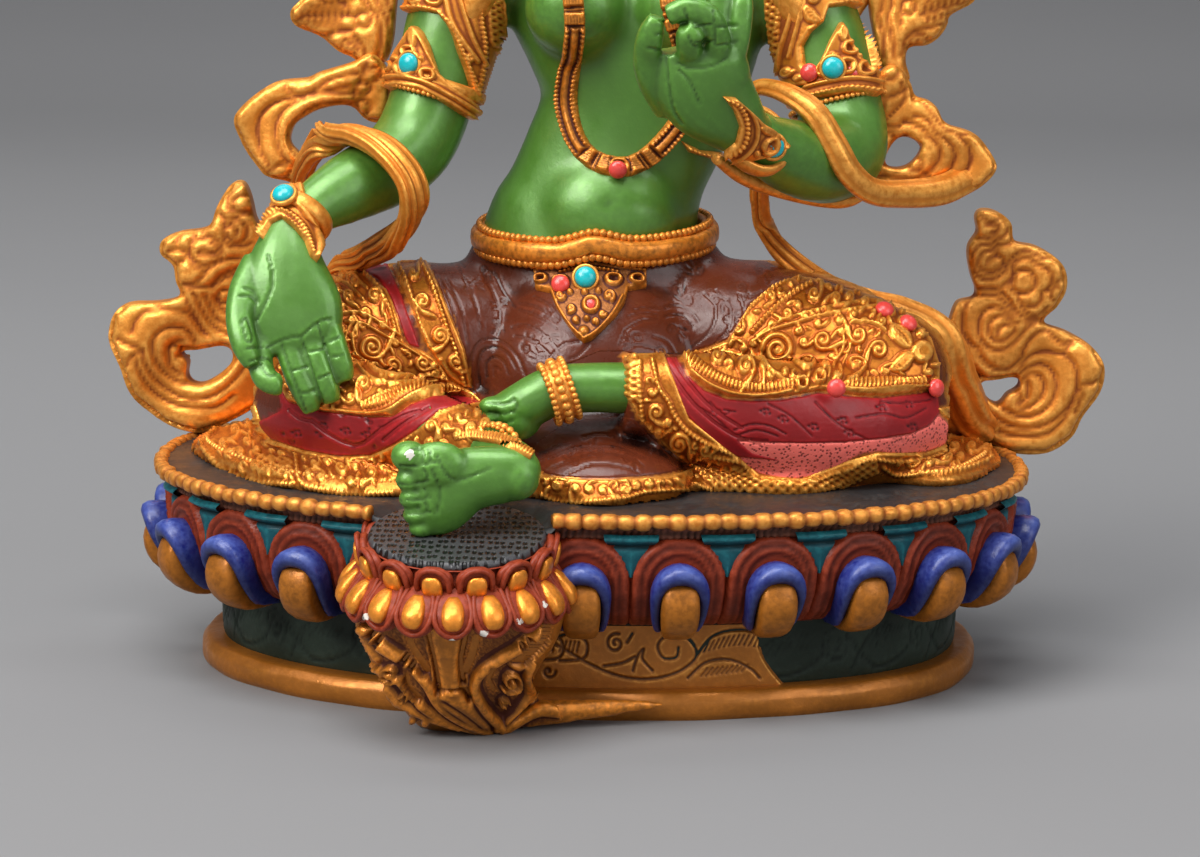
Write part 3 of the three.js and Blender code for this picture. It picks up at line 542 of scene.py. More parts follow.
def finishes():
    """The finishes by name, made once from the panel's colours."""
    if FINISHES:
        return FINISHES
    c = bpy.context.scene.tara_colours
    # The gold's groove colour is partly real wash and partly painted shade; its ridge colour is a painted
    # highlight.
    gold_wash_and_shade, gold_highlight = (0.19, 0.034, 0.004), (0.95, 0.46, 0.09)
    matt = {"gloss": 0.2}
    paint("gold_paint", c.gold, gold_wash_and_shade, gold_highlight, 0.38, 0.62, cloud=0.4)
    # The plinth's and the tongues' golds are darker copies of the gold paint: painted shade for the lower
    # throne, where less light falls. The tongues' gold is also a browner, matter gold.
    paint("plinth_gold_shaded", shade(c.gold, 0.56), (0.035, 0.012, 0.004), gold_highlight, 0.36, 0.5, cloud=0.5)
    paint("bracket_gold", shade(c.gold, 0.55), (0.07, 0.012, 0.003), shade(c.gold, 1.5), 0.36, 0.5,
          cloud=0.5, wash_and_shade_share=1.0)
    paint("boss_gold", shade(c.gold, 0.95), (0.14, 0.04, 0.01), shade(c.gold, 1.4), 0.34, 0.6, cloud=0.6)
    paint("tongue_gold_shaded", shade(c.gold, 0.42), (0.04, 0.012, 0.003), shade(c.gold, 0.66),
          0.42, 0.35, cloud=0.6,
          gloss=0.3)
    paint("green_skin_paint", c.skin, (0.025, 0.07, 0.007), shade(c.skin, 1.7), 0.4, 0.35, 0.22,
          cloud=0.22, brush=0.25, wash_and_shade_share=0.5, chips=True, gloss=0.65)
    paint("rust_petal_paint", c.rust, (0.03, 0.005, 0.003), (0.34, 0.06, 0.026), 0.42, cloud=0.35,
          chips=True, highlight_share=0.45, **matt)
    paint("blue_petal_paint", c.blue, (0.004, 0.005, 0.02), (0.22, 0.32, 0.72), 0.34, cloud=0.45,
          highlight_share=0.12, chips=True, pale=0.2, gloss=0.4)
    paint("teal_leaf_paint", c.teal, (0.002, 0.016, 0.02), (0.016, 0.15, 0.17), 0.4, cloud=0.5, **matt)
    paint("black_seat_paint", (0.017, 0.017, 0.018), (0.045, 0.043, 0.04), (0.04, 0.04, 0.041), 0.4,
          cloud=0.5, gloss=0.35)
    paint("black_pad_paint", (0.04, 0.04, 0.042), (0.003, 0.003, 0.003), (0.055, 0.055, 0.06), 0.4, cloud=0.3,
          pits=820.0, gloss=0.4)
    paint("recess_brown_paint", (0.075, 0.026, 0.014), (0.01, 0.005, 0.004), (0.2, 0.07, 0.04), 0.5,
          cloud=0.5, **matt)
    paint("dark_green_paint", (0.013, 0.021, 0.014), (0.0015, 0.003, 0.002), (0.035, 0.05, 0.037),
          0.5, cloud=0.5, **matt)
    paint("hair_paint", (0.012, 0.022, 0.075), (0.002, 0.004, 0.01), (0.06, 0.09, 0.22), 0.35, coat=0.2)
    paint("turquoise", c.turquoise, shade(c.turquoise, 0.45), shade(c.turquoise, 1.35), 0.25, coat=0.2,
          cloud=0.12)
    paint("coral", c.coral, shade(c.coral, 0.5), shade(c.coral, 1.25), 0.28, coat=0.2, cloud=0.12)
    cloth_paint("painted_cloth", {
        "brown": (c.skirt, (0.014, 0.004, 0.003), shade(c.skirt, 1.5), 0.25),
        "red": (c.red_cloth, (0.04, 0.002, 0.004), shade(c.red_cloth, 1.6), 0.36),
        "pink": (c.pink_cloth, (0.09, 0.008, 0.008), shade(c.pink_cloth, 1.25), 0.42),
        "gold": (c.gold, (0.30, 0.065, 0.007), gold_highlight, 0.3)}, 0.66)
    return FINISHES


def cloth_paint(name, paints, metallic):
    """Several cloths in one finish, each over the last by the share stored on the points."""
    FINISHES[name], tree, where = new_paint("painted_" + name)
    share = {key: attribute(tree, key) for key in ("hollow", "ink", "gold", "red", "pink")}
    cloudy, fine = noise(tree, where, 90.0, 4.0), noise(tree, where, 900.0, 3.0)
    dots = node(tree, "ShaderNodeTexVoronoi", {"Vector": where, "Scale": 1500.0}).outputs["Distance"]
    dots = arithmetic(tree, "MULTIPLY", ramp(tree, dots, 0.42, 0.24, 0, 0.8), share["pink"])
    base = None
    for key, (tone, deep, light, roughness) in paints.items():
        tone = blend(tree, ramp(tree, cloudy, 0.35, 0.7, 0.0, 0.4), opaque(tone), shade(tone, 0.62))
        if base is None:
            base, groove_wash_and_shade, crown, rough = tone, opaque(deep), opaque(light), roughness
            continue
        base = blend(tree, share[key], base, tone)
        groove_wash_and_shade = blend(tree, share[key], groove_wash_and_shade, opaque(deep))
        crown = blend(tree, share[key], crown, opaque(light))
        rough = node(tree, "ShaderNodeMix", {0: share[key], 2: rough, 3: roughness},
                     data_type="FLOAT").outputs[0]
    # Painted highlight: the ridges are lightened towards each cloth's third colour.
    ridge = arithmetic(tree, "MULTIPLY", ramp(tree, share["hollow"], -0.1, -0.7), ramp(tree, fine, 0.3, 0.6))
    colour = blend(tree, arithmetic(tree, "MULTIPLY", ridge, 0.75), base, crown)
    # Wash and painted shade: grooves, cut lines and the pink cloth's pricked dots are darkened.
    groove = arithmetic(tree, "MAXIMUM", ramp(tree, share["hollow"], 0.08, 0.55), share["ink"])
    groove = arithmetic(tree, "MAXIMUM", arithmetic(tree, "MULTIPLY", groove, 0.9), dots)
    colour = blend(tree, groove, colour, groove_wash_and_shade)
    shine = arithmetic(tree, "ADD", rough, ramp(tree, noise(tree, where, 260.0), 0.3, 0.7, -0.07, 0.1))
    bump_from = arithmetic(tree, "SUBTRACT", fine, arithmetic(tree, "MULTIPLY", dots, 2.0))
    bump = node(tree, "ShaderNodeBump", {"Height": bump_from, "Strength": 0.5,
                "Distance": BRUSH_MARK}).outputs[0]
    metal = arithmetic(tree, "MULTIPLY", share["gold"], metallic)
    surface_of = node(tree, "ShaderNodeBsdfPrincipled", {"Base Color": colour, "Roughness": shine,
                      "Metallic": metal, "Specular IOR Level": 0.32, "Normal": bump})
    node(tree, "ShaderNodeOutputMaterial", {"Surface": surface_of.outputs[0]})


# The throne's outline: a way round it, out of it and up it
class Rim:
    def __init__(self, half_width, half_depth, squareness):
        angle = np.linspace(-math.pi / 2, 1.5 * math.pi, 6001)
        x = half_width * rounded(np.cos(angle), squareness)
        y = half_depth * rounded(np.sin(angle), squareness)
        power = squareness - 1
        normal = unit(np.stack([np.sign(x) * (np.abs(x) / half_width) ** power / half_width,
                                np.sign(y) * (np.abs(y) / half_depth) ** power / half_depth], 1))
        run = np.r_[0, np.cumsum(np.hypot(np.diff(x), np.diff(y)))]
        self.length, self.run = run[-1], run
        self.columns = (x, y, normal[:, 0], normal[:, 1])

    def at(self, along, out, z, share=1.0):
        """Points by millimetres round from the front middle, out from the rim, and up."""
        s = np.mod(along, self.length)
        x, y, nx, ny = (np.interp(s, self.run, c) for c in self.columns)
        return np.stack([(x + nx * out) * share, (y + ny * out) * share, z + 0 * s], 1)


THRONE = Rim(82.5, 56.0, 2.2)
FOOT_LOTUS = np.array([-21.5, -55.5])
PETALS, RIM_BEADS, RECESS_BARS, SEAT_SCROLLS = 26, 148, 354, 150  # how many go round the throne


def turned_profile(profile, columns, rows, relief, wobble=0.12):
    """A form all round the throne, from a profile out, z, share of the way from the middle."""
    line = np.array([[*p[:2], p[2] if len(p) > 2 else 1.0] for p in profile], float)

    def place(u, v):
        out, z, share = spline(line, v).T
        share = np.clip(share, 0, 1)
        s = u * THRONE.length
        edge = smoothstep(0.85, 1, share)
        turn = math.tau * u
        out = out + edge * wobble * (np.sin(8 * turn) + 0.6 * np.sin(22 * turn + 1) * np.cos(z))
        lift, ink = relief(s, z)
        return THRONE.at(s, out + lift * edge, z, share), ink

    return surface(columns, rows, place)


def from_foot_lotus(points):
    """How far points lie from the foot lotus's upright axis."""
    return np.hypot(points[:, 0] - FOOT_LOTUS[0], points[:, 1] - FOOT_LOTUS[1])


def pad_height(y):
    """The small lotus's pad leans forward from the seat."""
    return PAD_TOP + 0.65 + 0.139 * (y - FOOT_LOTUS[1])


def under_pad(points):
    """Lowers what lies behind the small lotus below its pad."""
    over = np.clip(points[:, 2] - pad_height(points[:, 1]) + 2, 0, None)
    over = over * smoothstep(16.4, 15.2, from_foot_lotus(points))
    return points - np.outer(over, (0, 0, 1))


def waist_drawing():
    """Scrolls and hatched leaves for the waist, in millimetres round and up."""
    board = Board((-THRONE.length / 2, 4), (THRONE.length / 2, 18), 0.22)
    ink = 0.55
    for k in range(-9, 10):
        x, way = k * 24.0, 1 if k % 2 else -1
        board.spiral((x + 4, 11.4), 3.4, 1.7, way, 0.4 * k, ink, -1)
        board.stroke([(x - 10, 6.4), (x - 4, 7.2), (x + 1, 10), (x + 0.8, 13.4), (x + 4, 14.9)], ink, -1)
        board.stroke([(x + 7, 13), (x + 11, 9), (x + 15, 6.6), (x + 20, 7)], ink, -1)
        board.stroke([(x + 8, 6.2), (x + 12, 12.2), (x + 17, 14.6)], ink, -1)
        for j in range(7):
            at = x + 10 + j * 1.15
            board.stroke([(at, 9.6 + 0.3 * j), (at + 1.6, 12 + 0.35 * j)], 0.36, -1)
            board.stroke([(at - 20, 12.4 - 0.2 * j), (at - 18.4, 14.4 - 0.1 * j)], 0.36, -1)
    return board


def panel_drawing():
    """The bolder scrolls on the gilt panel at the front."""
    board = Board((-24, 4), (40, 18), 0.2)
    ink = 0.7
    board.stroke([(-9, 15), (-4, 12.4), (2, 9.2), (8, 7.2), (14, 7), (19, 8.4), (22, 11), (20.6, 14),
                  (17, 15.2), (14.4, 13.2), (15.4, 10.8), (18, 10.8), (18.4, 12.6)], ink, -1)
    board.spiral((6.2, 13.4), 2.2, 1.5, 1, 1.2, ink, -1)
    board.stroke([(8.4, 13.6), (9.4, 15.2)], ink, -1)
    board.stroke([(9.6, 8.4), (10.4, 11), (11.6, 12.4), (11.4, 10.6), (13.4, 8.4)], ink, -1)
    board.stroke([(4, 9.2), (7.4, 9.8), (10, 11)], ink, -1)
    board.stroke([(22, 11), (25, 14.4), (29.6, 15.6), (34, 14.8), (38, 11)], ink, -1)
    board.stroke([(20.4, 7), (24, 9.8), (28.6, 10.2), (33, 8.4), (35, 6.6)], ink, -1)
    for j in range(13):
        at, top = 23.4 + j * 1.02, 12.6 + 1.2 * math.sin(0.24 * j)
        board.stroke([(at, top - 1), (at + 1.1, top + 0.9)], 0.42, -1)
        if j < 9:
            board.stroke([(at - 0.4, 7.2 + 0.1 * j), (at + 0.9, 8.7 + 0.06 * j)], 0.42, -1)
    board.spiral((-6.4, 8), 1.7, 1.0, -1, 0, ink, -1)
    board.dab((-6.4, 8), 0.6, -1)
    for x in (-9, -4.4, -14):
        for j in range(5):
            board.stroke([(x + 0.8 * j, 11.6), (x + 0.5 + 0.8 * j, 13.6)], 0.4, -1)
        board.stroke([(x - 1, 14), (x + 2, 15), (x + 5, 13.6), (x + 4.6, 10.6), (x, 10)], ink, -1)
    return board


def petal_shell():
    """One rust petal: an arch of two ridges, sunk inside. Local axes are across, out and up."""
    def place(u, v):
        across = (u - 0.5) * THRONE.length / PETALS
        z = 15.6 + v * 19.7
        out = np.interp(z, [15.6, 16.4, 18, 20, 24, 28, 32, 34, 35.3],
                        [-15, -12.4, -8.4, -5.6, -3.0, -2.0, -1.9, -2.6, -4.6])
        half = THRONE.length / PETALS / 2
        rise = np.clip((z - 26.5) / 8.5, 0, 1)
        side = half * (1 - rise**2.1) ** 0.5
        inner = np.where(z < 26.5, half - np.abs(across),
                         half * (1 - np.hypot(across / half, rise)) * 0.92)
        inner = np.where(np.abs(across) > side, np.minimum(inner, 0), inner)
        lift = 1.15 * smoothstep(-0.15, 0.55, inner) - 0.25 * smoothstep(1.0, 0, inner)
        for line, cut, wide in ((1.75, 0.6, 0.42), (3.3, 0.65, 0.42), (0.05, 0.5, 0.35)):
            lift = lift - cut * np.exp(-((inner - line) / wide) ** 2)
        lift = lift - 0.5 * smoothstep(3.2, 4.4, inner)
        # The two cut lines are darkened: wash and painted shade.
        ink = 0.75 * np.exp(-((inner - 1.75) / 0.42) ** 2) + 0.75 * np.exp(-((inner - 3.3) / 0.42) ** 2)
        fade = smoothstep(15.8, 17.4, z)
        return np.stack([across, out + lift * fade - 1.1, z], 1), ink * fade

    return surface_open(26, 32, place)


def petal_hood():
    """One blue hood: an arch that stands out over the tongue and runs down both its sides."""
    side = [(-2.9, -11.6, 17.0, 0.5, 0.8), (-3.8, -6.0, 18.6, 0.7, 1.7), (-4.2, -3.0, 22.0, 0.85, 2.2),
            (-4.0, -1.5, 25.4, 1.15, 2.7)]
    top = [(-2.6, -0.7, 27.8, 1.55, 2.9), (0, -0.5, 28.7, 1.8, 3.1)]
    mirrored = [(-x, *rest) for x, *rest in reversed(side + top[:1])]
    hood = limb(side + top + mirrored, 12, 28, facing=(0, 1, 0), squareness=2.6)
    points = coordinates(hood)
    # Painted highlight on the top of the hood.
    set_values(hood, "pale", smoothstep(27.2, 29.8, points[:, 2]) * smoothstep(-0.6, 1.8, points[:, 1]))
    # Painted shade on the hood's inner side, where it curls over the tongue, stored as ink.
    inner = smoothstep(0.9, 0.1, np.hypot(points[:, 0] / 4.4, (points[:, 2] - 22) / 5.4) - 0.62)
    set_values(hood, "ink", 0.95 * inner)
    return hood


def petal_tongue():
    """One gilt tongue, curling out from under the hood."""
    return limb([(0, -12.4, 16.7, 2.1, 0.5), (0, -9.0, 17.0, 2.6, 1.2), (0, -4.6, 18.0, 3.0, 2.0),
                 (0, -1.6, 20.2, 3.3, 2.5), (0, -0.4, 22.8, 3.4, 2.6), (0, -0.5, 25.0, 3.2, 2.3),
                 (0, -0.8, 25.9, 2.8, 1.9), (0, -1.1, 26.4, 1.3, 1.2)],
                16, 18, facing=(0, 1, 0), squareness=3.6)


def valley_leaf():
    """One teal leaf in the valley between two petals, with a lip along its top."""
    def place(u, v):
        z = 27.6 + v * 7.6
        half = np.interp(z + 1, [28.6, 31, 34, 35.2, 36.2], [0.3, 1.8, 4.0, 4.7, 4.9])
        across = (2 * u - 1) * half
        lip = np.exp(-((z - 34.4) / 0.7) ** 2)
        out = -3.0 + 1.4 * lip + 0.5 * (1 - np.abs(2 * u - 1)) - 0.8 * np.exp(-((z - 33) / 0.3) ** 2)
        # The line under the lip is darkened: painted shade under the lip, with wash.
        return np.stack([across, out, z], 1), 0.8 * np.exp(-((z - 33.1) / 0.35) ** 2)

    return surface_open(12, 18, place)


def round_throne(form, start=0.0, gap=0.0):
    """Copies of a petal's form, all round the throne but for a gap at the foot lotus."""
    made = []
    for k in range(PETALS):
        middle = (k + start) * THRONE.length / PETALS
        if from_foot_lotus(THRONE.at(np.array([middle]), 0, 0.0))[0] < gap:
            continue
        made.append(moved(form, lambda p, m=middle: under_pad(THRONE.at(m + p[:, 0], p[:, 1], p[:, 2]))))
    return made


def throne_plinth():
    """A foot with a turned-in lip, and a groove just under the lip's top."""
    lip = [(-20, 0, 0), (-20, 0, 0), (-20, 0, 1), (-10.4, 0, 1), (-9.6, 0.1, 1), (-9.0, 0.9, 1),
           (-8.8, 2.4, 1), (-9.0, 3.9, 1), (-9.8, 4.9, 1), (-11, 5.2, 1), (-12.6, 5.2, 1),
           (-16, 5.2, 1), (-16, 5.2, 0), (-16, 5.2, 0)]
    groove = lambda s, z: (-0.22 * np.exp(-((z - 4.4) / 0.3) ** 2), 0 * s)
    form = turned_profile(lip, 220, 28, groove, 0.22)
    piece("throne_plinth", [form], finishes()["plinth_gold_shaded"], "gold_paint", ["lotus_throne"])


def throne_waist():
    finish = finishes()
    drawing = waist_drawing()
    centred = lambda s: np.mod(s + THRONE.length / 2, THRONE.length) - THRONE.length / 2

    def engraved(s, z):
        cut = -drawing.read(centred(s), z)
        # The cut lines are darkened: wash and painted shade.
        return -0.3 * cut, 0.85 * cut

    wall = [(-13.4, 4.6), (-12.9, 5.6), (-12.6, 8), (-12.5, 12), (-12.4, 15.4), (-12.4, 17)]
    piece("throne_waist", [turned_profile(wall, 720, 24, engraved)], finish["dark_green_paint"],
          "dark_green_paint")
    panel = panel_drawing()

    def place(u, v):
        z = 5.0 + v * 11.6
        right = 35.0 + 5.5 * (1 - v) - 2.0 * np.sin(math.pi * v)
        s = -23 + u * (right + 23)
        cut = -panel.read(s, z)
        edge = smoothstep(0, 0.02, u) * smoothstep(1, 0.985, u)
        out = -12.75 + 0.6 * edge - 0.32 * cut + 0.1 * np.sin(s * 0.2)
        # The cut lines are darkened: wash and painted shade.
        return THRONE.at(s, out, z), 0.95 * cut

    piece("throne_waist_panel", [surface_open(270, 52, place)], finish["plinth_gold_shaded"], "gold_paint")


def throne_petals():
    finish = finishes()
    piece("petal_arches", round_throne(petal_shell()), finish["rust_petal_paint"], "rust_petal_paint")
    piece("petal_hoods", round_throne(petal_hood(), gap=11), finish["blue_petal_paint"],
          "blue_petal_paint")
    piece("petal_tongues", round_throne(petal_tongue(), gap=11), finish["tongue_gold_shaded"], "gold_paint")
    piece("petal_leaves", round_throne(valley_leaf(), 0.5, 13), finish["teal_leaf_paint"],
          "teal_leaf_paint")


def throne_rim():
    finish = finishes()

    def bars(s, z):
        tier = np.where(z > 35.4, 0, 0.7)
        wave = np.abs(np.sin(math.pi * s * RECESS_BARS / THRONE.length + tier)) ** 0.6
        step = 0.5 * np.exp(-((z - 35.2) / 0.25) ** 2)
        # The gaps between the bars are darkened: wash and painted shade.
        return 0.75 * wave - step, 0.8 * smoothstep(0.6, 0.2, wave)

    recess = [(-6, 33.6), (-4.2, 34.1), (-3.4, 34.8), (-3.2, 35.8), (-3.2, 36.8), (-4.5, 37.4)]
    band = kept(turned_profile(recess, 1100, 8, bars, 0.05),
                lambda p: (from_foot_lotus(p) >= 17) & (np.hypot(p[:, 0], p[:, 1]) > 20))
    piece("throne_recess", [band], finish["recess_brown_paint"], "black_seat_paint")
    pitch = THRONE.length / RIM_BEADS
    middle = RIM_TOP - 1.35

    def place(u, v):
        s, angle = u * THRONE.length, math.tau * v
        k = np.floor(s / pitch)
        size = 1.42 + 0.12 * np.sin(k * 2.7) + 0.06 * np.sin(k * 1.3)
        groove = np.abs(np.cos(math.pi * s / pitch)) ** 7
        size = size * (1 - 0.26 * groove)
        out = -1.35 + size * rounded(np.cos(angle), 2.5)
        z = middle + 0.12 * np.sin(k * 1.9) + size * 0.96 * rounded(np.sin(angle), 2.5)
        # The beads are darkened a little all over, and more in the gaps between them with wash and painted
        # shade.
        return THRONE.at(s, out, np.minimum(z, RIM_TOP)), 0.25 + 0.7 * groove

    row = welded(kept(surface(RIM_BEADS * 6, 10, place), lambda p: from_foot_lotus(p) >= 16.4))
    piece("rim_beads", [row], finish["gold_paint"], "gold_paint")


def seat_height(points):
    """The top dips to the foot lotus's pad."""
    away = from_foot_lotus(points)
    dip = np.minimum(pad_height(points[:, 1]) - SEAT, 0) - 0.5 * smoothstep(15.2, 14.2, away)
    return SEAT + dip * smoothstep(18.4, 15.6, away)


def throne_seat():
    drawing = Board((-84, -58), (84, 58), 0.3)
    rng = np.random.default_rng(7)
    for k in range(SEAT_SCROLLS):
        s = k * THRONE.length / SEAT_SCROLLS + rng.uniform(-1, 1)
        x, y, _ = THRONE.at(np.array([s]), rng.uniform(-24, -6), 0.0)[0]
        way, turn = (1 if k % 2 else -1), rng.uniform(0, 6.3)
        drawing.spiral((x, y), rng.uniform(1.8, 3.2), 1.4, way, turn, 0.55, -1)
        reach = rng.uniform(4, 7)
        bend = turn + way * 1.2
        drawing.stroke([(x + 2 * math.cos(turn), y + 2 * math.sin(turn)),
                        (x + reach * math.cos(turn + way * 0.5), y + reach * math.sin(turn + way * 0.5)),
                        (x + reach * 1.6 * math.cos(bend), y + reach * 1.6 * math.sin(bend))], 0.5, -1)

    def place(u, v):
        out = np.interp(v, [0, 0.04, 0.86, 1], [-1.8, -2.2, -30, -30])
        share = np.interp(v, [0, 0.86, 1], [1, 1, 0])
        points = THRONE.at(u * THRONE.length, out, SEAT, share)
        cut = -drawing.read(points[:, 0], points[:, 1])
        points[:, 2] = seat_height(points) - 0.28 * cut - 0.8 * smoothstep(0.03, 0, v)
        return points, 0.7 * cut

    piece("throne_seat", [surface_open(420, 36, place)], finishes()["black_seat_paint"],
          "black_seat_paint")


# The eye that the photograph has, and the way from a pixel of it to the part
PHOTO = (1200, 857)
PRINCIPAL = (591.26, 428.5)
FOCAL = 2996.7
SENSOR = 36.0  # the camera's width, in millimetres
CAMERA_SHIFT = (PHOTO[0] / 2 - PRINCIPAL[0]) / PHOTO[0]
AZIMUTH, PITCH, ROLL, DISTANCE, EYE_HEIGHT = 0.0246, 0.1818, 0.012, 559.0, 146.72
EYE = Vector((math.sin(AZIMUTH) * DISTANCE, -math.cos(AZIMUTH) * DISTANCE, EYE_HEIGHT))


def eye_axes():
    level = Vector((-math.sin(AZIMUTH), math.cos(AZIMUTH), 0))
    across = Vector((math.cos(AZIMUTH), math.sin(AZIMUTH), 0))
    forward = math.cos(PITCH) * level - math.sin(PITCH) * Vector((0, 0, 1))
    above = math.sin(PITCH) * level + math.cos(PITCH) * Vector((0, 0, 1))
    return (math.cos(ROLL) * across + math.sin(ROLL) * above,
            math.cos(ROLL) * above - math.sin(ROLL) * across, forward)


EYE_AXES = eye_axes()
AXES = np.array(EYE_AXES)


def seen(points):
    """Where the photograph's frame shows points, in its pixels."""
    away = np.asarray(points, float) - np.array(EYE)
    right, up, forward = (away @ axis for axis in AXES)
    return PRINCIPAL[0] + FOCAL * right / forward, PRINCIPAL[1] - FOCAL * up / forward


def sight(px, py):
    """The direction from the eye through a pixel."""
    right, up, forward = EYE_AXES
    return (forward + right * ((px - PRINCIPAL[0]) / FOCAL)
            - up * ((py - PRINCIPAL[1]) / FOCAL)).normalized()


def facing_eye(points, normals):
    """How squarely points face the eye: 1 straight on, below 0 from behind."""
    return (normals * unit(np.array(EYE) - points)).sum(1)


def at_depth(px, py, y):
    """The point that a pixel shows in the upright plane at y."""
    way = sight(px, py)
    return np.array(EYE + way * ((y - EYE.y) / way.y))


# The figure's forms as stations x, y, height over the seat, half across, half deep
TORSO = [
    (0, 10, 24, 27, 19), (0, 9, 41, 21.8, 16), (1.4, 8.5, 48, 18.8, 13.6), (3.9, 8.5, 56, 17.7, 12.6),
    (7.4, 8.5, 65, 18.4, 12.8), (8.4, 8.5, 76, 22, 13.8), (7.4, 9, 88, 24.6, 13.6), (7, 10, 98.5, 22, 10),
    (7, 10, 102.6, 9, 8), (7.3, 8.5, 113, 7, 7.2)]
RIGHT_ARM = [
    (-18, 9.5, 93, 9, 9), (-24.5, 8, 88, 9.2, 9), (-28, 5.5, 78, 8.6, 8.6), (-30.5, 3, 68, 8, 8),
    (-33.5, -0.5, 60, 7.9, 7.8), (-38, -6, 55.5, 7.4, 7), (-45, -13, 52, 6.4, 6),
    (-51, -18.5, 48.5, 4.9, 4.4), (-54.3, -22.5, 44.5, 4.7, 3.9)]
LEFT_ARM = [
    (31, 9.5, 93, 9, 9), (37, 8, 88, 9.2, 9), (41.5, 6, 80, 8.6, 8.6), (45, 2.5, 69, 8.2, 8),
    (46.3, -3, 60, 8.2, 7.8), (42.3, -10, 58, 7.8, 7.4), (36.5, -16.5, 59.4, 7, 6.6),
    (31, -22.5, 62, 5.7, 5.3), (27, -27, 65, 4.8, 4.3)]
RIGHT_PALM = [
    (-53.2, -20.5, 46.5, 4.6, 3.8), (-54.3, -22.5, 44.5, 4.8, 3.9), (-54.6, -25, 39.5, 7.2, 4.3),
    (-54.2, -27.3, 33, 9.8, 4.2), (-53.6, -28.5, 27.5, 9.6, 3.8), (-52.8, -29, 24.6, 8.4, 3)]
LEFT_PALM = [
    (28.4, -25.5, 64, 4.7, 4.2), (27, -27, 65, 4.9, 4.4), (24.6, -29.5, 67.4, 6.4, 4.6),
    (20.8, -32, 71.5, 8.4, 4.6), (18.6, -33.5, 76, 8.8, 4.3), (18.2, -34.2, 79.6, 8.2, 3.4)]
RIGHT_FINGERS = [
    [(-54.4, -28, 30, 2.4), (-54, -29.4, 26.5, 2.5), (-52, -31, 20.5, 2.4), (-50.2, -31.3, 16.4, 2.2),
     (-49.3, -31.2, 13.8, 1.5)],
    [(-50.6, -28.2, 31, 2.3), (-50.2, -29.2, 27.5, 2.4), (-48.1, -30.8, 22, 2.3),
     (-46.4, -31.2, 17.8, 2.1), (-45.6, -31.2, 15.6, 1.4)],
    [(-47, -27.6, 32, 2.1), (-46.6, -28.6, 29.4, 2.2), (-45, -29.8, 25, 2.1), (-43.8, -30.2, 21.6, 1.9),
     (-43.2, -30.2, 19.4, 1.3)],
    [(-57.6, -28, 29.5, 2.5), (-58.6, -31.2, 24.4, 2.3), (-57.6, -33.8, 20.6, 2.2),
     (-55.2, -34.8, 19.2, 2.0), (-54.2, -34.8, 19.1, 1.3)],
    [(-59.6, -24.4, 39.5, 3.2), (-61.6, -28, 35, 3.0), (-62.2, -31.4, 30.4, 2.5), (-61, -33.8, 26, 2.3),
     (-59.4, -34.8, 22.6, 1.5)]]
LEFT_FINGERS = [
    [(24.2, -33, 76.5, 2.3), (25, -33.8, 79.6, 2.3), (25.8, -34, 83.4, 2.1), (26.2, -33.7, 87.4, 1.9),
     (26.3, -33.6, 89.2, 1.2)],
    [(20.6, -33.6, 77, 2.4), (21.2, -33.8, 80.6, 2.4), (22, -33.2, 87, 2.3), (22.4, -32.2, 94, 2.0),
     (22.4, -32, 96.2, 1.2)],
    [(21.2, -34.6, 77, 2.1), (22, -37, 81.4, 2.1), (20.4, -38.6, 85.4, 2.1), (16.4, -39, 86.6, 2.0),
     (13.2, -38.8, 85.4, 1.8)],
    [(17.4, -34.4, 76.6, 2.2), (17, -37.4, 79.8, 2.2), (17, -38.8, 82.4, 2.2), (18.6, -38.8, 80.8, 1.7)],
    [(14, -30.4, 69.4, 3.3), (11, -33.4, 74, 2.9), (9.8, -35.4, 78, 2.5), (10.4, -37.6, 82.2, 2.3),
     (11.4, -38.6, 85.2, 1.4)]]
RIGHT_THIGH = [
    (-2, 12, 20, 15, 18), (-20, 6, 21.5, 15, 18), (-36, 0, 20.5, 15.4, 17.5), (-48, -5, 19, 14, 15),
    (-56, -8, 16.5, 10.5, 10.5), (-60, -9, 14.5, 4, 5)]
LEFT_THIGH = [
    (2, 12, 20, 15, 18), (20, 7, 22.5, 15.5, 18), (36, 1, 21.5, 15, 17.5), (50, -4, 18.8, 13, 15),
    (60, -6.5, 16, 10.5, 11), (65, -7.5, 14, 4, 5)]
RIGHT_SHIN = [
    (-58, -8, 11, 7, 7), (-49, -18, 11, 9, 8.6), (-37, -26, 11.4, 8.6, 8), (-26, -35, 11, 6.6, 6.4),
    (-16.5, -44, 9.8, 4.4, 4.4), (-11.5, -53, 9, 4, 4)]
LEFT_SHIN = [
    (62, -7, 10, 8, 8), (50, -17, 10.4, 10, 9.4), (36, -23.5, 12, 10.5, 8.4), (22, -27, 15, 9.4, 7.4),
    (12, -28, 17.4, 7.6, 6.6), (6.5, -28.5, 17.8, 7, 6)]
LEFT_ANKLE = [
    (12, -28.5, 18.5, 4.8, 4.6), (1, -29.8, 18.8, 4.5, 4.3), (-6, -30.8, 18.2, 4.5, 4.2),
    (-11, -31.4, 15.8, 4.4, 3.8), (-15.2, -31.6, 14, 3.6, 3)]
RIGHT_FOOT = [
    (-7.6, -54.6, 8.4, 1.4, 1.4), (-9.2, -55.2, 8.4, 3.8, 3.2), (-13, -56, 8, 4.9, 3.8),
    (-19, -56.8, 7.2, 5.6, 3.4), (-24.5, -57.4, 5.2, 7.6, 3), (-27.6, -57.6, 5, 7.4, 2.4)]
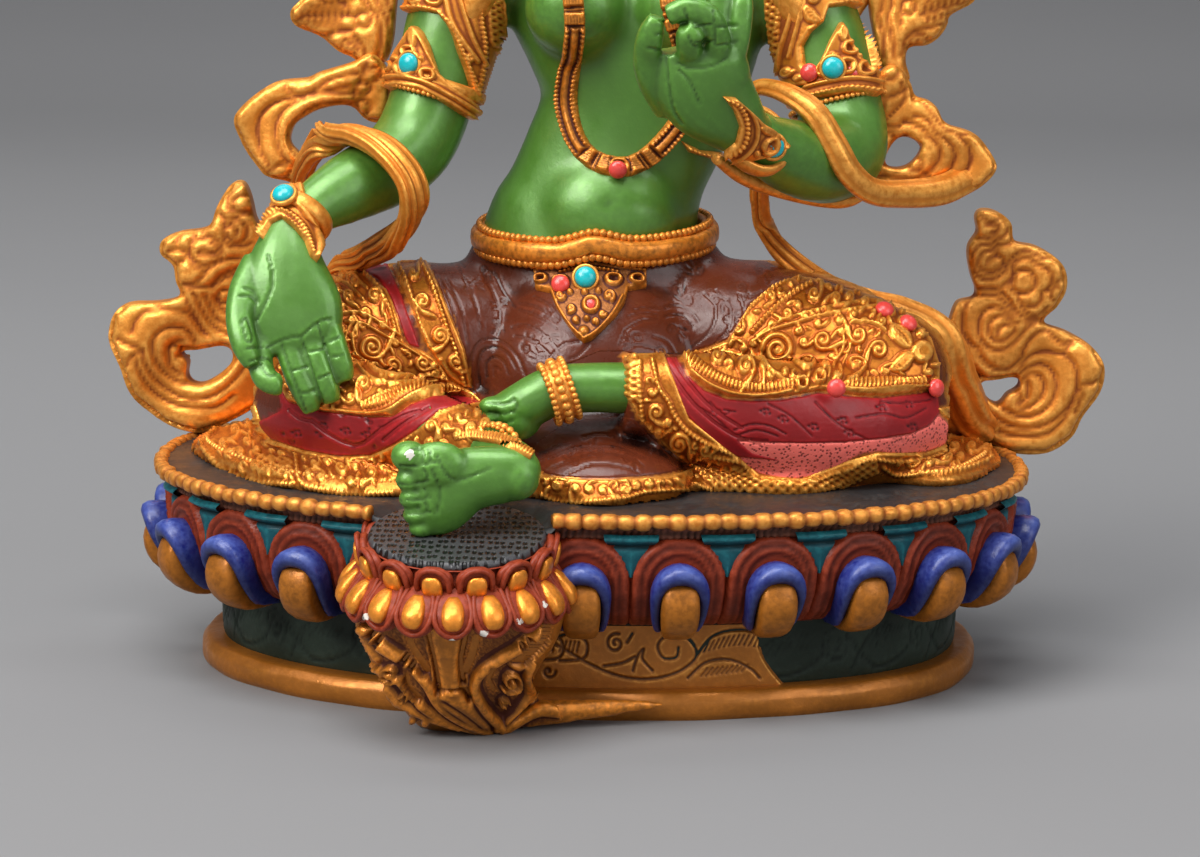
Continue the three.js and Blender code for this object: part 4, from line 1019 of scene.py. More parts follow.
HEAD = [
    (7.5, 1.5, 106.2, 3.2, 4.4), (7.5, 2.4, 108.6, 6.4, 7.8), (7.5, 3.8, 112.4, 8.8, 9.8),
    (7.5, 5, 117, 10.2, 11.2), (7.5, 6, 123, 10.9, 12.2), (7.5, 7, 130, 10.4, 11.8),
    (7.5, 7.6, 135.4, 7.6, 9), (7.5, 7.8, 138, 2, 3)]
HEM = [
    (0, -43), (5, -43.6), (10, -39.6), (15.5, -33), (20, -29.5), (27, -29), (34, -30.4), (41, -28.6),
    (46, -24.5), (50, -20.4), (54, -19), (59, -20.4), (64, -21.4), (70, -16.4), (74, -8), (77, 1),
    (76, 10), (71, 20), (60, 29.5), (48, 35), (36, 38), (24, 39.5), (0, 40.5), (-24, 39.5), (-36, 37.5),
    (-48, 34), (-60, 27), (-68, 19), (-74.5, 9), (-75.5, 1), (-72.6, -7.4), (-69.4, -13), (-65, -19.6),
    (-59, -28), (-52.4, -33.4), (-46, -36.6), (-39, -38.2), (-33.6, -38.4), (-27, -39.6), (-15, -38),
    (-7, -38.8)]


def raised(stations):
    """Stations counted from the seat, moved up onto it."""
    return [(s[0], s[1], s[2] + SEAT, *s[3:]) for s in stations]


def skin_limb(stations, columns, squareness=2):
    return limb(raised(stations), columns, 5 * len(stations), (0, -1, 0), squareness)


def draw_on(mesh, board, scale, where=None):
    """Moves the points that face the eye by a drawing laid in the photograph's frame."""
    points, normals = coordinates(mesh), vertex_normals(mesh)
    lift = board.read(*seen(points)) * smoothstep(0.08, 0.35, facing_eye(points, normals))
    if where is not None:
        lift = lift * where(points)
    set_coordinates(mesh, points + normals * (lift * scale)[:, None])
    # Lines cut in are darkened through ink: wash and painted shade.
    set_values(mesh, "ink", np.maximum(values(mesh, "ink"), np.clip(-lift, 0, 1)))
    return mesh


# Skin
def crease_drawing():
    """Lines of the palms, finger joints, nails and toes, in pixels of the photograph's frame."""
    board = Board((220, 0), (800, 560), 0.5)
    right_hand = [
        [(268, 255), (273, 279), (267, 300), (256, 322)], [(240, 296), (251, 297), (257, 304)],
        [(245, 288), (254, 292), (258, 303)], [(247, 348), (263, 348)], [(249, 362), (263, 357)],
        [(301, 337), (316, 383), (324, 405)], [(318, 324), (335, 377), (340, 385)],
        [(281, 343), (291, 372), (306, 412)], [(267, 348), (283, 340), (301, 336)],
        [(303, 335), (319, 322), (331, 319)], [(292, 371), (307, 367)], [(300, 394), (315, 391)],
        [(310, 352), (324, 349)], [(318, 379), (330, 374)], [(329, 342), (340, 337)],
        [(333, 357), (344, 355)], [(242, 322), (247, 319), (253, 338), (247, 341), (242, 322)],
        [(259, 361), (269, 359), (277, 372), (268, 375), (259, 361)]]
    left_hand = [
        [(666, 57), (669, 84), (673, 108), (682, 124)], [(676, 62), (690, 68), (712, 66), (727, 58)],
        [(679, 70), (690, 82), (700, 104)], [(716, 46), (737, 42)], [(718, 27), (738, 25)],
        [(695, 43), (713, 41)], [(696, 27), (711, 24)], [(684, 9), (688, 20)], [(657, 34), (671, 33)],
        [(660, 20), (672, 24)], [(648, 48), (661, 50)], [(688, 36), (694, 46), (705, 44)],
        [(714, 10), (715, 44)]]
    right_foot = [
        [(437, 456), (444, 470), (455, 480), (472, 476), (489, 469)], [(400, 466), (414, 466), (436, 462)],
        [(398, 484), (412, 484), (428, 481)], [(400, 500), (414, 500), (430, 498)],
        [(403, 514), (416, 514), (430, 512)], [(412, 449), (420, 449), (424, 456), (421, 463)],
        [(428, 449), (431, 456), (429, 462)], [(424, 470), (427, 476), (425, 482)],
        [(424, 489), (427, 494), (425, 499)], [(425, 503), (427, 508), (425, 513)],
        [(432, 470), (440, 492), (436, 514)]]
    left_foot = [[(487, 402), (503, 404), (515, 400)], [(489, 412), (502, 414), (514, 411)],
                 [(491, 421), (504, 423), (514, 420)], [(512, 398), (517, 405), (514, 412)]]
    for line in right_hand + left_hand + right_foot + left_foot:
        board.stroke(line, 2.3, -1)
    board.soften(1)
    return board


def skin_piece(name, forms, grain, creases):
    skin = draw_on(cast(forms, grain, 2), creases, 0.42)
    return piece(name, [skin], finishes()["green_skin_paint"], "green_skin_paint")


def skin_body():
    chest = [ball((x, -2.6, SEAT + 85), (9.6, 8.8, 9.2)) for x in (-3.8, 16.4)]
    belly = ball((2.4, 1.6, SEAT + 46), (14, 10.6, 13))
    forms = [skin_limb(TORSO, 40), skin_limb(RIGHT_ARM, 24), skin_limb(LEFT_ARM, 24), belly, *chest]
    board = Board((480, 0), (780, 240), 0.5)
    board.stroke([(560, 22), (572, 30), (590, 31), (606, 22)], 4, -0.5)
    board.stroke([(628, 8), (636, 22), (650, 28)], 4, -0.5)
    board.dab((609, 203), 3.2, -0.9)
    body = cast(forms, 1.15, 6)
    draw_on(body, board, 0.5, lambda p: (p[:, 1] < 2) * 1.0)
    piece("skin_body", [body], finishes()["green_skin_paint"], "green_skin_paint", ["tara_figure"])


def hands_and_feet():
    board = crease_drawing()
    finger = lambda stations: skin_limb([(*s, s[3] * 0.94) for s in stations], 16, 2.5)
    skin_piece("right_hand", [skin_limb(RIGHT_PALM, 24, 2.3), *map(finger, RIGHT_FINGERS)], 0.38, board)
    skin_piece("left_hand", [skin_limb(LEFT_PALM, 24, 2.3), *map(finger, LEFT_FINGERS)], 0.38, board)
    toes = [((-29.6, -57.9, 11.2), (3.2, 2.9, 2.7)), ((-29.4, -58, 7.1), (2.6, 2.4, 2.1)),
            ((-28.9, -58, 3.9), (2.5, 2.3, 1.95)), ((-28.3, -58, 1.0), (2.4, 2.2, 1.8)),
            ((-27.5, -57.8, -1.4), (2.2, 2.1, 1.5))]
    sole = [ball((x, y, z + SEAT), r) for (x, y, z), r in toes]
    ball_of_foot = ball((-24.6, -58.6, SEAT + 9.6), (5.4, 2.6, 4.4))
    heel = ball((-11.6, -56.4, SEAT + 7.6), (4.4, 3.6, 4.2))
    foot = skin_piece("right_foot", [skin_limb(RIGHT_FOOT, 24, 2.2), ball_of_foot, heel, *sole,
                      skin_limb(RIGHT_SHIN[3:], 20)], 0.42, board)
    chipped = coordinates(foot.data) / MM
    px, py = seen(chipped)
    set_values(foot.data, "chip", 1.2 * (np.hypot(px - 410, py - 454) < 5) * (chipped[:, 1] < -57))
    small = [((-16.8, -31.9, 15.6), (2.6, 2.2, 1.7)), ((-17, -31.8, 13.3), (2.2, 2.0, 1.5)),
             ((-16.6, -31.6, 11.4), (2.1, 2.0, 1.4)), ((-15.8, -31.2, 9.8), (2.0, 1.9, 1.3))]
    far_toes = [ball((x, y, z + SEAT), r) for (x, y, z), r in small]
    skin_piece("left_foot", [skin_limb(LEFT_ANKLE, 22), ball((-12.4, -31, SEAT + 13.4), (4.4, 4, 4.2)),
               *far_toes], 0.42, board)


# Work laid over a form, placed through the photograph's own frame
def tree_of(*names):
    """Finished pieces, in millimetres, for lines of sight to meet."""
    points, faces = [], []
    for name in names:
        mesh = bpy.data.objects[name].data
        start = len(points)
        points += [tuple(p) for p in coordinates(mesh) / MM]
        faces += [tuple(start + v for v in face.vertices) for face in mesh.polygons]
    return BVHTree.FromPolygons(points, faces)


def met(tree, px, py):
    """Where lines of sight meet a form: points, normals, and whether they do."""
    points, normals = np.zeros((len(px), 3)), np.zeros((len(px), 3))
    found = np.zeros(len(px), bool)
    for k in range(len(px)):
        spot, normal, _, _ = tree.ray_cast(EYE, sight(px[k], py[k]))
        if spot is not None:
            points[k], normals[k], found[k] = spot, normal, True
    return points, normals, found


def softened(field, passes):
    for _ in range(passes):
        p = np.pad(field, ((1, 1), (1, 1), (0, 0)), mode="edge")
        field = (p[1:-1, 1:-1] + p[:-2, 1:-1] + p[2:, 1:-1] + p[1:-1, :-2] + p[1:-1, 2:]) / 5
    return field


def patch(tree, outline, board, rise, scale, step, edge, sink=0.35, jump=1.6, share="", ground=0.0):
    """A sheet laid on a form inside an outline in pixels, its edge rounded down, raised by a drawing."""
    line = np.array(outline, float)
    low, high = line.min(0) - step, line.max(0) + step
    columns, rows = ((high - low) / step).astype(int) + 1
    mesh, flat = sheet(int(columns), int(rows))
    (across, i), (down, j) = (np.unique(t.round(5), return_inverse=True) for t in flat.T)
    px, py = (low + (flat + 1) / 2 * (high - low)).T
    inside = inside_distance(line, px, py)
    slope = [(inside_distance(line, px + 0.2 * a, py + 0.2 * b) - inside) / 0.2
             for a, b in ((1, 0), (0, 1))]
    wanted = inside > -1.2 * step
    near = wanted & (inside < 0)
    px, py = px - near * inside * slope[0], py - near * inside * slope[1]
    points, normals = np.zeros((len(px), 3)), np.zeros((len(px), 3))
    found = np.zeros(len(px), bool)
    points[wanted], normals[wanted], found[wanted] = met(tree, px[wanted], py[wanted])
    field = np.zeros((len(down), len(across), 3))
    field[j, i] = normals
    smooth = unit(softened(field, 6)[j, i] + 1e-6)
    drawn = board.read(px, py)
    height = (rise + sink) * rounded_down(inside, edge) - sink
    height = height + scale * drawn * smoothstep(0, edge, inside)
    # The ground between the raised work is pitted: the pits are sunk and darkened, and so are the cut lines,
    # partly real wash and partly painted shade.
    speckle = np.random.default_rng(5).uniform(0.35, 1, len(px))
    speckle = speckle * smoothstep(0.3, 0.04, drawn) * (drawn > -0.05)
    speckle = ground * speckle * smoothstep(edge * 0.7, edge * 1.5, inside)
    height = height - 0.16 * speckle
    set_coordinates(mesh, points + smooth * height[:, None])
    set_values(mesh, "ink", np.clip(-drawn, 0, 1) + speckle)
    if share:
        set_values(mesh, share, np.ones(len(px)))
    corners = np.empty(len(mesh.polygons) * 4, np.int32)
    mesh.polygons.foreach_get("vertices", corners)
    corners = corners.reshape(-1, 4)
    spread = np.ptp(points[corners][:, :, 1], axis=1)
    usable = found[corners].all(1) & wanted[corners].all(1) & (spread < jump * step)
    bm = loaded(mesh)
    bm.faces.ensure_lookup_table()
    bmesh.ops.delete(bm, geom=[bm.faces[k] for k in np.nonzero(~usable)[0]], context="FACES")
    bmesh.ops.recalc_face_normals(bm, faces=bm.faces)
    bm.normal_update()
    facing_away = [f for f in bm.faces if f.normal.dot(EYE - f.calc_center_median()) < 0]
    if len(facing_away) > len(bm.faces) / 2:
        bmesh.ops.reverse_faces(bm, faces=bm.faces)
    return unloaded(bm, mesh)


def draw(board, marks):
    """Draws a list of marks, each its kind and its numbers, in pixels."""
    for kind, *rest in marks:
        if kind == "row":
            line, radius, pitch = rest
            for point in evenly(line, pitch):
                board.dab(point, radius, 1.0)
        elif kind == "bars":
            line, half, pitch, width = rest
            spots = evenly(line, pitch)
            side = unit(np.gradient(spots, axis=0))[:, ::-1] * (1, -1) * half
            for spot, reach in zip(spots, side):
                board.stroke([spot - reach, spot + reach], width, 0.9)
        elif kind == "rib":
            line, width, height = rest
            board.stroke(line, width, height)
        elif kind == "cut":
            line, width = rest
            board.stroke(line, width, -0.9)
        elif kind == "coils":
            for x, y, radius, turns, hand, start in rest[0]:
                board.spiral((x, y), radius, turns, hand, start)
        elif kind == "rings":
            for x, y, radius in rest[0]:
                circle = [(x + 0.72 * radius * math.cos(a), y + 0.72 * radius * math.sin(a))
                          for a in np.linspace(0, math.tau, 13)[:-1]]
                board.stroke(circle, radius * 0.62, 1.1, closed=True)
                board.dab((x, y), radius * 0.34, -0.8)
        elif kind == "knobs":
            for x, y, radius in rest[0]:
                board.dab((x, y), radius, 1.0, 0.2)
        elif kind == "leaf":
            line, half, veins = rest
            board.leaf(line, half, 1.0, veins)
        elif kind == "net":
            outline, pitch = rest
            within = board.inside(outline) > 0
            net = 0.35 + 0.7 * hatched(board.x, board.y, 2.1 * pitch)
            board.height = np.where(within, np.maximum(board.height, net), board.height)
        elif kind == "folds":
            outline, pitch, count, height = rest
            away = board.inside(outline)
            wave = 0.5 - 0.5 * np.cos(math.tau * np.clip(away / pitch, 0, count))
            board.height = np.where(away > 0, np.maximum(board.height, height * wave), board.height)


def marked(low, high, marks):
    board = Board(low, high, 0.5)
    draw(board, marks)
    board.soften(1)
    return board


# Cloth over the legs: where each colour lies and what is carved in it, in pixels of the photograph
BROCADE_LEFT = [
    (681, 356), (707, 348), (728, 340), (750, 306), (771, 289), (795, 278), (811, 280), (830, 287),
    (881, 300), (908, 317), (930, 340), (938, 366), (937, 388), (922, 391), (903, 394), (881, 396),
    (860, 396), (844, 394), (830, 392), (818, 391), (803, 394), (779, 398), (750, 399), (728, 397),
    (707, 389), (689, 374)]
BROCADE_RIGHT = [
    (240, 250), (290, 258), (321, 267), (347, 268), (362, 271), (373, 280), (387, 291), (393, 303),
    (398, 319), (404, 341), (412, 347), (424, 351), (440, 363), (450, 380), (468, 388), (482, 402),
    (473, 398), (457, 395), (433, 396), (411, 404), (393, 416), (370, 417), (347, 414), (323, 411),
    (289, 402), (276, 380), (240, 340)]
RED_STRIP = [(341, 258), (387, 262), (393, 276), (402, 296), (411, 322), (420, 348), (409, 345),
             (405, 337), (399, 319), (390, 296), (378, 279), (362, 270), (345, 264)]
RED_RIGHT = [
    (276, 380), (289, 402), (323, 411), (347, 414), (370, 417), (393, 416), (411, 404), (433, 396),
    (457, 395), (473, 398), (486, 406), (462, 405), (439, 411), (418, 429), (393, 445), (370, 455),
    (338, 456), (304, 450), (271, 439), (255, 423), (282, 410)]
RED_LEFT = [
    (659, 358), (676, 357), (686, 374), (704, 390), (727, 399), (750, 401), (779, 400), (803, 396),
    (818, 393), (844, 396), (881, 398), (922, 393), (937, 390), (940, 412), (930, 425), (911, 434),
    (885, 438), (844, 442), (803, 443), (762, 442), (738, 440), (752, 452), (790, 462), (738, 457),
    (713, 441), (689, 418), (672, 396), (662, 375)]
PINK = [
    (735, 441), (762, 442), (803, 443), (844, 442), (885, 438), (911, 434), (930, 425), (938, 415),
    (951, 426), (952, 436), (943, 446), (926, 452), (901, 454), (877, 452), (860, 454), (846, 462),
    (836, 468), (824, 474), (807, 478), (783, 479), (760, 474), (748, 467), (738, 456)]
LOWER_GOLD = [
    (622, 355), (664, 352), (690, 418), (738, 456), (760, 474), (800, 478), (846, 461), (877, 452),
    (926, 452), (945, 444), (951, 424), (935, 408), (985, 400), (1030, 440), (1030, 520), (180, 520),
    (180, 420), (255, 404), (262, 425), (271, 439), (304, 450), (338, 456), (370, 455), (393, 445),
    (418, 429), (439, 411), (462, 405), (492, 400), (512, 412), (512, 440), (528, 458), (545, 476),
    (600, 480), (668, 476), (692, 468), (672, 452), (640, 420), (626, 396)]
BAND_RIGHT = [
    (391, 268), (401, 262), (427, 262), (439, 287), (448, 310), (457, 331), (464, 349), (468, 368),
    (473, 389), (462, 386), (448, 376), (438, 362), (427, 347), (420, 332), (412, 310), (404, 292),
    (394, 274)]
SKIRT = [
    (426, 256), (450, 238), (474, 232), (500, 246), (592, 256), (690, 244), (714, 232), (740, 250),
    (770, 262), (795, 278), (771, 289), (750, 306), (728, 340), (707, 348), (681, 356), (662, 360),
    (640, 356), (622, 352), (600, 352), (566, 366), (545, 392), (512, 400), (490, 404), (480, 400),
    (473, 389), (468, 368), (464, 349), (457, 331), (448, 310), (439, 287)]
SKIRT_MOUND = [
    (536, 442), (556, 428), (580, 420), (620, 415), (634, 418), (650, 436), (672, 456), (690, 468),
    (666, 474), (640, 477), (600, 479), (560, 477), (545, 474), (530, 458)]
SCROLL_HEIGHT = 0.8  # of the small scrolls that fill the cloth


def scroll_fill(board, outline, taken, smallest, largest, seed):
    """Fills what is left of an outline with coils and small leaves."""
    rng = np.random.default_rng(seed)
    line = np.array(outline)
    low, high = line.min(0), line.max(0)
    for size in np.linspace(largest, smallest, 9):
        for x, y in rng.uniform(low, high, (320, 2)):
            if inside_distance(outline, np.array([x]), np.array([y]))[0] < size * 0.9:
                continue
            if any(math.hypot(x - a, y - b) < size + r + 0.4 for a, b, r in taken):
                continue
            taken.append((x, y, size))
            turn, hand = rng.uniform(0, 6.28), rng.choice([-1, 1])
            ways = [turn + hand * a for a in (0, 0.8, 1.6, 2.4, 3.2, 4.0)]
            if size > 4.4:
                board.spiral((x, y), size, 1.3, hand, turn, 3.0, SCROLL_HEIGHT, 0.9)
            elif rng.random() < 0.55:
                dx, dy = size * math.cos(turn), size * math.sin(turn)
                board.leaf([(x - dx, y - dy), (x + 0.3 * dy, y - 0.3 * dx), (x + dx, y + dy)],
                           size * 0.5, SCROLL_HEIGHT)
            else:
                reach = [size * r for r in (1.15, 0.95, 0.8, 0.7, 0.6, 0.45)]
                board.stroke([(x + r * math.cos(w), y + r * math.sin(w)) for r, w in zip(reach, ways)],
                             2.9, SCROLL_HEIGHT)


HEM_MARKS = [
    ("rings", [(800, 386, 6.4), (817.6, 380.6, 6.4)]),
    ("rib", [(672, 358), (683, 367), (693, 375.5), (707, 385), (728, 393), (750, 396.5), (771, 395.5),
             (790, 392)], 3.8, 1),
    ("bars", [(676, 353), (688, 361), (703, 371.5), (716, 379), (735, 386), (755, 389), (775, 388),
              (790, 386)], 2.9, 4, 2.9),
    ("bars", [(846, 385), (864.5, 386.3), (885, 385), (905, 382.6), (921, 380.4)], 3.2, 4.2, 3),
    ("rib", [(842, 391), (864, 392.5), (885, 391.5), (908, 389), (926, 386)], 3, 0.9),
    ("row", [(728, 337.6), (742, 319.2), (754.3, 305), (770.6, 292.7), (787, 282.4)], 2.4, 4.4),
    ("row", [(753.3, 332.4), (764.5, 320), (778.8, 307), (793, 295.7), (809.4, 287.6)], 2.4, 4.4),
    ("row", [(652, 362), (658.4, 386.5), (668.6, 401), (674.7, 415), (687, 429.4), (707, 441.6), (735, 453)],
     2.5, 4.6),
    ("row", [(640, 364), (641, 403), (646, 433.5), (656, 454), (668.6, 461), (689, 461), (707, 454),
             (738, 459)], 2.5, 4.6),
    ("row", [(883, 466), (897, 473.3), (925.7, 474.3), (960, 471), (985, 462)], 2.5, 4.6),
    ("rib", [(378, 282), (387, 291), (393, 303.5), (397.7, 319), (402.3, 337)], 4, 0.9),
    ("row", [(365.5, 277.5), (374.7, 286.6), (382.4, 297.3), (388.5, 309.6), (392.3, 322), (395, 333)],
     2.4, 4.4),
    ("row", [(399, 270), (405, 282), (410, 297), (414.5, 313), (419, 328), (425, 343), (430, 355.5)],
     2.5, 4.6),
    ("row", [(419, 262), (431, 287), (439, 309.6), (446.6, 331), (454, 349), (459, 368), (463.5, 384.6)],
     2.5, 4.6),
    ("bars", [(365.5, 406), (387, 401.4), (404, 392.3), (420.6, 387.7), (439, 386), (462, 387.7)], 3, 4, 2.9),
    ("rib", [(340, 411), (373, 414), (393, 411), (416, 398.4), (436, 392.6), (457.4, 392.6), (469.6, 397)],
     3.4, 1),
    ("row", [(402.3, 444.3), (417.6, 429), (437.5, 413.7), (462, 406)], 2.4, 4.5),
    ("row", [(202, 444), (224, 424), (250, 410)], 2.4, 4.5),
             ("row", [(204, 450), (224, 467), (258, 480), (293, 484)], 2.4, 4.5),
    ("row", [(297, 455), (301, 482), (330, 490), (362, 493), (393, 492)], 2.4, 4.5),
    ("net", [(690, 467), (740, 464), (760, 478), (800, 482), (846, 465), (875, 458), (878, 470), (842, 486),
             (780, 494), (716, 488)], 5),
    ("net", [(622, 350), (637, 352), (640, 402), (626, 400)], 5),
             ("net", [(256, 456), (294, 462), (294, 480), (260, 476)], 5)]


def brocade_drawing():
    """The raised scrolls on the gilt cloth."""
    board = Board((180, 230), (1030, 520), 0.5)
    left = [(779, 350, 19, 1.9, 1, 3.2), (744, 371, 11, 1.5, -1, 0.6), (807, 364, 11, 1.5, -1, 2.4),
            (823, 342, 11, 1.5, 1, 1.2), (857, 338, 10, 1.4, -1, 2.8), (877, 352, 10.5, 1.5, 1, 3.4),
            (855, 367, 12, 1.6, -1, 1.0), (716, 362, 7.5, 1.2, 1, 0.2), (813, 299, 8, 1.4, 1, 0),
            (787, 317, 7, 1.3, -1, 2), (834, 304, 6.5, 1.3, 1, 4), (862, 307, 6, 1.2, -1, 1),
            (740, 331, 5.4, 1.1, 1, 0), (771, 300, 6, 1.2, -1, 1), (657, 411, 9.5, 1.4, 1, 2),
            (680, 441, 12, 1.7, -1, 0), (706, 447, 7, 1.2, 1, 1), (911, 462, 8, 1.4, 1, 0),
            (944, 460, 8, 1.4, -1, 2), (971, 450, 7.5, 1.3, 1, 1)]
    right = [(372, 348, 15, 1.9, 1, 0.5), (392, 365, 11.5, 1.6, -1, 2.8), (422, 362, 9, 1.4, 1, 1),
             (375, 300, 9, 1.5, -1, 0), (366, 388, 8.5, 1.3, 1, 3), (422, 305, 9.5, 1.6, 1, 2),
             (439, 337, 10.5, 1.8, -1, 1), (413, 279, 6.5, 1.2, 1, 0), (454, 360, 7.5, 1.3, 1, 2),
             (433, 427, 7.5, 1.3, -1, 0), (342, 470, 8, 1.4, 1, 0), (372, 474, 7, 1.3, -1, 1),
             (401, 459, 7, 1.3, 1, 2), (236, 433, 7, 1.3, -1, 1), (316, 466, 6, 1.2, 1, 0),
             (340, 331, 7, 1.2, -1, 1), (350, 300, 7, 1.2, 1, 2)]
    draw(board, HEM_MARKS)
    taken = [(x, y, 3.2) for kind, line, *_ in HEM_MARKS if kind != "net" and kind != "rings"
             for x, y in evenly(line, 5)]
    taken += [(x, y, r) for x, y, r in HEM_MARKS[0][1]]
    for x, y, radius, turns, hand, start in left + right:
        board.spiral((x, y), radius, turns, hand, start, tail=0.8)
        taken.append((x, y, radius))
    ridges = [
        ([(754, 342), (771, 332), (799, 324), (824, 318), (854, 313), (881, 311)], 3.4),
        ([(757, 337), (775, 326), (800, 317), (826, 311), (855, 306), (880, 306)], 2.2),
        ([(841, 331), (843, 348), (832, 371)], 3.4), ([(848, 330), (850, 346), (842, 368)], 2.4),
        ([(753, 350), (762, 366), (779, 381), (794, 384)], 3.2), ([(722, 350), (738, 353), (756, 362)], 3),
        ([(700, 355), (722, 355), (733, 362)], 2.4), ([(884, 334), (870, 326), (850, 325)], 2.6),
        ([(340, 317), (356, 315), (372, 320), (387, 329), (405, 339), (424, 350), (436, 365)], 3),
        ([(346, 324), (362, 325), (384, 336), (404, 346), (424, 358), (434, 368)], 2.6),
        ([(358, 325), (353, 337), (357, 356), (370, 371), (387, 379), (408, 381), (436, 378)], 3.4),
        ([(351, 327), (346, 340), (351, 360), (365, 377), (384, 386), (412, 387), (440, 382)], 2.6),
        ([(327, 292), (344, 297), (361, 314)], 2.6), ([(327, 302), (342, 306), (356, 320)], 2.4),
        ([(326, 282), (346, 287), (364, 303)], 2.4), ([(330, 274), (350, 279), (368, 292)], 2.2),
        ([(404, 385), (425, 374), (446, 378)], 2.4), ([(371, 402), (390, 394), (408, 389)], 2)]
    for line, width in ridges:
        board.stroke(line, width, 0.9, taper=0.3)
    for (ax, ay), (bx, by), half in (((890, 331), (907, 350), 8), ((891, 371), (907, 354), 8),
                                     ((897, 366), (912, 352), 5)):
        board.leaf([(ax, ay), ((ax + bx) / 2 + 2, (ay + by) / 2), (bx, by)], half, 1.15, veins=3)
        taken.append(((ax + bx) / 2, (ay + by) / 2, 8))
    board.dab((918, 354), 11, 1.1, 0.5)
    for radius in (5, 8.5):
        board.stroke([(918 + radius * math.cos(a), 354 + radius * math.sin(a))
                      for a in np.linspace(0, 5.4, 9)], 1.6, 1.35)
    taken.append((918, 354, 12))
    scroll_fill(board, BROCADE_LEFT, taken, 2.6, 6, 3)
    scroll_fill(board, BROCADE_RIGHT, taken, 2.6, 6.5, 4)
    hem_left = [(636, 372), (650, 372), (690, 425), (735, 462), (700, 466), (660, 462), (640, 430)]
    hem_right = [(200, 430), (255, 412), (290, 452), (340, 460), (395, 452), (437, 416), (480, 406),
                 (500, 430), (440, 452), (400, 488), (300, 488), (222, 468)]
    lobe_right = [(880, 456), (930, 456), (952, 440), (990, 436), (996, 458), (970, 474), (900, 474)]
    lobe_front = [(540, 479), (600, 483), (664, 479), (690, 470), (700, 476), (684, 486), (640, 491),
                  (620, 498),
                  (580, 500), (546, 494)]
    draw(board, [("row", [(543, 494), (560, 499), (590, 501), (622, 498), (646, 491), (684, 488)], 2.4, 4.5),
                 ("row", [(694, 484), (720, 490), (752, 494), (790, 494), (826, 487), (850, 476)], 2.2, 4.3),
                 ("row", [(744, 462), (760, 480), (800, 484), (846, 467)], 1.8, 4),
                 ("row", [(850, 466), (868, 458), (900, 460), (930, 457), (950, 447)], 2.2, 4.3)])
    for k, outline in enumerate((hem_left, hem_right, lobe_right, lobe_front)):
        scroll_fill(board, outline, taken, 2.4, 6, 11 + k)
    board.soften(1)
    return board


def hatched(px, py, pitch):
    """Raised net: two crossing sets of fine lines."""
    return 0.5 * np.maximum(np.cos((px + 1.6 * py) * math.tau / pitch),
                            np.cos((px - 1.6 * py) * math.tau / pitch))


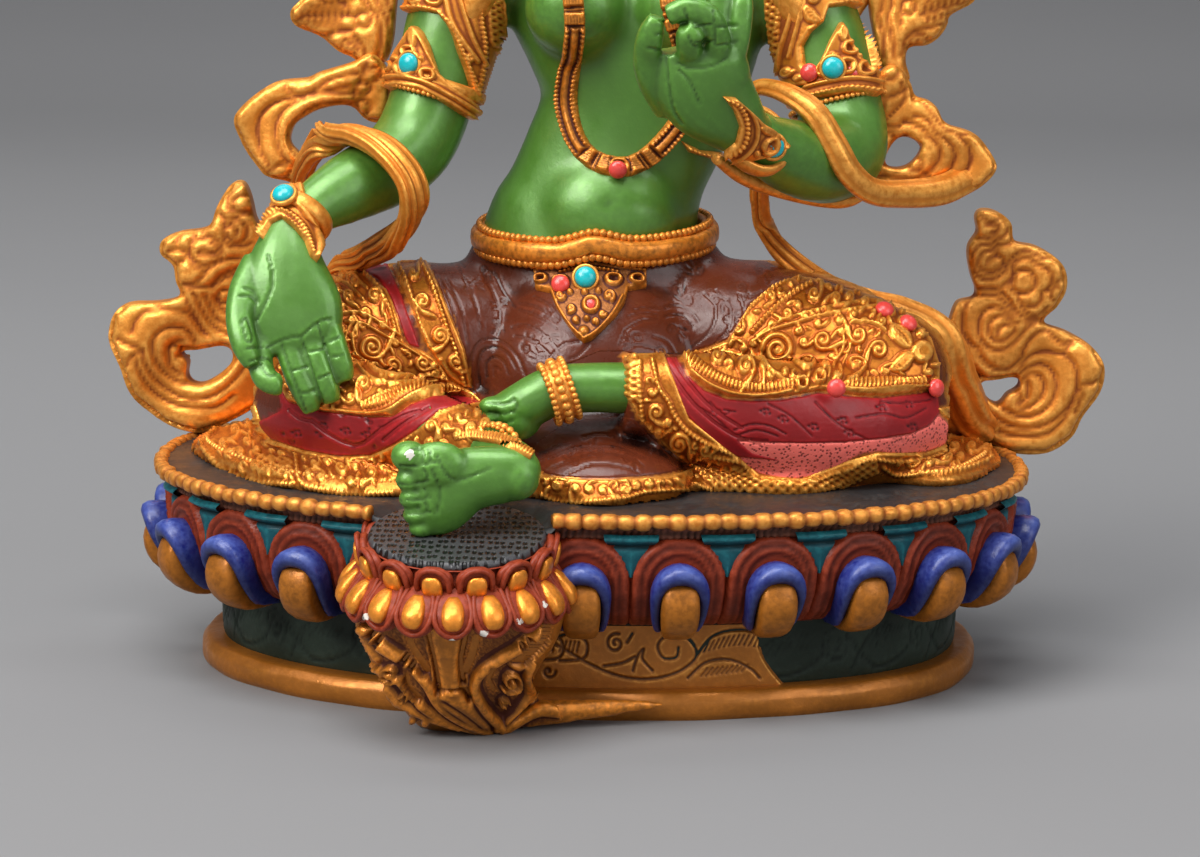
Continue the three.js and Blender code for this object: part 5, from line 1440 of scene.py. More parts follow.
def engraving_drawing():
    """Fine lines cut into the brown skirt and the red cloth."""
    board = Board((180, 230), (1030, 520), 0.5)
    rng = np.random.default_rng(21)
    skirt = crop_of((211, 223), 0.2838, [
        [(830, 200), (880, 300), (905, 420), (915, 520), (915, 600)],
                                         [(800, 190), (850, 300), (878, 420), (892, 540)],
        [(925, 600), (915, 520), (925, 450), (965, 410), (1030, 420), (1080, 470), (1110, 540)],
        [(950, 570), (943, 500), (960, 450), (1000, 438), (1045, 458), (1078, 515)],
        [(975, 540), (973, 495), (1000, 472), (1032, 488), (1052, 535)],
                                         [(1000, 540), (1002, 508), (1022, 520)],
        [(1090, 285), (1150, 298), (1215, 345)], [(1090, 308), (1150, 328), (1218, 372)],
                                         [(1140, 262), (1190, 288), (1225, 330)],
        [(1060, 370), (1110, 362), (1170, 392), (1230, 462)],
                                         [(1070, 400), (1120, 410), (1180, 450), (1215, 500)],
        [(1000, 170), (1030, 240), (1075, 300)], [(960, 180), (1000, 260), (1020, 340), (990, 390)],
                                         [(890, 190), (930, 280), (950, 370)],
        [(1300, 420), (1240, 430), (1190, 480)], [(1330, 430), (1290, 470), (1260, 480)],
        [(1440, 430), (1465, 375), (1520, 345), (1570, 340)], [(1455, 452), (1500, 430), (1570, 445)],
                                         [(1470, 332), (1520, 318), (1575, 328)],
        [(1490, 310), (1540, 300), (1580, 306)], [(1400, 450), (1440, 480), (1520, 490), (1590, 480)],
        [(1600, 300), (1640, 290), (1690, 310), (1720, 350)], [(1600, 330), (1660, 325), (1700, 370)],
                                         [(1740, 250), (1780, 300), (1760, 380), (1690, 440)],
        [(1780, 240), (1830, 300), (1820, 380), (1760, 440)],
                                         [(1860, 250), (1880, 320), (1870, 400), (1830, 450)],
        [(1770, 460), (1790, 410), (1840, 390), (1890, 410), (1910, 450)],
                                         [(1800, 460), (1830, 425), (1875, 440)],
        [(1900, 260), (1960, 240), (2020, 250)], [(1920, 290), (1980, 280), (2010, 310)],
                                         [(1560, 400), (1610, 420), (1640, 470)],
        [(1190, 830), (1300, 790), (1420, 790), (1530, 830)],
                                         [(1205, 862), (1330, 818), (1450, 822), (1525, 858)],
        [(1250, 885), (1350, 850), (1460, 862), (1510, 885)], [(1310, 760), (1370, 745), (1440, 760)]])
    for line in skirt:
        board.stroke(line, 1.9, -0.85, taper=0.4)
    for x, y, size in ((526, 348, 6), (543, 356, 5), (497, 322, 5), (505, 303, 5.5), (637, 338, 7),
                       (660, 352, 6), (672, 330, 6),
                       (688, 300, 6), (716, 300, 6), (728, 320, 5), (452, 262, 6), (470, 290, 6),
                       (484, 270, 5), (556, 318, 5),
                       (546, 340, 5), (760, 270, 6), (742, 288, 5), (600, 452, 6), (575, 462, 5),
                       (628, 458, 6), (700, 270, 6)):
        board.spiral((x, y), size, 1.3, 1 if int(x) % 2 else -1, x, 1.6, -0.8)
        for j in range(3):
            turn = x + 0.5 * j
            board.stroke([(x + (size + 2) * math.cos(turn), y + (size + 2) * math.sin(turn)),
                          (x + (size + 8) * math.cos(turn + 0.3), y + (size + 8) * math.sin(turn + 0.3))],
                         1.6, -0.7)
    feathers = [
        [(734, 430), (752, 424), (770, 426), (786, 434)], [(736, 436), (756, 430), (778, 436)],
        [(700, 408), (716, 418), (738, 436), (768, 440)], [(768, 404), (790, 416), (812, 436)],
        [(815, 402), (838, 424), (868, 440)], [(856, 418), (884, 414), (905, 418), (926, 408)],
        [(710, 402), (722, 414), (730, 412)], [(724, 410), (736, 412)], [(880, 402), (904, 404), (930, 400)]]
    for line in feathers:
        board.stroke(line, 1.6, -0.8, taper=0.3)
    for x, y in ((716, 410), (764, 409), (782, 416), (812, 424), (848, 430), (880, 405), (906, 402),
                 (897, 436), (841, 418), (911, 424), (322, 423), (345, 428), (296, 430), (366, 432)):
        for dx, dy in ((0, 0), (3.6, 1.2), (-3, 2.4), (1, 4.2), (5, 4.6)):
            board.spiral((x + dx, y + dy), 2.2, 1.0, 1, dx, 1.0, -0.8)
    for line in ([(665, 362), (680, 386), (700, 410), (732, 434), (760, 444)],
                 [(673, 358), (690, 384), (712, 408), (742, 428)],
                 [(312, 420), (326, 432), (347, 443), (363, 443), (382, 429), (402, 417), (420, 411)],
                 [(290, 410), (300, 418), (312, 421)], [(384, 440), (404, 424), (430, 408)]):
        board.stroke(line, 3.2, -1.3, taper=0.2)
    for _ in range(26):
        x, y = rng.uniform((268, 385), (400, 446))
        board.spiral((x, y), rng.uniform(2.5, 4.5), 1.1, rng.choice([-1, 1]), rng.uniform(0, 6), 1.2, -0.6)
    board.soften(1)
    return board


def soft_mask(px, py, *outlines):
    """1 inside the outlines and 0 outside them, with a soft edge."""
    return np.maximum.reduce([smoothstep(-1.2, 1.2, inside_distance(line, px, py))
                              for line in outlines])


def hem_form():
    """The cloth spread on the seat, rising to the legs."""
    levels = [(0, 0), (1, 0), (1.004, 0.7), (1, 1.5), (0.985, 2.2), (0.95, 2.7), (0.9, 3.6), (0.82, 6),
              (0.7, 9.5), (0.4, 14), (0, 15)]

    def place(u, v):
        share, height = spline(levels, v).T
        edge = spline(HEM, u, closed=True)
        share = np.clip(share, 0, 1.01)
        return np.stack([edge[:, 0] * share, edge[:, 1] * share, SEAT + np.clip(height, 0, 20)], 1)

    return surface(400, 40, place)


def leg_forms():
    lap = ball((0, 2, SEAT + 15), (25, 24, 23), 40, 24)
    hips = limb(raised([(0, 10, 12, 30, 24), (0, 10, 30, 26.5, 20.5), (0, 9, 41, 23, 17.2)]), 40, 16)
    mound = ball((3, -31, SEAT + 2.2), (15, 10.5, 6.4), 32, 18)
    legs = [skin_limb(s, 40, 2.1) for s in (RIGHT_THIGH, LEFT_THIGH)]
    shins = [skin_limb(s, 32, 2.1) for s in (RIGHT_SHIN[:5], LEFT_SHIN)]
    back = ball((0, 20, SEAT + 9), (44, 19, 15), 40, 20)
    return [hem_form(), lap, hips, mound, back, *legs, *shins]


def cloth_over_legs():
    """The cloth as one cast form, painted by its layers, then the carved layers laid on it."""
    cloth = cast(leg_forms(), 1.1, 7)
    cloth = kept(cloth, lambda p: p[:, 2] > SEAT + 0.12)
    points, normals = coordinates(cloth), vertex_normals(cloth)
    px, py = seen(points)
    height = points[:, 2] - SEAT
    front = np.maximum(smoothstep(9, 3, points[:, 1]), smoothstep(13, 17, height))
    front = smoothstep(0.02, 0.16, facing_eye(points, normals)) * front
    red = soft_mask(px, py, RED_LEFT, RED_RIGHT, RED_STRIP)
    pink = soft_mask(px, py, PINK)
    panels = soft_mask(px, py, BROCADE_LEFT, BROCADE_RIGHT, BAND_RIGHT)
    gold = np.maximum(panels, soft_mask(px, py, LOWER_GOLD) * (1 - np.maximum(red, pink)))
    red = red * (1 - panels) * (1 - pink)
    sides = smoothstep(30, 40, np.abs(points[:, 0]) + 0.35 * points[:, 1])
    back_gold = np.maximum(smoothstep(4.4, 3.6, height),
                           sides * smoothstep(12.5, 13.5, height) * smoothstep(44, 42, height))
    back_red = (1 - back_gold) * smoothstep(12.5, 11.5, height)
    gold = gold * front + back_gold * (1 - front)
    red = red * front + back_red * (1 - front)
    pink = pink * front
    round_about = np.arctan2(points[:, 1], points[:, 0]) * 60
    behind = Board((-200, 0), (200, 48), 0.5)
    for k in range(-12, 13):
        for x, y, size in ((16 * k, 19, 5.2), (16 * k + 8, 27, 5.2), (16 * k, 35, 4.6)):
            behind.spiral((x, y), size, 1.5, 1 if k % 2 else -1, k * 0.7)
            behind.leaf([(x + 5, y - 4), (x + 8, y - 1), (x + 9, y + 4)], 2.0, 0.9, 1.4)
    lift = (1 - front) * gold * (0.6 + 0.7 * behind.read(round_about, height))
    set_coordinates(cloth, points + normals * lift[:, None])
    for name, share in (("gold", gold), ("red", red), ("pink", pink)):
        set_values(cloth, name, np.clip(share, 0, 1))
    finish = finishes()["painted_cloth"]
    piece("cloth_over_legs", [cloth], finish, "gold_paint")
    tree = tree_of("cloth_over_legs")
    scrolls, cuts = brocade_drawing(), engraving_drawing()
    layers = (  # name, slot, drawing, outlines, rise, scale, step, edge, sink, share and ground
        ("brocade_left", "gold_paint", scrolls, [BROCADE_LEFT],
         1.0, 0.95, 1.2, 3, 0.35, "gold", 0.4),
        ("brocade_right", "gold_paint", scrolls, [BROCADE_RIGHT, BAND_RIGHT],
         0.9, 0.95, 1.2, 3, 0.35, "gold", 0.4),
        ("gilt_hem", "gold_paint", scrolls, [LOWER_GOLD], 0.5, 0.75, 1.35, 3, 0.35, "gold", 0.7),
        ("red_cloth", "red_cloth_paint", cuts, [RED_LEFT, RED_RIGHT, RED_STRIP],
         0.25, 0.62, 1.3, 1.5, 0.2, "red", 0.0),
        ("pink_cloth", "red_cloth_paint", cuts, [PINK], 0.12, 0.3, 1.5, 1.5, 0.2, "pink", 0.0),
        ("skirt", "brown_cloth_paint", cuts, [SKIRT, SKIRT_MOUND], 0.12, 0.5, 1.65, 2, 0.2, "", 0.0))
    for name, slot, drawing, outlines, rise, scale, step, edge, sink, share, ground in layers:
        piece(name, [patch(tree, outline, drawing, rise, scale, step, edge, sink, 1.6, share, ground)
                     for outline in outlines], finish, slot)
    row = [(x * 0.972, y * 0.968, SEAT + 2.5) for x, y in evenly(HEM, 1.55, True)]
    piece("hem_beads", [beads(row, 0.7, 6, 4)], finishes()["gold_paint"], "gold_paint")


# Jewellery
def hoop(path, half_high, half_deep, columns=120, sides=12, squareness=2.4, relief=None):
    """A closed band along a ring of points, standing out from the ring's middle."""
    path = np.asarray(path, float)
    middle = path.mean(0)

    def place(u, v):
        at = spline(path, u, closed=True)
        along = unit(spline(path, np.mod(u + 0.003, 1), True) - spline(path, np.mod(u - 0.003, 1), True))
        out = unit((at - middle) - along * ((at - middle) * along).sum(1)[:, None])
        up = np.cross(along, out)
        angle = math.tau * v
        lift = 0 if relief is None else relief(u, angle)
        c, s = rounded(np.cos(angle), squareness), rounded(np.sin(angle), squareness)
        return at + out * ((half_deep + lift) * c)[:, None] + up * ((half_high + lift) * s)[:, None]

    return surface(columns, sides, place)


def ring_path(centre, radii, tilt=(0, 0, 0)):
    """A ring, its centre counted from the seat, turned by degrees about X, Y and Z."""
    angle = np.linspace(0, math.tau, 24, endpoint=False)
    flat = np.stack([radii[0] * np.cos(angle), radii[1] * np.sin(angle), 0 * angle], 1)
    turn = np.eye(3)
    for degrees, axis in zip(tilt, "XYZ"):
        turn = np.array(Matrix.Rotation(math.radians(degrees), 3, axis)) @ turn
    return flat @ turn.T + (centre[0], centre[1], centre[2] + SEAT)


def bead_ring(path, radius, pitch, flat=0.85):
    spots = evenly(path, pitch, closed=True)
    return beads(spots, radius, 8, 5, spots - spots.mean(0), flat)


def girdle_path(rise, out):
    """The way round the waist, dipping at the back and lifted in front of the navel."""
    angle = np.linspace(0, math.tau, 48, endpoint=False)
    x, y = (22.2 + out) * np.cos(angle), 8 + (18.6 + out) * np.sin(angle)
    z = SEAT + 42.1 + 0.03 * x + 0.09 * (y - 8) + rise
    z = z + 1.7 * np.exp(-((x - 0.4) / 4.6) ** 2) * (y < 0)
    return np.stack([x, y, z], 1)


GIRDLE_STONES = [(543, 281, 7.4), (562, 286, 8.6), (585.5, 281, 10), (612.5, 283, 9), (635, 281.5, 8),
                 (591, 309, 8.8)]


def girdle():
    gold = finishes()["bracket_gold"]
    worn = lambda u, angle: 0.07 * np.sin(u * 40) + 0.05 * np.sin(u * 97 + angle)
    band = hoop(girdle_path(0, -0.3), 1.8, 1.7, 260, 14, 3, relief=worn)
    back = hoop(girdle_path(0, -1.2), 2.6, 1.0, 120, 10)
    rows = [bead_ring(girdle_path(2.3, -0.3), 0.86, 1.3), bead_ring(girdle_path(-2.2, 0.2), 0.9, 1.3)]
    piece("girdle", [band, back, *rows], gold, "gold_paint")
    outline = [(534, 268), (560, 266), (592, 262), (620, 266), (646, 268), (646, 289), (628, 292),
               (624, 306), (616, 318), (604, 330), (592, 341), (584, 344), (576, 338), (565, 323),
               (556, 308), (551, 294), (536, 291)]
    marks = [("row", [(540, 269), (560, 268), (578, 262), (590, 260), (606, 263), (624, 268), (642, 270)],
              2.3, 4.6),
             ("row", [(562, 273), (576, 270), (600, 270), (616, 273)], 2, 4.2),
             ("rings", GIRDLE_STONES),
             ("coils", [(562, 301, 6, 1.2, 1, 0), (608, 301, 7, 1.3, -1, 1), (572, 313, 5.5, 1.2, -1, 2),
                        (602, 318, 5, 1.2, 1, 0), (577, 323, 4.4, 1.1, 1, 1), (595, 325, 4.4, 1.1, -1, 1)]),
             ("knobs", [(571, 297, 3), (598, 296, 3), (585, 297, 3.4), (584, 334, 5.4), (587, 322, 3)]),
             ("rib", [(553, 295), (560, 312), (570, 327), (584, 341)], 2.4, 0.8),
             ("rib", [(584, 341), (598, 332), (612, 316), (621, 300)], 2.4, 0.8)]
    tree = tree_of("cloth_over_legs")
    made = patch(tree, outline, marked((525, 255), (655, 350), marks), 1.3, 0.8, 0.9, 3, ground=0.6)
    piece("girdle_pendant", [made], gold, "gold_paint")


NECKLACE = [(572, -60), (572, -20), (574, 10), (575, 28), (572.5, 54), (568.5, 79), (567, 100), (570, 122),
            (577, 142), (588, 156), (603, 164), (619, 167), (634, 165), (648, 157), (661, 145), (673, 131),
            (684, 114), (690, 92), (688, 62), (680, 34), (673, 10), (670, -20), (668, -60)]


def along_line(line, share, across):
    """The point at a share of a line, moved across it."""
    fine = evenly(line, 1.0)
    k = int(round(share * (len(fine) - 1)))
    ways = unit(np.gradient(fine, axis=0))
    return fine[k] + ways[k][::-1] * (1, -1) * across


def offset_line(line, across):
    return [along_line(line, share, across) for share in np.linspace(0, 1, 40)]


def necklace():
    board = Board((540, -70), (720, 200), 0.5)
    draw(board, [("rib", offset_line(NECKLACE, 0), 8, 0.75),
                 ("row", offset_line(NECKLACE, 7.6), 2.5, 4.7),
                 ("row", offset_line(NECKLACE, -7.6), 2.5, 4.7)])
    fine = evenly(NECKLACE, 1.0)
    for x, y in ((573, 1), (575, 18), (590, 157), (605, 165), (635, 165), (650, 156), (671, 3), (676, 22)):
        share = np.argmin(np.hypot(*(fine - (x, y)).T)) / (len(fine) - 1)
        for k in range(-6, 7):
            for j in np.linspace(-9.5, 9.5, 15):
                spot = along_line(NECKLACE, share + k / len(fine), j)
                ridge = 0.72 if round((j + 9.5) / 19 * 14) % 2 else 1.0
                field, gx, gy = board.window(spot, 1.2)
                field[np.hypot(gx - spot[0], gy - spot[1]) < 1.2] = ridge
        for end in (-7.4, 7.4):
            board.stroke([along_line(NECKLACE, share + end / len(fine), a) for a in (-10, 0, 10)],
                         1.6, -0.8)
    draw(board, [("rings", [(619, 168, 10.5)])])
    outline = offset_line(NECKLACE, 10.6) + offset_line(NECKLACE, -10.6)[::-1]
    made = patch(tree_of("skin_body"), outline, board, 0.9, 0.75, 1.15, 2.4, jump=2.5)
    piece("necklace", [made], finishes()["bracket_gold"], "gold_paint")


# Outlines and carving of the work on the arms, in pixels
ARMLET_RIGHT = [(418, 26), (424, 32), (431, 46), (436, 62), (440, 74), (452, 86), (474, 104), (471, 121),
                (462, 116), (444, 104), (422, 92), (400, 88), (381, 95), (382, 80), (392, 66), (402, 48),
                (412, 32)]
SHAWL_RIGHT = [
    (398, -10), (398, 10), (393, 26), (390, 44), (397, 46), (402, 30), (407, 14), (420, 11), (438, 14),
    (446, 24), (452, 36), (456, 50), (463, 68), (468, 84), (470, 100), (476, 106), (484, 84), (492, 60),
    (500, 34), (503, 0), (503, -60), (398, -60)]
SHAWL_LEFT = [
    (765, -60), (765, 0), (769, 20), (776, 50), (780, 74), (790, 86), (812, 86), (815, 78), (806, 64),
    (804, 46), (812, 32), (824, 22), (828, 8), (845, 6), (858, 10), (864, 30), (868, 50), (872, 68),
    (880, 80), (886, 60), (880, 30), (876, 0), (876, -60)]
ARMLET_LEFT = [(839, 22), (845, 32), (853, 50), (862, 64), (874, 74), (878, 88), (877, 97), (850, 94),
               (826, 98), (812, 100), (806, 90), (812, 78), (820, 62), (829, 40)]
BRACELET_LEFT = [(722, 96), (735, 97), (752, 112), (761, 122), (776, 134), (790, 146), (772, 155),
                 (742, 161), (715, 160), (688, 152), (680, 140), (700, 150), (722, 152), (735, 142),
                 (739, 126), (733, 110)]
BRACELET_RIGHT = [(259, 236), (262, 216), (274, 200), (284, 190), (304, 184), (308, 206), (317, 224),
                  (321, 247), (317, 263), (310, 257), (304, 241), (294, 229), (282, 219), (272, 224),
                  (263, 240)]


def arm_work():
    gold, tree = finishes()["gold_paint"], tree_of("skin_body")
    right = marked((370, -70), (510, 130), [
        ("rib", [(382, 84), (398, 79), (414, 80), (430, 86), (450, 98), (472, 112)], 6, 1.0),
        ("row", [(383, 93), (398, 88), (412, 91), (430, 99), (450, 110), (470, 119)], 2.3, 4.4),
        ("rings", [(410, 70, 9.5), (414, 53, 6.5), (428.5, 75.5, 7.6), (395, 68, 6.4)]),
        ("leaf", [(418, 48), (418, 38), (418, 28)], 4, 0),
                                            ("rib", [(436, 70), (428, 50), (419, 29)], 2.4, 0.9),
        ("rib", [(386, 74), (399, 52), (416, 28)], 2.4, 0.9), ("knobs", [(403, 60, 3), (424, 60, 3)])])
    left = marked((800, 15), (885, 105), [
        ("rib", [(808, 88), (826, 84), (845, 81), (862, 82), (877, 86)], 5, 1.0),
        ("row", [(812, 97), (830, 93), (850, 90), (876, 94)], 2.2, 4.2),
        ("rings", [(826, 70, 9), (861, 71, 9), (844, 68, 9.6), (847, 49.5, 8)]),
        ("leaf", [(841, 42), (840, 33), (839, 24)], 4.2, 0),
                                          ("coils", [(833, 56, 4, 1, 1, 0), (857, 57, 4, 1, -1, 0)]),
        ("rib", [(812, 78), (826, 46), (838, 24)], 2.4, 0.9),
                                          ("rib", [(872, 76), (856, 48), (840, 24)], 2.4, 0.9)])
    piece("armlets", [patch(tree, ARMLET_RIGHT, right, 1.7, 0.7, 1.15, 2.5, jump=2.5),
                      patch(tree, ARMLET_LEFT, left, 1.7, 0.7, 1.15, 2.5, jump=2.5),
                      hoop(ring_path((-30, 3.8, 70), (9.1, 9.2), (-8, 16, 0)), 1.2, 0.7, 90, 8),
                      hoop(ring_path((44.8, 3.2, 70), (9.1, 9.2), (-12, -14, 0)), 1.2, 0.7, 90, 8),
                      bead_ring(ring_path((-30.4, 3.4, 67.6), (9.2, 9.3), (-8, 16, 0)), 0.55, 1.0),
                      bead_ring(ring_path((45.4, 2.8, 67.6), (9.2, 9.3), (-12, -14, 0)), 0.55, 1.0)],
          gold, "gold_paint")
    hands = tree_of("skin_body", "right_hand", "left_hand")
    wrist_left = marked((675, 90), (795, 165), [
        ("row", [(727, 98), (738, 106), (745, 120), (744, 138), (734, 149), (712, 154), (688, 148)],
         2.4, 4.4),
        ("rib", [(735, 99), (748, 112), (754, 128), (750, 144), (736, 156), (712, 158)], 3.6, 1.0),
        ("rings", [(767, 144, 9.4)]), ("leaf", [(757, 126), (764, 130), (776, 138)], 4, 3),
                                                ("knobs", [(755, 150, 3), (783, 147, 2.6)])])
    wrist_right = marked((255, 180), (325, 268), [
        ("row", [(262, 236), (267, 221), (280, 213), (293, 219), (303, 232), (311, 254)], 2.3, 4.0),
        ("row", [(266, 240), (272, 226), (284, 220), (296, 229), (303, 243)], 1.8, 3.6),
        ("rib", [(270, 214), (280, 205), (296, 206), (308, 220), (316, 242), (316, 258)], 7, 1.0),
        ("rings", [(289, 190, 9.4)]), ("knobs", [(276, 203, 3), (301, 198, 3)])])
    piece("bracelets", [patch(hands, BRACELET_LEFT, wrist_left, 1.1, 0.7, 0.9, 2.2, jump=3),
                        patch(hands, BRACELET_RIGHT, wrist_right, 1.1, 0.7, 0.9, 2.2, jump=3),
                        hoop(ring_path((-52.6, -19.4, 47.6), (5.3, 5.3), (-38, 32, 0)), 1.6, 0.8),
                        hoop(ring_path((29.4, -24.2, 63), (6.1, 6.1), (46, 42, 0)), 1.6, 0.8)],
          gold, "gold_paint")
    shawl_right = marked((385, -70), (512, 130), [
        ("row", [(394, 44), (398, 26), (405, 12), (420, 9), (436, 12), (448, 24), (456, 40), (463, 60),
                 (470, 84), (475, 102)], 2.4, 4.5),
        ("rib", [(478, 100), (488, 76), (497, 44), (500, 0)], 4.6, 1.0),
        ("rib", [(447, 0), (452, 24), (462, 44), (472, 60)], 6, 1.0),
                                                  ("rib", [(456, -20), (462, 10), (470, 40), (480, 64)],
                                                   5, 0.9),
        ("row", [(477, -10), (478, 20), (480, 44), (477, 70), (472, 92)], 2.4, 4.6),
        ("net", [(482, -60), (500, -60), (499, 20), (492, 54), (484, 40)], 5),
        ("rings", [(437, 0, 8)]), ("coils", [(420, 2, 6, 1.2, 1, 0), (462, 76, 7, 1.3, 1, 1),
                                             (466, 58, 6, 1.2, -1, 0),
                  (402, 6, 5, 1.1, 1, 0), (424, -18, 8, 1.4, -1, 0), (446, -24, 8, 1.4, 1, 2),
                                             (408, -26, 7, 1.3, 1, 2)])])
    shawl_left = marked((755, -70), (895, 100), [
        ("net", [(766, -60), (780, -60), (784, 20), (786, 60), (776, 50), (768, 10)], 5),
        ("row", [(781, -20), (782, 10), (780, 30)], 2.4, 4.6),
                                                 ("rib", [(796, -20), (792, 20), (786, 50), (784, 74)],
                                                  5, 1.0),
        ("rib", [(803, -20), (800, 20), (794, 56)], 4, 0.9),
        ("row", [(812, 34), (806, 46), (807, 60), (814, 74)], 2.4, 4.4),
                                                 ("row", [(812, 30), (824, 22), (830, 8), (846, 5),
                                                          (858, 10)], 2.4, 4.4),
        ("row", [(862, 20), (867, 44), (872, 66)], 2.3, 4.3),
                                                 ("leaf", [(806, 8), (812, 18), (820, 22)], 6, 4),
        ("coils", [(793, 70, 7, 1.3, 1, 0), (803, 78, 5, 1.1, -1, 0), (812, 0, 6, 1.2, 1, 0),
                   (870, 4, 6, 1.3, -1, 0),
                   (806, -26, 8, 1.4, -1, 0), (834, -24, 8, 1.4, 1, 2), (862, -26, 7, 1.3, 1, 2)])])
    piece("shawl_fronts", [patch(tree, SHAWL_RIGHT, shawl_right, 1.5, 0.7, 1.25, 2.5, jump=3),
                           patch(tree, SHAWL_LEFT, shawl_left, 1.5, 0.7, 1.25, 2.5, jump=3)],
          gold, "gold_paint")


def anklets():
    gold = finishes()["gold_paint"]
    tree = tree_of("left_foot", "right_foot")
    rope = [(454, 433), (475, 431), (498, 434), (518, 441), (534, 453), (530, 460), (514, 450), (496, 444),
            (474, 441), (456, 442)]
    right = marked((450, 428), (536, 464), [
        ("bars", [(456, 437), (475, 436), (497, 439), (515, 446), (530, 456)], 3.4, 3.2, 2.6)])
    axis = np.array((0.937, 0.165, 0.309))
    ring = lambda along, size: ring_path(np.array((-5, -30.6, 18.2)) + along * axis, (size, size - 0.2),
                                         (0, 72, 10))
    far = lambda along: ring_path((-15 - along, -45.6 - 0.6 * along, 9.6), (5, 4.9), (0, 90, 55))
    piece("anklets", [patch(tree, rope, right, 0.6, 0.6, 0.9, 2), hoop(ring(0, 5.0), 2.4, 0.5, 90, 10),
                      bead_ring(ring(-1.9, 5.5), 0.66, 1.15), bead_ring(ring(0, 5.5), 0.95, 1.6, 0.8),
                      bead_ring(ring(1.9, 5.5), 0.66, 1.15), bead_ring(far(0), 0.8, 1.3),
                      bead_ring(far(1.3), 0.5, 1.0)], gold, "gold_paint")


# Scarf ends: an outline, its depth, and the grooves that part it into rounded bands
def crop_of(origin, scale, lines):
    """Lines drawn over an enlargement, in pixels of the photograph's frame."""
    return [[(origin[0] + x * scale, origin[1] + y * scale) for x, y in line] for line in lines]


BAND_EDGE = 5.0  # how far in from a groove a band is rounded, in pixels


def circle(x, y, radius, start=0.0, turn=6.28):
    return [(x + radius * math.cos(start + turn * t), y + radius * math.sin(start + turn * t))
            for t in np.linspace(0, 1, 12)]


def flare(outline, depth, thick, grooves, hole=(), knobs=()):
    """A carved scroll: an outline given thickness, cast, then rounded between its grooves."""
    bm = bmesh.new()
    edges = []
    for line in [outline, hole] if hole else [outline]:
        ring = [bm.verts.new(at_depth(x, y, depth)) for x, y in evenly(line, 3.0, closed=True)]
        edges += [bm.edges.new((a, b)) for a, b in zip(ring, ring[1:] + ring[:1])]
    bmesh.ops.triangle_fill(bm, edges=edges, use_beauty=True)
    bmesh.ops.translate(bm, verts=bm.verts, vec=(0, thick / 2, 0))
    made = bmesh.ops.extrude_face_region(bm, geom=bm.faces[:])
    front = [g for g in made["geom"] if isinstance(g, bmesh.types.BMVert)]
    bmesh.ops.translate(bm, verts=front, vec=(0, -thick, 0))
    bmesh.ops.recalc_face_normals(bm, faces=bm.faces)
    form = cast([unloaded(bm)], 0.62, 7)
    board = Board(np.min(outline, 0) - 4, np.max(outline, 0) + 4, 0.5)
    edge = board.inside(outline)
    if hole:
        edge = np.minimum(edge, -board.inside(hole))
    away = board.height = np.clip(edge, 0, 3 * BAND_EDGE)
    for groove in grooves:
        for point in evenly(groove, 0.7):
            field, x, y = board.window(point, BAND_EDGE)
            np.minimum(field, np.hypot(x - point[0], y - point[1]) + 0.3, out=field)
    board.height = rounded_down(away, BAND_EDGE) + 0.35 * rounded_down(edge, 3 * BAND_EDGE)
    for x, y, radius in knobs:
        board.dab((x, y), radius, 1.6)
    # The bands are darkened along their grooves: wash and painted shade.
    groove_wash_and_shade = np.exp(-((away / 1.7) ** 2)) * (edge > 4)
    board.soften(2)
    points, normals = coordinates(form), vertex_normals(form)
    px, py = seen(points)
    share = smoothstep(0.25, 0.75, np.abs(normals[:, 1]))
    drawn = (board.read(px, py) - 0.9) * share
    board.height = groove_wash_and_shade
    points = points + normals * (1.5 * drawn)[:, None]
    points[:, 1] += 0.7 * np.sin(px / 17 + py / 23)
    set_coordinates(form, points)
    set_values(form, "ink", np.clip(board.read(px, py) * share, 0, 0.95))
    return form


def outline_at(line, depth):
    """Pixels of an outline that is given in x and height over the seat."""
    return list(zip(*(c.tolist() for c in seen([(x, depth, z + SEAT) for x, z in line]))))


LOW_LEFT = [
    (55, 24), (60, 27), (67.2, 22.9), (69.9, 28.8), (73.7, 29.9), (72.2, 34.7), (71.5, 39.6), (73.3, 42.6),
    (72.6, 45.5), (74.1, 47.0), (77.0, 46.5), (80.0, 44.2), (80.5, 40.7), (85.0, 39.8), (89.9, 36.6),
    (91.1, 32.1), (89.3, 28.2), (86.5, 25.2), (91.4, 23.3), (96.4, 20.4), (98.9, 16.5), (98.3, 11.6),
    (95.0, 6.6), (93.2, 2.6), (88.5, -0.5), (81.6, -0.6), (76.7, 1.3), (70, 2), (62, 6), (56, 14)]
LOW_LEFT_EYE = [(73.6, 15.5), (76.2, 13.6), (82.1, 14.3), (82.7, 12.3), (80.2, 10.9), (78.9, 8.9),
                (76.4, 10.2)]
LOW_RIGHT = [
    (-52, 20), (-56, 12), (-60.4, 10.1), (-66, 6), (-71.4, 2.9), (-77.4, 0.8), (-84.4, 2.7), (-90.3, 7.6),
    (-92.6, 13.6), (-94.9, 18.6), (-94, 23.6), (-91, 26), (-85.1, 26.5), (-80.5, 27.8), (-81.6, 30.8),
    (-82, 33.7), (-84.7, 35.7), (-84.3, 38.4), (-80.9, 40.1), (-75, 41.3), (-73.6, 44.7), (-72, 47.7),
    (-70, 50.1), (-68, 50.1), (-66.5, 46.8), (-65.7, 42.9), (-63.2, 39), (-58, 30)]
LOW_RIGHT_EYE = [(-82.2, 17.4), (-78.2, 16.9), (-71.9, 18), (-70.3, 15.6), (-73.3, 12.3), (-77.3, 10.3),
                 (-79.7, 11.8), (-79.3, 14.8)]
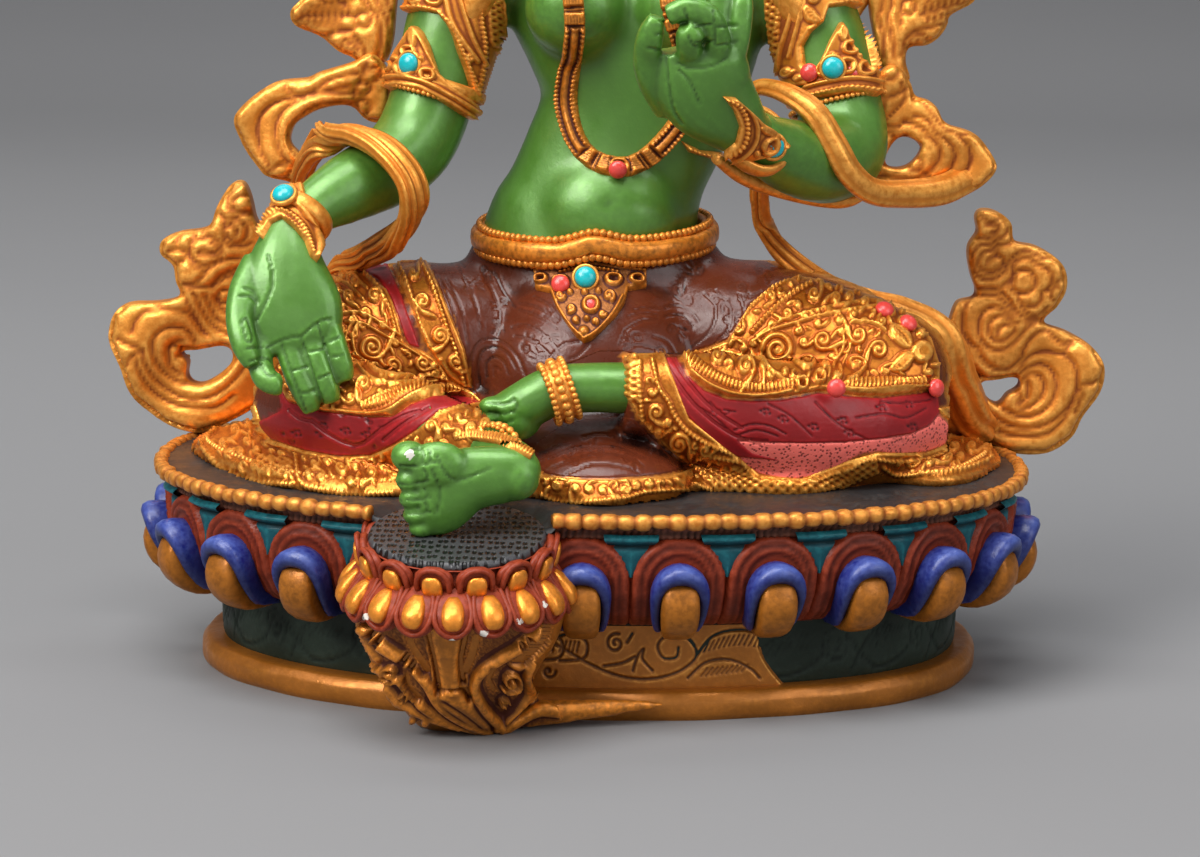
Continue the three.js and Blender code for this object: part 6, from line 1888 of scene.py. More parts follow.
HIGH_RIGHT_FAN = [
    (372, 52), (354, 61), (318, 72), (310, 77), (281, 80), (264, 88), (246, 102), (235, 115), (234, 124),
    (245, 149), (258, 166), (268, 176), (286, 180), (298, 184), (308, 165), (302, 153), (291, 141),
    (296, 123), (304, 118), (320, 109), (350, 105), (366, 120), (384, 122), (390, 100), (388, 70)]
HIGH_RIGHT_FLAME = [
    (345, -70), (300, -62), (318, -40), (284, -34), (300, -18), (318, -8), (306, -4), (291, 10), (292, 20),
    (298, 27), (320, 36), (330, 44), (340, 52), (352, 56), (360, 62), (372, 66), (386, 62), (394, 40),
    (398, 0), (402, -40), (396, -80), (366, -90)]
HIGH_LEFT_FAN = [
    (846, 168), (868, 192), (894, 199), (927, 202), (954, 200), (981, 186), (996, 170), (995, 160),
    (981, 139), (968, 130), (944, 122), (937, 107), (923, 97), (914, 100), (912, 86), (904, 72), (894, 64),
    (880, 70), (874, 100), (876, 130), (872, 150), (862, 162)]
HIGH_LEFT_EYE = [(884, 164), (893, 142), (905, 136), (920, 145), (915, 157), (903, 166)]
HIGH_LEFT_FLAME = [
    (868, -60), (880, -90), (910, -84), (950, -66), (936, -44), (966, -36), (950, -14), (975, -2),
    (971, 4), (948, 16), (948, 24), (938, 38), (924, 46), (908, 46), (905, 62), (910, 78), (900, 92),
    (886, 84), (878, 60), (872, 30), (868, 0)]


LOW_LEFT_GROOVES = crop_of((930, 195), 0.169, [
    [(265, 90), (295, 115), (325, 145), (365, 155), (400, 145), (435, 155), (460, 190), (455, 225),
     (420, 250), (370, 235)],
    [(330, 180), (380, 172), (408, 190), (388, 214), (355, 208)],
    [(225, 290), (260, 258), (320, 248), (375, 266), (410, 296), (470, 292), (490, 270)],
    [(400, 322), (350, 292), (290, 297), (250, 345), (245, 410), (275, 470), (330, 502), (390, 492),
     (440, 457),
     (465, 402), (520, 347), (580, 332), (640, 362), (690, 372), (720, 366)],
    [(395, 347), (355, 327), (310, 342), (285, 387), (295, 432), (340, 457), (395, 450), (430, 412),
     (420, 368),
     (385, 362), (350, 380), (342, 402)],
    [(430, 542), (478, 492), (490, 422), (530, 382), (590, 377), (640, 412), (690, 432), (715, 482),
     (700, 542),
     (660, 572), (652, 622), (620, 652), (570, 652)],
    [(475, 540), (500, 472), (550, 442), (600, 462), (620, 512), (600, 560), (550, 580), (500, 570),
     (475, 545)],
    [(715, 522), (760, 507), (800, 480)], [(690, 562), (725, 552), (760, 532)],
                                               [(722, 560), (716, 602), (730, 620)],
    [(520, 602), (545, 662), (590, 704), (650, 700), (690, 660)],
    [(262, 562), (340, 552), (420, 572), (470, 622), (512, 692), (560, 722), (620, 732), (660, 737)],
    [(255, 598), (212, 660), (190, 740), (200, 822), (240, 880), (290, 912)],
    [(280, 600), (340, 590), (400, 602), (450, 640), (500, 702)],
    [(480, 722), (430, 672), (370, 662), (310, 702), (290, 772), (300, 852), (350, 902), (420, 912),
     (480, 882),
     (530, 832), (570, 782), (620, 755)],
    [(490, 746), (440, 716), (390, 722), (350, 762), (350, 822), (390, 862), (440, 852), (480, 822),
     (500, 790)],
    [(520, 752), (440, 766), (402, 792), (396, 822)], [(560, 755), (620, 752), (655, 756)],
    [(290, 942), (340, 1002), (410, 1032), (470, 1022), (530, 972), (560, 902), (590, 852), (640, 812),
     (690, 802),
     (730, 840), (790, 880), (850, 857), (910, 866)],
    [(530, 1022), (580, 962), (640, 932), (720, 930), (800, 952), (850, 1002), (866, 1082), (850, 1172),
     (800, 1262),
     (720, 1332), (620, 1372), (520, 1376), (420, 1342), (340, 1272), (270, 1182), (220, 1082), (190, 982)],
    [(540, 1046), (600, 1012), (660, 1002), (710, 1032), (740, 1092), (735, 1172), (700, 1242), (640, 1292),
     (560, 1312), (480, 1292), (400, 1242), (330, 1162), (280, 1072)],
    [(570, 1062), (635, 1062), (670, 1112), (660, 1182), (610, 1242), (540, 1272)],
    [(870, 1102), (850, 1202), (820, 1262), (780, 1332), (700, 1402), (590, 1424), (490, 1422), (400, 1392),
     (310, 1312), (240, 1222), (190, 1112)],
    [(890, 1117), (950, 1112), (1000, 1082)], [(872, 1132), (892, 1172), (880, 1222), (850, 1290)],
    [(800, 952), (812, 902), (850, 880)], [(522, 1232), (532, 1192), (502, 1162), (460, 1167), (435, 1200)],
    [(562, 1078), (582, 1132), (572, 1202), (522, 1242)]])
LOW_RIGHT_GROOVES = crop_of((105, 170), 0.1659, [
    [(830, 55), (800, 100), (750, 150), (735, 200), (760, 240), (820, 250), (880, 240)],
    [(862, 150), (800, 162), (772, 192), (775, 222)],
                                                 [(688, 250), (722, 288), (782, 288), (850, 260), (905, 276)],
    circle(798, 370, 62, 3.6, 5.6), [(752, 346), (790, 350), (802, 372), (790, 392)],
    [(690, 276), (722, 316), (716, 390), (742, 442), (800, 462), (880, 442)],
    [(545, 312), (562, 352), (602, 387), (652, 402), (692, 432), (712, 482), (692, 512)],
    [(704, 502), (662, 442), (602, 417), (542, 427), (512, 472), (522, 522), (572, 560), (642, 560),
     (704, 530)],
    [(562, 500), (592, 482), (642, 490), (682, 505), (642, 516), (592, 516), (562, 500)],
    [(372, 490), (430, 480), (480, 492), (512, 532), (552, 580), (602, 600), (642, 582)],
    [(430, 442), (442, 402), (482, 376), (532, 402), (522, 432)], [(452, 345), (500, 372), (545, 392)],
    [(420, 562), (452, 552), (482, 540)],
    [(470, 682), (542, 676), (592, 640), (622, 600), (682, 562), (762, 530), (812, 530)],
    [(480, 706), (562, 702), (642, 692), (692, 642), (762, 602), (832, 592)],
    [(642, 716), (682, 682), (742, 642), (802, 632)], circle(722, 762, 42, 5.2, -5.4),
    [(470, 732), (502, 802), (542, 872), (582, 952), (620, 1002)],
    [(602, 746), (632, 812), (662, 882), (702, 922), (762, 932)],
                                                 [(662, 762), (692, 832), (742, 862), (775, 872)],
    [(522, 722), (552, 762), (592, 852), (642, 932), (702, 977), (772, 992)],
    [(270, 757), (302, 802), (362, 837), (442, 842), (502, 862), (552, 922), (592, 992)],
    [(160, 982), (190, 902), (250, 852), (330, 842)],
    [(546, 1042), (502, 972), (432, 942), (372, 952), (312, 992), (290, 1062), (312, 1152), (372, 1232),
     (452, 1282), (562, 1287), (662, 1262), (742, 1202), (800, 1122)],
    [(470, 1032), (432, 1030), (387, 1062), (382, 1122), (402, 1192), (452, 1232)],
    [(232, 1082), (242, 1152), (292, 1242), (372, 1322), (472, 1372), (582, 1376), (682, 1342), (772, 1272),
     (850, 1180)],
    [(182, 1122), (212, 1212), (272, 1312), (352, 1382), (462, 1422), (572, 1432), (680, 1420), (780, 1350)],
    [(70, 1012), (122, 1042), (192, 1062), (212, 1092)], [(192, 1102), (152, 1132), (140, 1180)],
    [(410, 1052), (452, 1072), (462, 1112), (430, 1130)], [(470, 1112), (520, 1122), (548, 1162)]])
FAN_RIGHT_GROOVES = crop_of((220, 0), 0.1913, [
    [(330, 425), (350, 470), (400, 497), (470, 482), (540, 442), (620, 402), (720, 382)],
    [(520, 452), (560, 422), (640, 402)],
    [(690, 442), (600, 462), (500, 482), (420, 502), (330, 522), (250, 562), (205, 622), (195, 702),
     (215, 792), (260, 862)],
    [(700, 482), (600, 484), (500, 497), (400, 532), (330, 582), (295, 652), (300, 742), (330, 812),
     (370, 852)],
    [(710, 532), (620, 536), (540, 542), (480, 562), (420, 602), (370, 662), (358, 732), (390, 802),
     (430, 840)],
    [(520, 592), (460, 612), (408, 652), (388, 722), (412, 782)],
                                               [(250, 902), (300, 866), (350, 852), (400, 862), (440, 872)],
    [(340, 932), (370, 902), (390, 872)], circle(455, 735, 36), circle(806, 340, 40, 2.6, 4.4),
                                               circle(806, 385, 34, 3.4, 4.4),
    circle(750, 462, 34, 4.0, 5.0), circle(740, 562, 40, 4.0, 5.4),
                                               [(690, 640), (720, 560), (700, 480), (740, 400), (760, 330)]])
FLAME_RIGHT_GROOVES = crop_of((220, 0), 0.1913, [
    [(395, 110), (450, 82), (530, 76), (620, 76), (700, 88)],
    *[[(430 + 34 * k, 84 - 2 * k), (418 + 34 * k, 44 - 6 * k)] for k in range(8)],
    *[[(430 + 34 * k, 88), (420 + 34 * k, 128 + 3 * k)] for k in range(7)],
    [(400, 142), (520, 192), (600, 162), (700, 152)], circle(750, 105, 40),
    [(700, -160), (770, 20), (822, 80), (842, 160), (836, 250), (820, 300)],
    [(760, -160), (830, 20), (872, 90), (886, 180), (870, 290)],
                                                 [(820, -160), (880, 20), (905, 80), (915, 170), (905, 290)],
    [(545, 200), (620, 172), (690, 182), (742, 232), (762, 290)], circle(684, 238, 44, 2.4, 6.6),
                                                 circle(684, 238, 18, 2.4, 5.0),
    [(600, -300), (520, -180), (480, -60), (560, 20)], [(680, -300), (620, -160), (600, -40), (650, 30)],
    [(740, -400), (700, -260), (690, -120), (700, 0)],
    *[[(470 + 40 * k, -200 + 30 * k), (520 + 40 * k, -160 + 30 * k)] for k in range(5)]])
FAN_LEFT_GROOVES = crop_of((660, 0), 0.2232, [
    [(1130, 432), (1180, 462), (1230, 522), (1270, 572), (1320, 592), (1380, 602)],
    [(1190, 602), (1240, 642), (1250, 702), (1210, 762), (1150, 786)],
    [(1250, 602), (1300, 642), (1320, 702), (1290, 772), (1220, 812)],
    [(1330, 602), (1380, 652), (1392, 722), (1350, 792), (1270, 832)],
    [(1090, 542), (1150, 562), (1200, 592)], [(850, 772), (910, 832), (1000, 858), (1100, 850), (1180, 812),
                                              (1200, 852), (1260, 862)],
    [(860, 702), (930, 762), (1020, 792), (1120, 802), (1200, 792)], circle(1140, 735, 30),
    circle(1030, 310, 42), [(1080, 372), (1100, 432), (1050, 502), (1000, 542)],
                                              [(1130, 382), (1060, 422), (1010, 440)],
    [(985, 402), (1000, 472), (990, 530)], [(1080, 260), (1100, 330), (1140, 372)],
                                              [(980, 560), (1060, 570), (1100, 540)],
    [(970, 600), (1040, 602), (1060, 640)], [(1140, 520), (1200, 540), (1240, 600)]])
FLAME_LEFT_GROOVES = crop_of((660, 0), 0.2232, [
    [(980, -200), (1000, 0), (980, 80), (1000, 160), (1000, 260)],
                                                [(1020, -200), (1040, 0), (1022, 80), (1040, 180),
                                                 (1050, 260)],
    [(1070, -200), (1090, 0), (1072, 60), (1080, 112)], circle(1110, 35, 32),
                                                [(1080, 262), (1090, 192), (1130, 142), (1200, 122),
                                                 (1290, 102)],
    circle(1160, 185, 36, 2.0, 6.6), circle(1160, 185, 14, 2.0, 5.0),
                                                [(1170, 62), (1240, 42), (1320, 22), (1400, 2)],
    *[[(1190 + 30 * k, 58 - 7 * k), (1180 + 30 * k, 20 - 8 * k)] for k in range(7)],
    *[[(1190 + 30 * k, 62 - 7 * k), (1200 + 30 * k, 96 - 8 * k)] for k in range(6)],
    [(1120, -300), (1180, -200), (1240, -120)], [(1100, -200), (1180, -120), (1280, -60)],
    [(1060, -260), (1100, -160), (1160, -60), (1200, 0)]])


LOW_ENDS_AT = 18  # y of the scarf's two lower ends


def scarf_ends():
    def low_end(outline, eye, *carving):
        outline, eye = (outline_at(line, LOW_ENDS_AT) for line in (outline, eye))
        return flare(outline, LOW_ENDS_AT, 5.6, carving[0], eye, *carving[1:])

    ends = {
        "scarf_low_left": [low_end(LOW_LEFT, LOW_LEFT_EYE, LOW_LEFT_GROOVES)],
        "scarf_low_right": [low_end(LOW_RIGHT, LOW_RIGHT_EYE, LOW_RIGHT_GROOVES,
                                    [(176, 350, 5), (186, 358, 5)])],
        "scarf_high_left": [flare(HIGH_LEFT_FAN, 3, 4.8, FAN_LEFT_GROOVES, HIGH_LEFT_EYE),
                            flare(HIGH_LEFT_FLAME, 9, 4.6, FLAME_LEFT_GROOVES)],
        "scarf_high_right": [flare(HIGH_RIGHT_FAN, 8, 4.6, FAN_RIGHT_GROOVES),
                             flare(HIGH_RIGHT_FLAME, 10, 4.6, FLAME_RIGHT_GROOVES)],
    }
    for name, forms in ends.items():
        piece(name, forms, finishes()["gold_paint"], "gold_paint")


def ridged(count, depth):
    """Lengthwise folds on the front of a strap."""
    def relief(angle, v):
        return depth * np.cos(np.cos(angle) * math.pi * count) * (np.abs(np.sin(angle)) ** 0.5)
    return relief


def scarf_straps():
    gold = finishes()["gold_paint"]
    loop = limb(raised([
        (-55.4, 4, 52, 2.2, 1.6), (-53.4, -1, 56.5, 2.8, 1.6), (-49.8, -6.6, 60.6, 3.2, 1.6),
        (-43.6, -12, 61.8, 3.4, 1.6), (-37.6, -16.6, 59.8, 3.4, 1.6), (-33, -19, 55, 3.4, 1.6),
        (-32.2, -18, 49.6, 3.4, 1.6), (-35.4, -13, 43.8, 3.0, 1.6), (-41, -6, 39.6, 2.4, 1.8),
        (-47, 1, 36, 2.2, 2.0), (-51, 8, 30, 2.6, 2.2)]), 44, 90, (0.62, -0.45, 0.3), 2.6, ridged(4, 0.5))
    ribbon = limb(raised([
        (28.6, -7, 70.6, 1.2, 1.0), (31.2, -9, 71.4, 1.6, 1.2), (35.6, -14.4, 70.4, 2.0, 1.3),
        (40, -18, 67.4, 2.3, 1.4), (43.6, -19, 61.8, 2.4, 1.4), (46.6, -18, 56.8, 2.4, 1.5),
        (51, -14.6, 53.2, 2.4, 1.6), (57.4, -8.4, 52.2, 2.6, 1.7), (64.5, -2.6, 52.4, 2.8, 1.8),
        (70, 3, 54.4, 2.8, 1.8)]), 24, 80, (0.2, -0.9, 0.35), 2.8, ridged(1.6, 0.34))
    under = limb(raised([
        (22.4, -24, 59.6, 1.0, 1.2), (27, -18.4, 56, 1.4, 1.5), (33, -12.6, 53.4, 1.6, 1.7),
        (41.8, -7.4, 51.2, 1.8, 1.9), (47, -6, 50.9, 1.6, 1.8), (51, -5.6, 52.4, 0.8, 1.2)]),
                 16, 40, (0, -1, 0), 2.6)
    strand = limb(raised([
        (30.6, -8.6, 54.4, 1.7, 1.3), (30.8, -5, 50, 1.5, 1.3), (32.2, 0, 44.6, 1.6, 1.4),
        (36.4, 3.6, 38.8, 1.9, 1.5), (44.8, 3.4, 32.8, 2.2, 1.9), (52, 1.6, 30, 2.8, 2.2),
        (58.5, 1, 28, 3.4, 2.6), (65.5, 2.6, 23.6, 3.8, 3.2), (69.8, 8, 14.5, 3.8, 3.4),
        (73.4, 13, 7, 3.6, 3.2), (76, 16, 3.4, 3, 2.6)]), 28, 110, (-0.35, -0.75, 0.55),
                  2.6, ridged(2.4, 0.45))
    tail = limb(raised([(-44, 12, 21, 5, 4), (-52, 15, 16, 5, 4), (-59, 18, 11.6, 4.6, 3.6),
                        (-66, 19, 8, 4, 3)]), 20, 30, (0, -1, 0), 2.4, ridged(2.4, 0.3))
    piece("scarf_straps", [loop, ribbon, under, strand, tail], gold, "gold_paint")


# Head, hair, crown and what rises beside the shoulders, all outside the photograph
def head_and_hair():
    front = lambda x, y, z, *size: (HEAD_X + x, y, SEAT + z, *size)
    face = [skin_limb(HEAD, 40, 2.2)]
    cheeks = [ball(front(s * 4.4, -1.6, 115.6), (4.6, 4.2, 4.6)) for s in (-1, 1)]
    chin = ball(front(0, -3.4, 109), (3.6, 3.2, 2.8))
    nose = limb([front(0, -5.4, 123, 1.1, 1.2), front(0, -7.0, 119.6, 1.3, 1.4),
                 front(0, -7.9, 117, 1.7, 1.7), front(0, -6.6, 115.6, 1.5, 1.0)], 16, 18)
    wings = [ball(front(s * 1.5, -6.3, 116.5), (1.0, 1.2, 0.9)) for s in (-1, 1)]
    lips = [limb([front(-3, -4.9, 112.8, 0.3, 0.3), front(-1.1, -6.2, 113.3, 0.75, 0.6),
                  front(0, -6.4, 113.1, 0.6, 0.6), front(1.1, -6.2, 113.3, 0.75, 0.6),
                  front(3, -4.9, 112.8, 0.3, 0.3)], 12, 20, (0, -1, 0)),
            limb([front(-2.4, -5.1, 112.2, 0.3, 0.3), front(0, -6.2, 111.7, 0.9, 0.7),
                  front(2.4, -5.1, 112.2, 0.3, 0.3)], 12, 16, (0, -1, 0))]
    brows = [limb([front(s * 1.6, -5.6, 122.6, 0.4, 0.4), front(s * 4.2, -4.9, 123.8, 0.6, 0.5),
                   front(s * 7.6, -2.4, 122.6, 0.3, 0.3)], 10, 16, (0, -1, 0)) for s in (-1, 1)]
    lids = [ball(front(s * 4.3, -3.4, 119.8), (2.5, 1.5, 1.25), 20, 12) for s in (-1, 1)]
    ears = [limb([front(s * 10.6, 6.4, 123.6, 1.0, 2.2), front(s * 11.2, 6.2, 121, 1.3, 2.8),
                  front(s * 11, 6, 117, 1.2, 2.0), front(s * 10.8, 5.6, 110.5, 1.3, 1.5),
                  front(s * 10.6, 5.4, 107.6, 1.1, 1.4)], 14, 24) for s in (-1, 1)]
    neck = skin_limb([(7, 10, 101, 8.4, 7.6), (7.3, 8.6, 108, 7, 7), (7.4, 8, 113, 7.4, 7.4)], 28)
    head = cast(face + cheeks + [chin, nose, neck] + wings + lips + brows + lids + ears, 0.68, 2)
    points = coordinates(head)
    x, z = points[:, 0] - HEAD_X, points[:, 2] - SEAT
    eye = np.abs(x) - 4.3
    lids_meet = np.exp(-((z - 119.1 - 0.10 * eye**2) / 0.24) ** 2) * (np.abs(eye) < 2.6)
    mouth = np.exp(-((z - 112.5 + 0.03 * x**2) / 0.2) ** 2) * (np.abs(x) < 2.9)
    line = (lids_meet + mouth) * (points[:, 1] < 0)
    set_coordinates(head, points - vertex_normals(head) * (0.22 * line)[:, None])
    set_values(head, "ink", np.clip(line, 0, 0.9))
    piece("head", [head], finishes()["green_skin_paint"], "green_skin_paint")

    def strands(turns, depth):
        return lambda angle, v: depth * np.cos(turns * angle + 5 * v)

    hair = [limb([front(0, 8.6, 140, 3, 3), front(0, 9.4, 137.4, 9, 9), front(0, 10.6, 132, 12, 11.6),
                  front(0, 12, 126, 12.2, 11), front(0, 13.4, 119, 11, 9), front(0, 14.6, 112, 9, 6.6)],
                 60, 30, (0, -1, 0), 2, strands(15, 0.25)),
            limb([front(0, 10, 134, 5, 5), front(0, 10, 138.4, 7.6, 7.6), front(0, 10, 143, 7.2, 7.2),
                  front(0, 10, 146, 4.2, 4.2), front(0, 10, 149.4, 5.2, 5.2), front(0, 10, 152.6, 3.4, 3.4),
                  front(0, 10, 153.4, 1, 1)], 56, 30, (0, -1, 0), 2, strands(14, 0.25)),
            limb([front(0, 17, 130, 8, 5), front(-0.2, 20.6, 114, 11, 4.8), front(-0.5, 22, 98, 13, 4.2),
                  front(-0.5, 22, 86, 9.6, 4), front(-0.5, 21.4, 80, 3, 2.6)], 56, 30, (0, -1, 0), 2.3,
                 strands(14, 0.26))]
    piece("hair", hair, finishes()["hair_paint"], "hair_paint")


def crown_leaf(height):
    board = Board((-7, -4), (7, height + 2), 0.12)
    for s in (-1, 1):
        board.spiral((s * 2.5, 1.6), 1.6, 1.3, s, 0, 0.5)
        board.spiral((s * 2.2, height * 0.36), 1.7, 1.3, -s, 1, 0.5)
        board.stroke([(s * 4.4, 0), (s * 4.5, height * 0.3), (s * 2.9, height * 0.6), (0, height * 0.95)],
                     0.8)
    board.dab((0, height * 0.34), 1.7, 1.3, 0.4)
    board.stroke([(0, height * 0.5), (0, height * 0.85)], 0.8)

    def place(u, v):
        z = -1.6 + (height + 1.6) * (0.5 - 0.5 * np.cos(math.pi * u))
        half = np.interp(z, [-1.6, 1.4, height * 0.3, height * 0.62, height * 0.8, height],
                         [3.6, 4.9, 5.1, 3.4, 1.6, 0])
        angle = math.tau * v
        across = half * np.cos(angle)
        deep = 1.1 * np.sin(angle)
        drawn = board.read(across, z) * (deep < 0)
        return np.stack([across, deep - 0.6 * drawn, z], 1)

    return surface(20, 20, place)


def crown():
    gold = finishes()["gold_paint"]
    forms = [hoop(ring_path((HEAD_X, 6.5, 128), (12.3, 13.4)), 1.9, 1.0, 90, 10),
             bead_ring(ring_path((HEAD_X, 6.5, 130.4), (12.5, 13.6)), 0.7, 1.4),
             bead_ring(ring_path((HEAD_X, 6.5, 125.8), (12.5, 13.6)), 0.7, 1.4)]
    middle = (HEAD_X, 6.5, SEAT + 130)
    for degrees, height in ((0, 17), (-48, 14.5), (48, 14.5), (-92, 12), (92, 12)):
        turn = Matrix.Rotation(math.radians(degrees), 3, "Z")
        lean = np.array(turn @ Matrix.Rotation(math.radians(-8), 3, "X"))
        shift = np.array(turn @ Vector((0, -13.4, 0)))
        forms.append(moved(crown_leaf(height), lambda p, m=lean, s=shift: p @ m.T + s + middle))
    finial = [(152, 4.2), (153.4, 4.4), (154.6, 2.2), (156, 2.0), (158.6, 3.2), (161, 2.2),
              (163, 1.2), (165.6, 0.3)]
    forms.append(limb(raised([(HEAD_X, 10, z, size) for z, size in finial]), 24, 44))
    for s in (-1, 1):
        x = HEAD_X + s * 11.6
        forms += [ball((x, 4.6, SEAT + 106.4), (2.6, 2.2, 2.9), 20, 12),
                  ball((x, 4.6, SEAT + 102.9), (1.3, 1.3, 1.6), 12, 8),
                  bead_ring(ring_path((x, 4.6, 106.4), (2.9, 2.5), (90, 0, 0)), 0.5, 1.0)]
    forms += [hoop(ring_path((7, 7.6, 99.6), (12.6, 11.2), (14, 0, 0)), 2.3, 1.1, 140, 12),
              bead_ring(ring_path((7, 7.4, 97.2), (13.2, 11.8), (14, 0, 0)), 0.8, 1.6),
              bead_ring(ring_path((7, 7.6, 102), (12.2, 10.8), (14, 0, 0)), 0.7, 1.4)]
    piece("crown", forms, gold, "gold_paint")


def shoulder_flowers():
    forms, shawls = [], []
    for flip, x in ((-1, -18), (1, 32)):
        at = lambda dx, y, z, *size: (x + flip * dx, y, z, *size)
        forms.append(limb(raised([at(15, 9, 84, 2.2, 1.8), at(22, 10, 96, 1.6, 1.6),
                                  at(21, 10, 108, 1.4, 1.4),
                                  at(17, 10, 114, 1.6, 1.6)]), 14, 40))
        centre = at(17, 10, 113)
        for tier, (count, reach, rise) in enumerate(((8, 6.2, 9), (8, 5.2, 13), (6, 2.8, 17))):
            for k in range(count):
                turn = math.tau * (k + 0.5 * tier) / count
                c, s = math.cos(turn), math.sin(turn)
                spot = lambda r, z, *size: (centre[0] + r * c, centre[1] + r * s * 0.86,
                                            centre[2] + z, *size)
                forms.append(limb(raised([spot(0.6, 0, 0.6, 0.6), spot(reach * 0.75, rise * 0.3, 2.0, 0.8),
                                          spot(reach, rise * 0.66, 2.2, 0.7),
                                          spot(reach * 0.86, rise, 0.4, 0.3)]),
                                  8, 12, (c, s, 0.3)))
        for way in (1, -1):
            forms.append(limb(raised([at(18, 10, 107, 0.8, 0.6), at(18 + way * 4, 10, 110, 2.2, 0.9),
                                      at(18 + way * 8, 10, 111.4, 2.4, 0.8),
                                      at(18 + way * 12, 10, 108.6, 0.4, 0.3)]),
                              10, 20, (0, -0.5, 0.8)))
        shawls.append(limb(raised([at(-8, 8, 101, 6.4, 2.4), at(-2, 7.4, 99.6, 8.6, 3.4),
                                   at(4, 6, 94, 9.8, 4.4),
                                   at(7.4, 5, 88, 9.8, 4.6), at(9.6, 4.6, 81, 7.4, 4.4),
                                   at(10.6, 4.4, 76, 4, 3.6)]),
                           36, 60, (flip * 0.6, -0.5, 0.5), 2.4, ridged(4, 0.22)))
    piece("shoulder_flowers", forms, finishes()["gold_paint"], "gold_paint")
    piece("shawls", shawls, finishes()["gold_paint"], "gold_paint")


# The lotus under the right foot, on its leafed bracket
def foot_lotus():
    finish = finishes()
    x0, y0 = FOOT_LOTUS

    def around(form, radius, z, turn):
        c, s = math.cos(turn), math.sin(turn)

        def change(p):
            out = radius + p[:, 1]
            return np.stack([x0 + out * c - p[:, 0] * s, y0 + out * s + p[:, 0] * c, z + p[:, 2]], 1)

        return moved(form, change)

    def leaning(p):
        share = np.clip((p[:, 2] - PAD_TOP + 12) / 9, 0.35, 1)
        return p + np.outer(share * (pad_height(p[:, 1]) - PAD_TOP), (0, 0, 1))

    mirrored = lambda half: half + [(-x, *rest) for x, *rest in reversed(half[:-1])]
    small = limb([(0, -1.2, 0, 3.1, 0.9), (0, -0.3, 1.4, 3.4, 1.1), (0, 0.5, 3.0, 3.4, 1.1),
                  (0, 1.1, 4.6, 3.1, 0.9), (0, 1.4, 5.6, 1.6, 0.6)], 14, 12, (0, 1, 0), 2.8)
    rim = limb(mirrored([(-2.5, 0.5, 0.2, 0.45, 0.45), (-2.8, 1.4, 2.0, 0.5, 0.5), (-2.5, 2.0, 4.2, 0.5, 0.5),
                         (-1.4, 2.3, 5.3, 0.5, 0.5), (0, 2.4, 5.6, 0.5, 0.5)]), 6, 18, (0, 1, 0))
    small_boss = limb([(0, 0.3, 0.2, 1.3, 0.5), (0, 1.3, 0.9, 1.7, 0.8), (0, 2.0, 2.6, 1.75, 0.8),
                       (0, 2.3, 3.9, 1.5, 0.6), (0, 2.2, 4.4, 0.8, 0.4)], 12, 10, (0, 1, 0), 3.2)
    large = limb([(0, -4, 1, 2.6, 0.9), (0, -1.8, 0.2, 3.1, 1.2), (0, 0.4, -1.4, 3.5, 1.3),
                  (0, 1.9, -3.6, 3.7, 1.4),
                  (0, 2.6, -5.4, 3.5, 1.3), (0, 2.6, -6.6, 2.8, 1.0), (0, 2.3, -7.3, 1.6, 0.6)], 16, 16,
                 (0, 0.8, 0.6), 2.6)
    large_rim = limb(mirrored([(-2.2, 0.2, 0.4, 0.45, 0.45), (-2.8, 1.6, -1.6, 0.52, 0.52),
                               (-3.1, 3.2, -3.8, 0.52, 0.52), (-2.6, 3.8, -5.6, 0.52, 0.52),
                               (-1.4, 3.7, -6.8, 0.52, 0.52), (0, 3.6, -7.2, 0.52, 0.52)]),
                     6, 24, (0, 1, 0.4))
    large_boss = limb([(0, 1.0, -0.6, 0.9, 0.5), (0, 2.2, -1.8, 1.7, 1.0), (0, 3.4, -3.5, 1.95, 1.3),
                       (0, 4.0, -5.0, 1.7, 1.1), (0, 3.7, -5.9, 0.9, 0.5)], 12, 12, (0, 0.8, 0.6), 2.6)
    petals, bosses = [], []
    for count, start, z, radius, pair, boss_radius, boss in (
            (14, 0.1, PAD_TOP - 6.3, 14.9, (small, rim), 15.0, small_boss),
            (18, 0.6, PAD_TOP - 5.2, 16.0, (large, large_rim), 16.0, large_boss)):
        for k in range(count):
            turn = math.tau * (k + start) / count
            petals += [around(form, radius, z, turn) for form in pair]
            bosses.append(around(boss, boss_radius, z, turn))
    petals.append(turned([(0.01, -12), (9, -12), (12.5, -9), (15.2, -5.2), (14.6, -2), (14.6, -1.2),
                          (0.01, -1.2)], 64, 30))
    made = piece("foot_lotus_petals", [moved(form, leaning) for form in petals], finish["rust_petal_paint"],
                 "rust_petal_paint")
    chip_low_tips(made)
    piece("foot_lotus_bosses", [moved(form, leaning) for form in bosses], finish["boss_gold"], "gold_paint")

    def pad(u, v):
        radius = np.interp(v, [0, 0.8, 0.94, 1], [0.02, 14.6, 15.4, 15.2])
        angle = math.tau * u
        x, y = x0 + radius * np.cos(angle), y0 + radius * np.sin(angle)
        fall = smoothstep(0.86, 1, v) * (0.5 + 0.9 * smoothstep(-48, -54, y))
        return np.stack([x, y, pad_height(y) - fall], 1)

    piece("foot_lotus_pad", [surface(120, 16, pad)], finish["black_pad_paint"], "black_seat_paint")


def turned(profile, columns, rows):
    """A round form about the foot lotus's axis, from a profile of radius and height over its pad."""
    def place(u, v):
        r, z = spline([(r, z + PAD_TOP) for r, z in profile], v).T
        r = np.maximum(r, 0)
        x, y = (r * way(math.tau * u) for way in (np.cos, np.sin))
        return np.stack([FOOT_LOTUS[0] + x, FOOT_LOTUS[1] + y, z], 1)

    return surface(columns, rows, place)


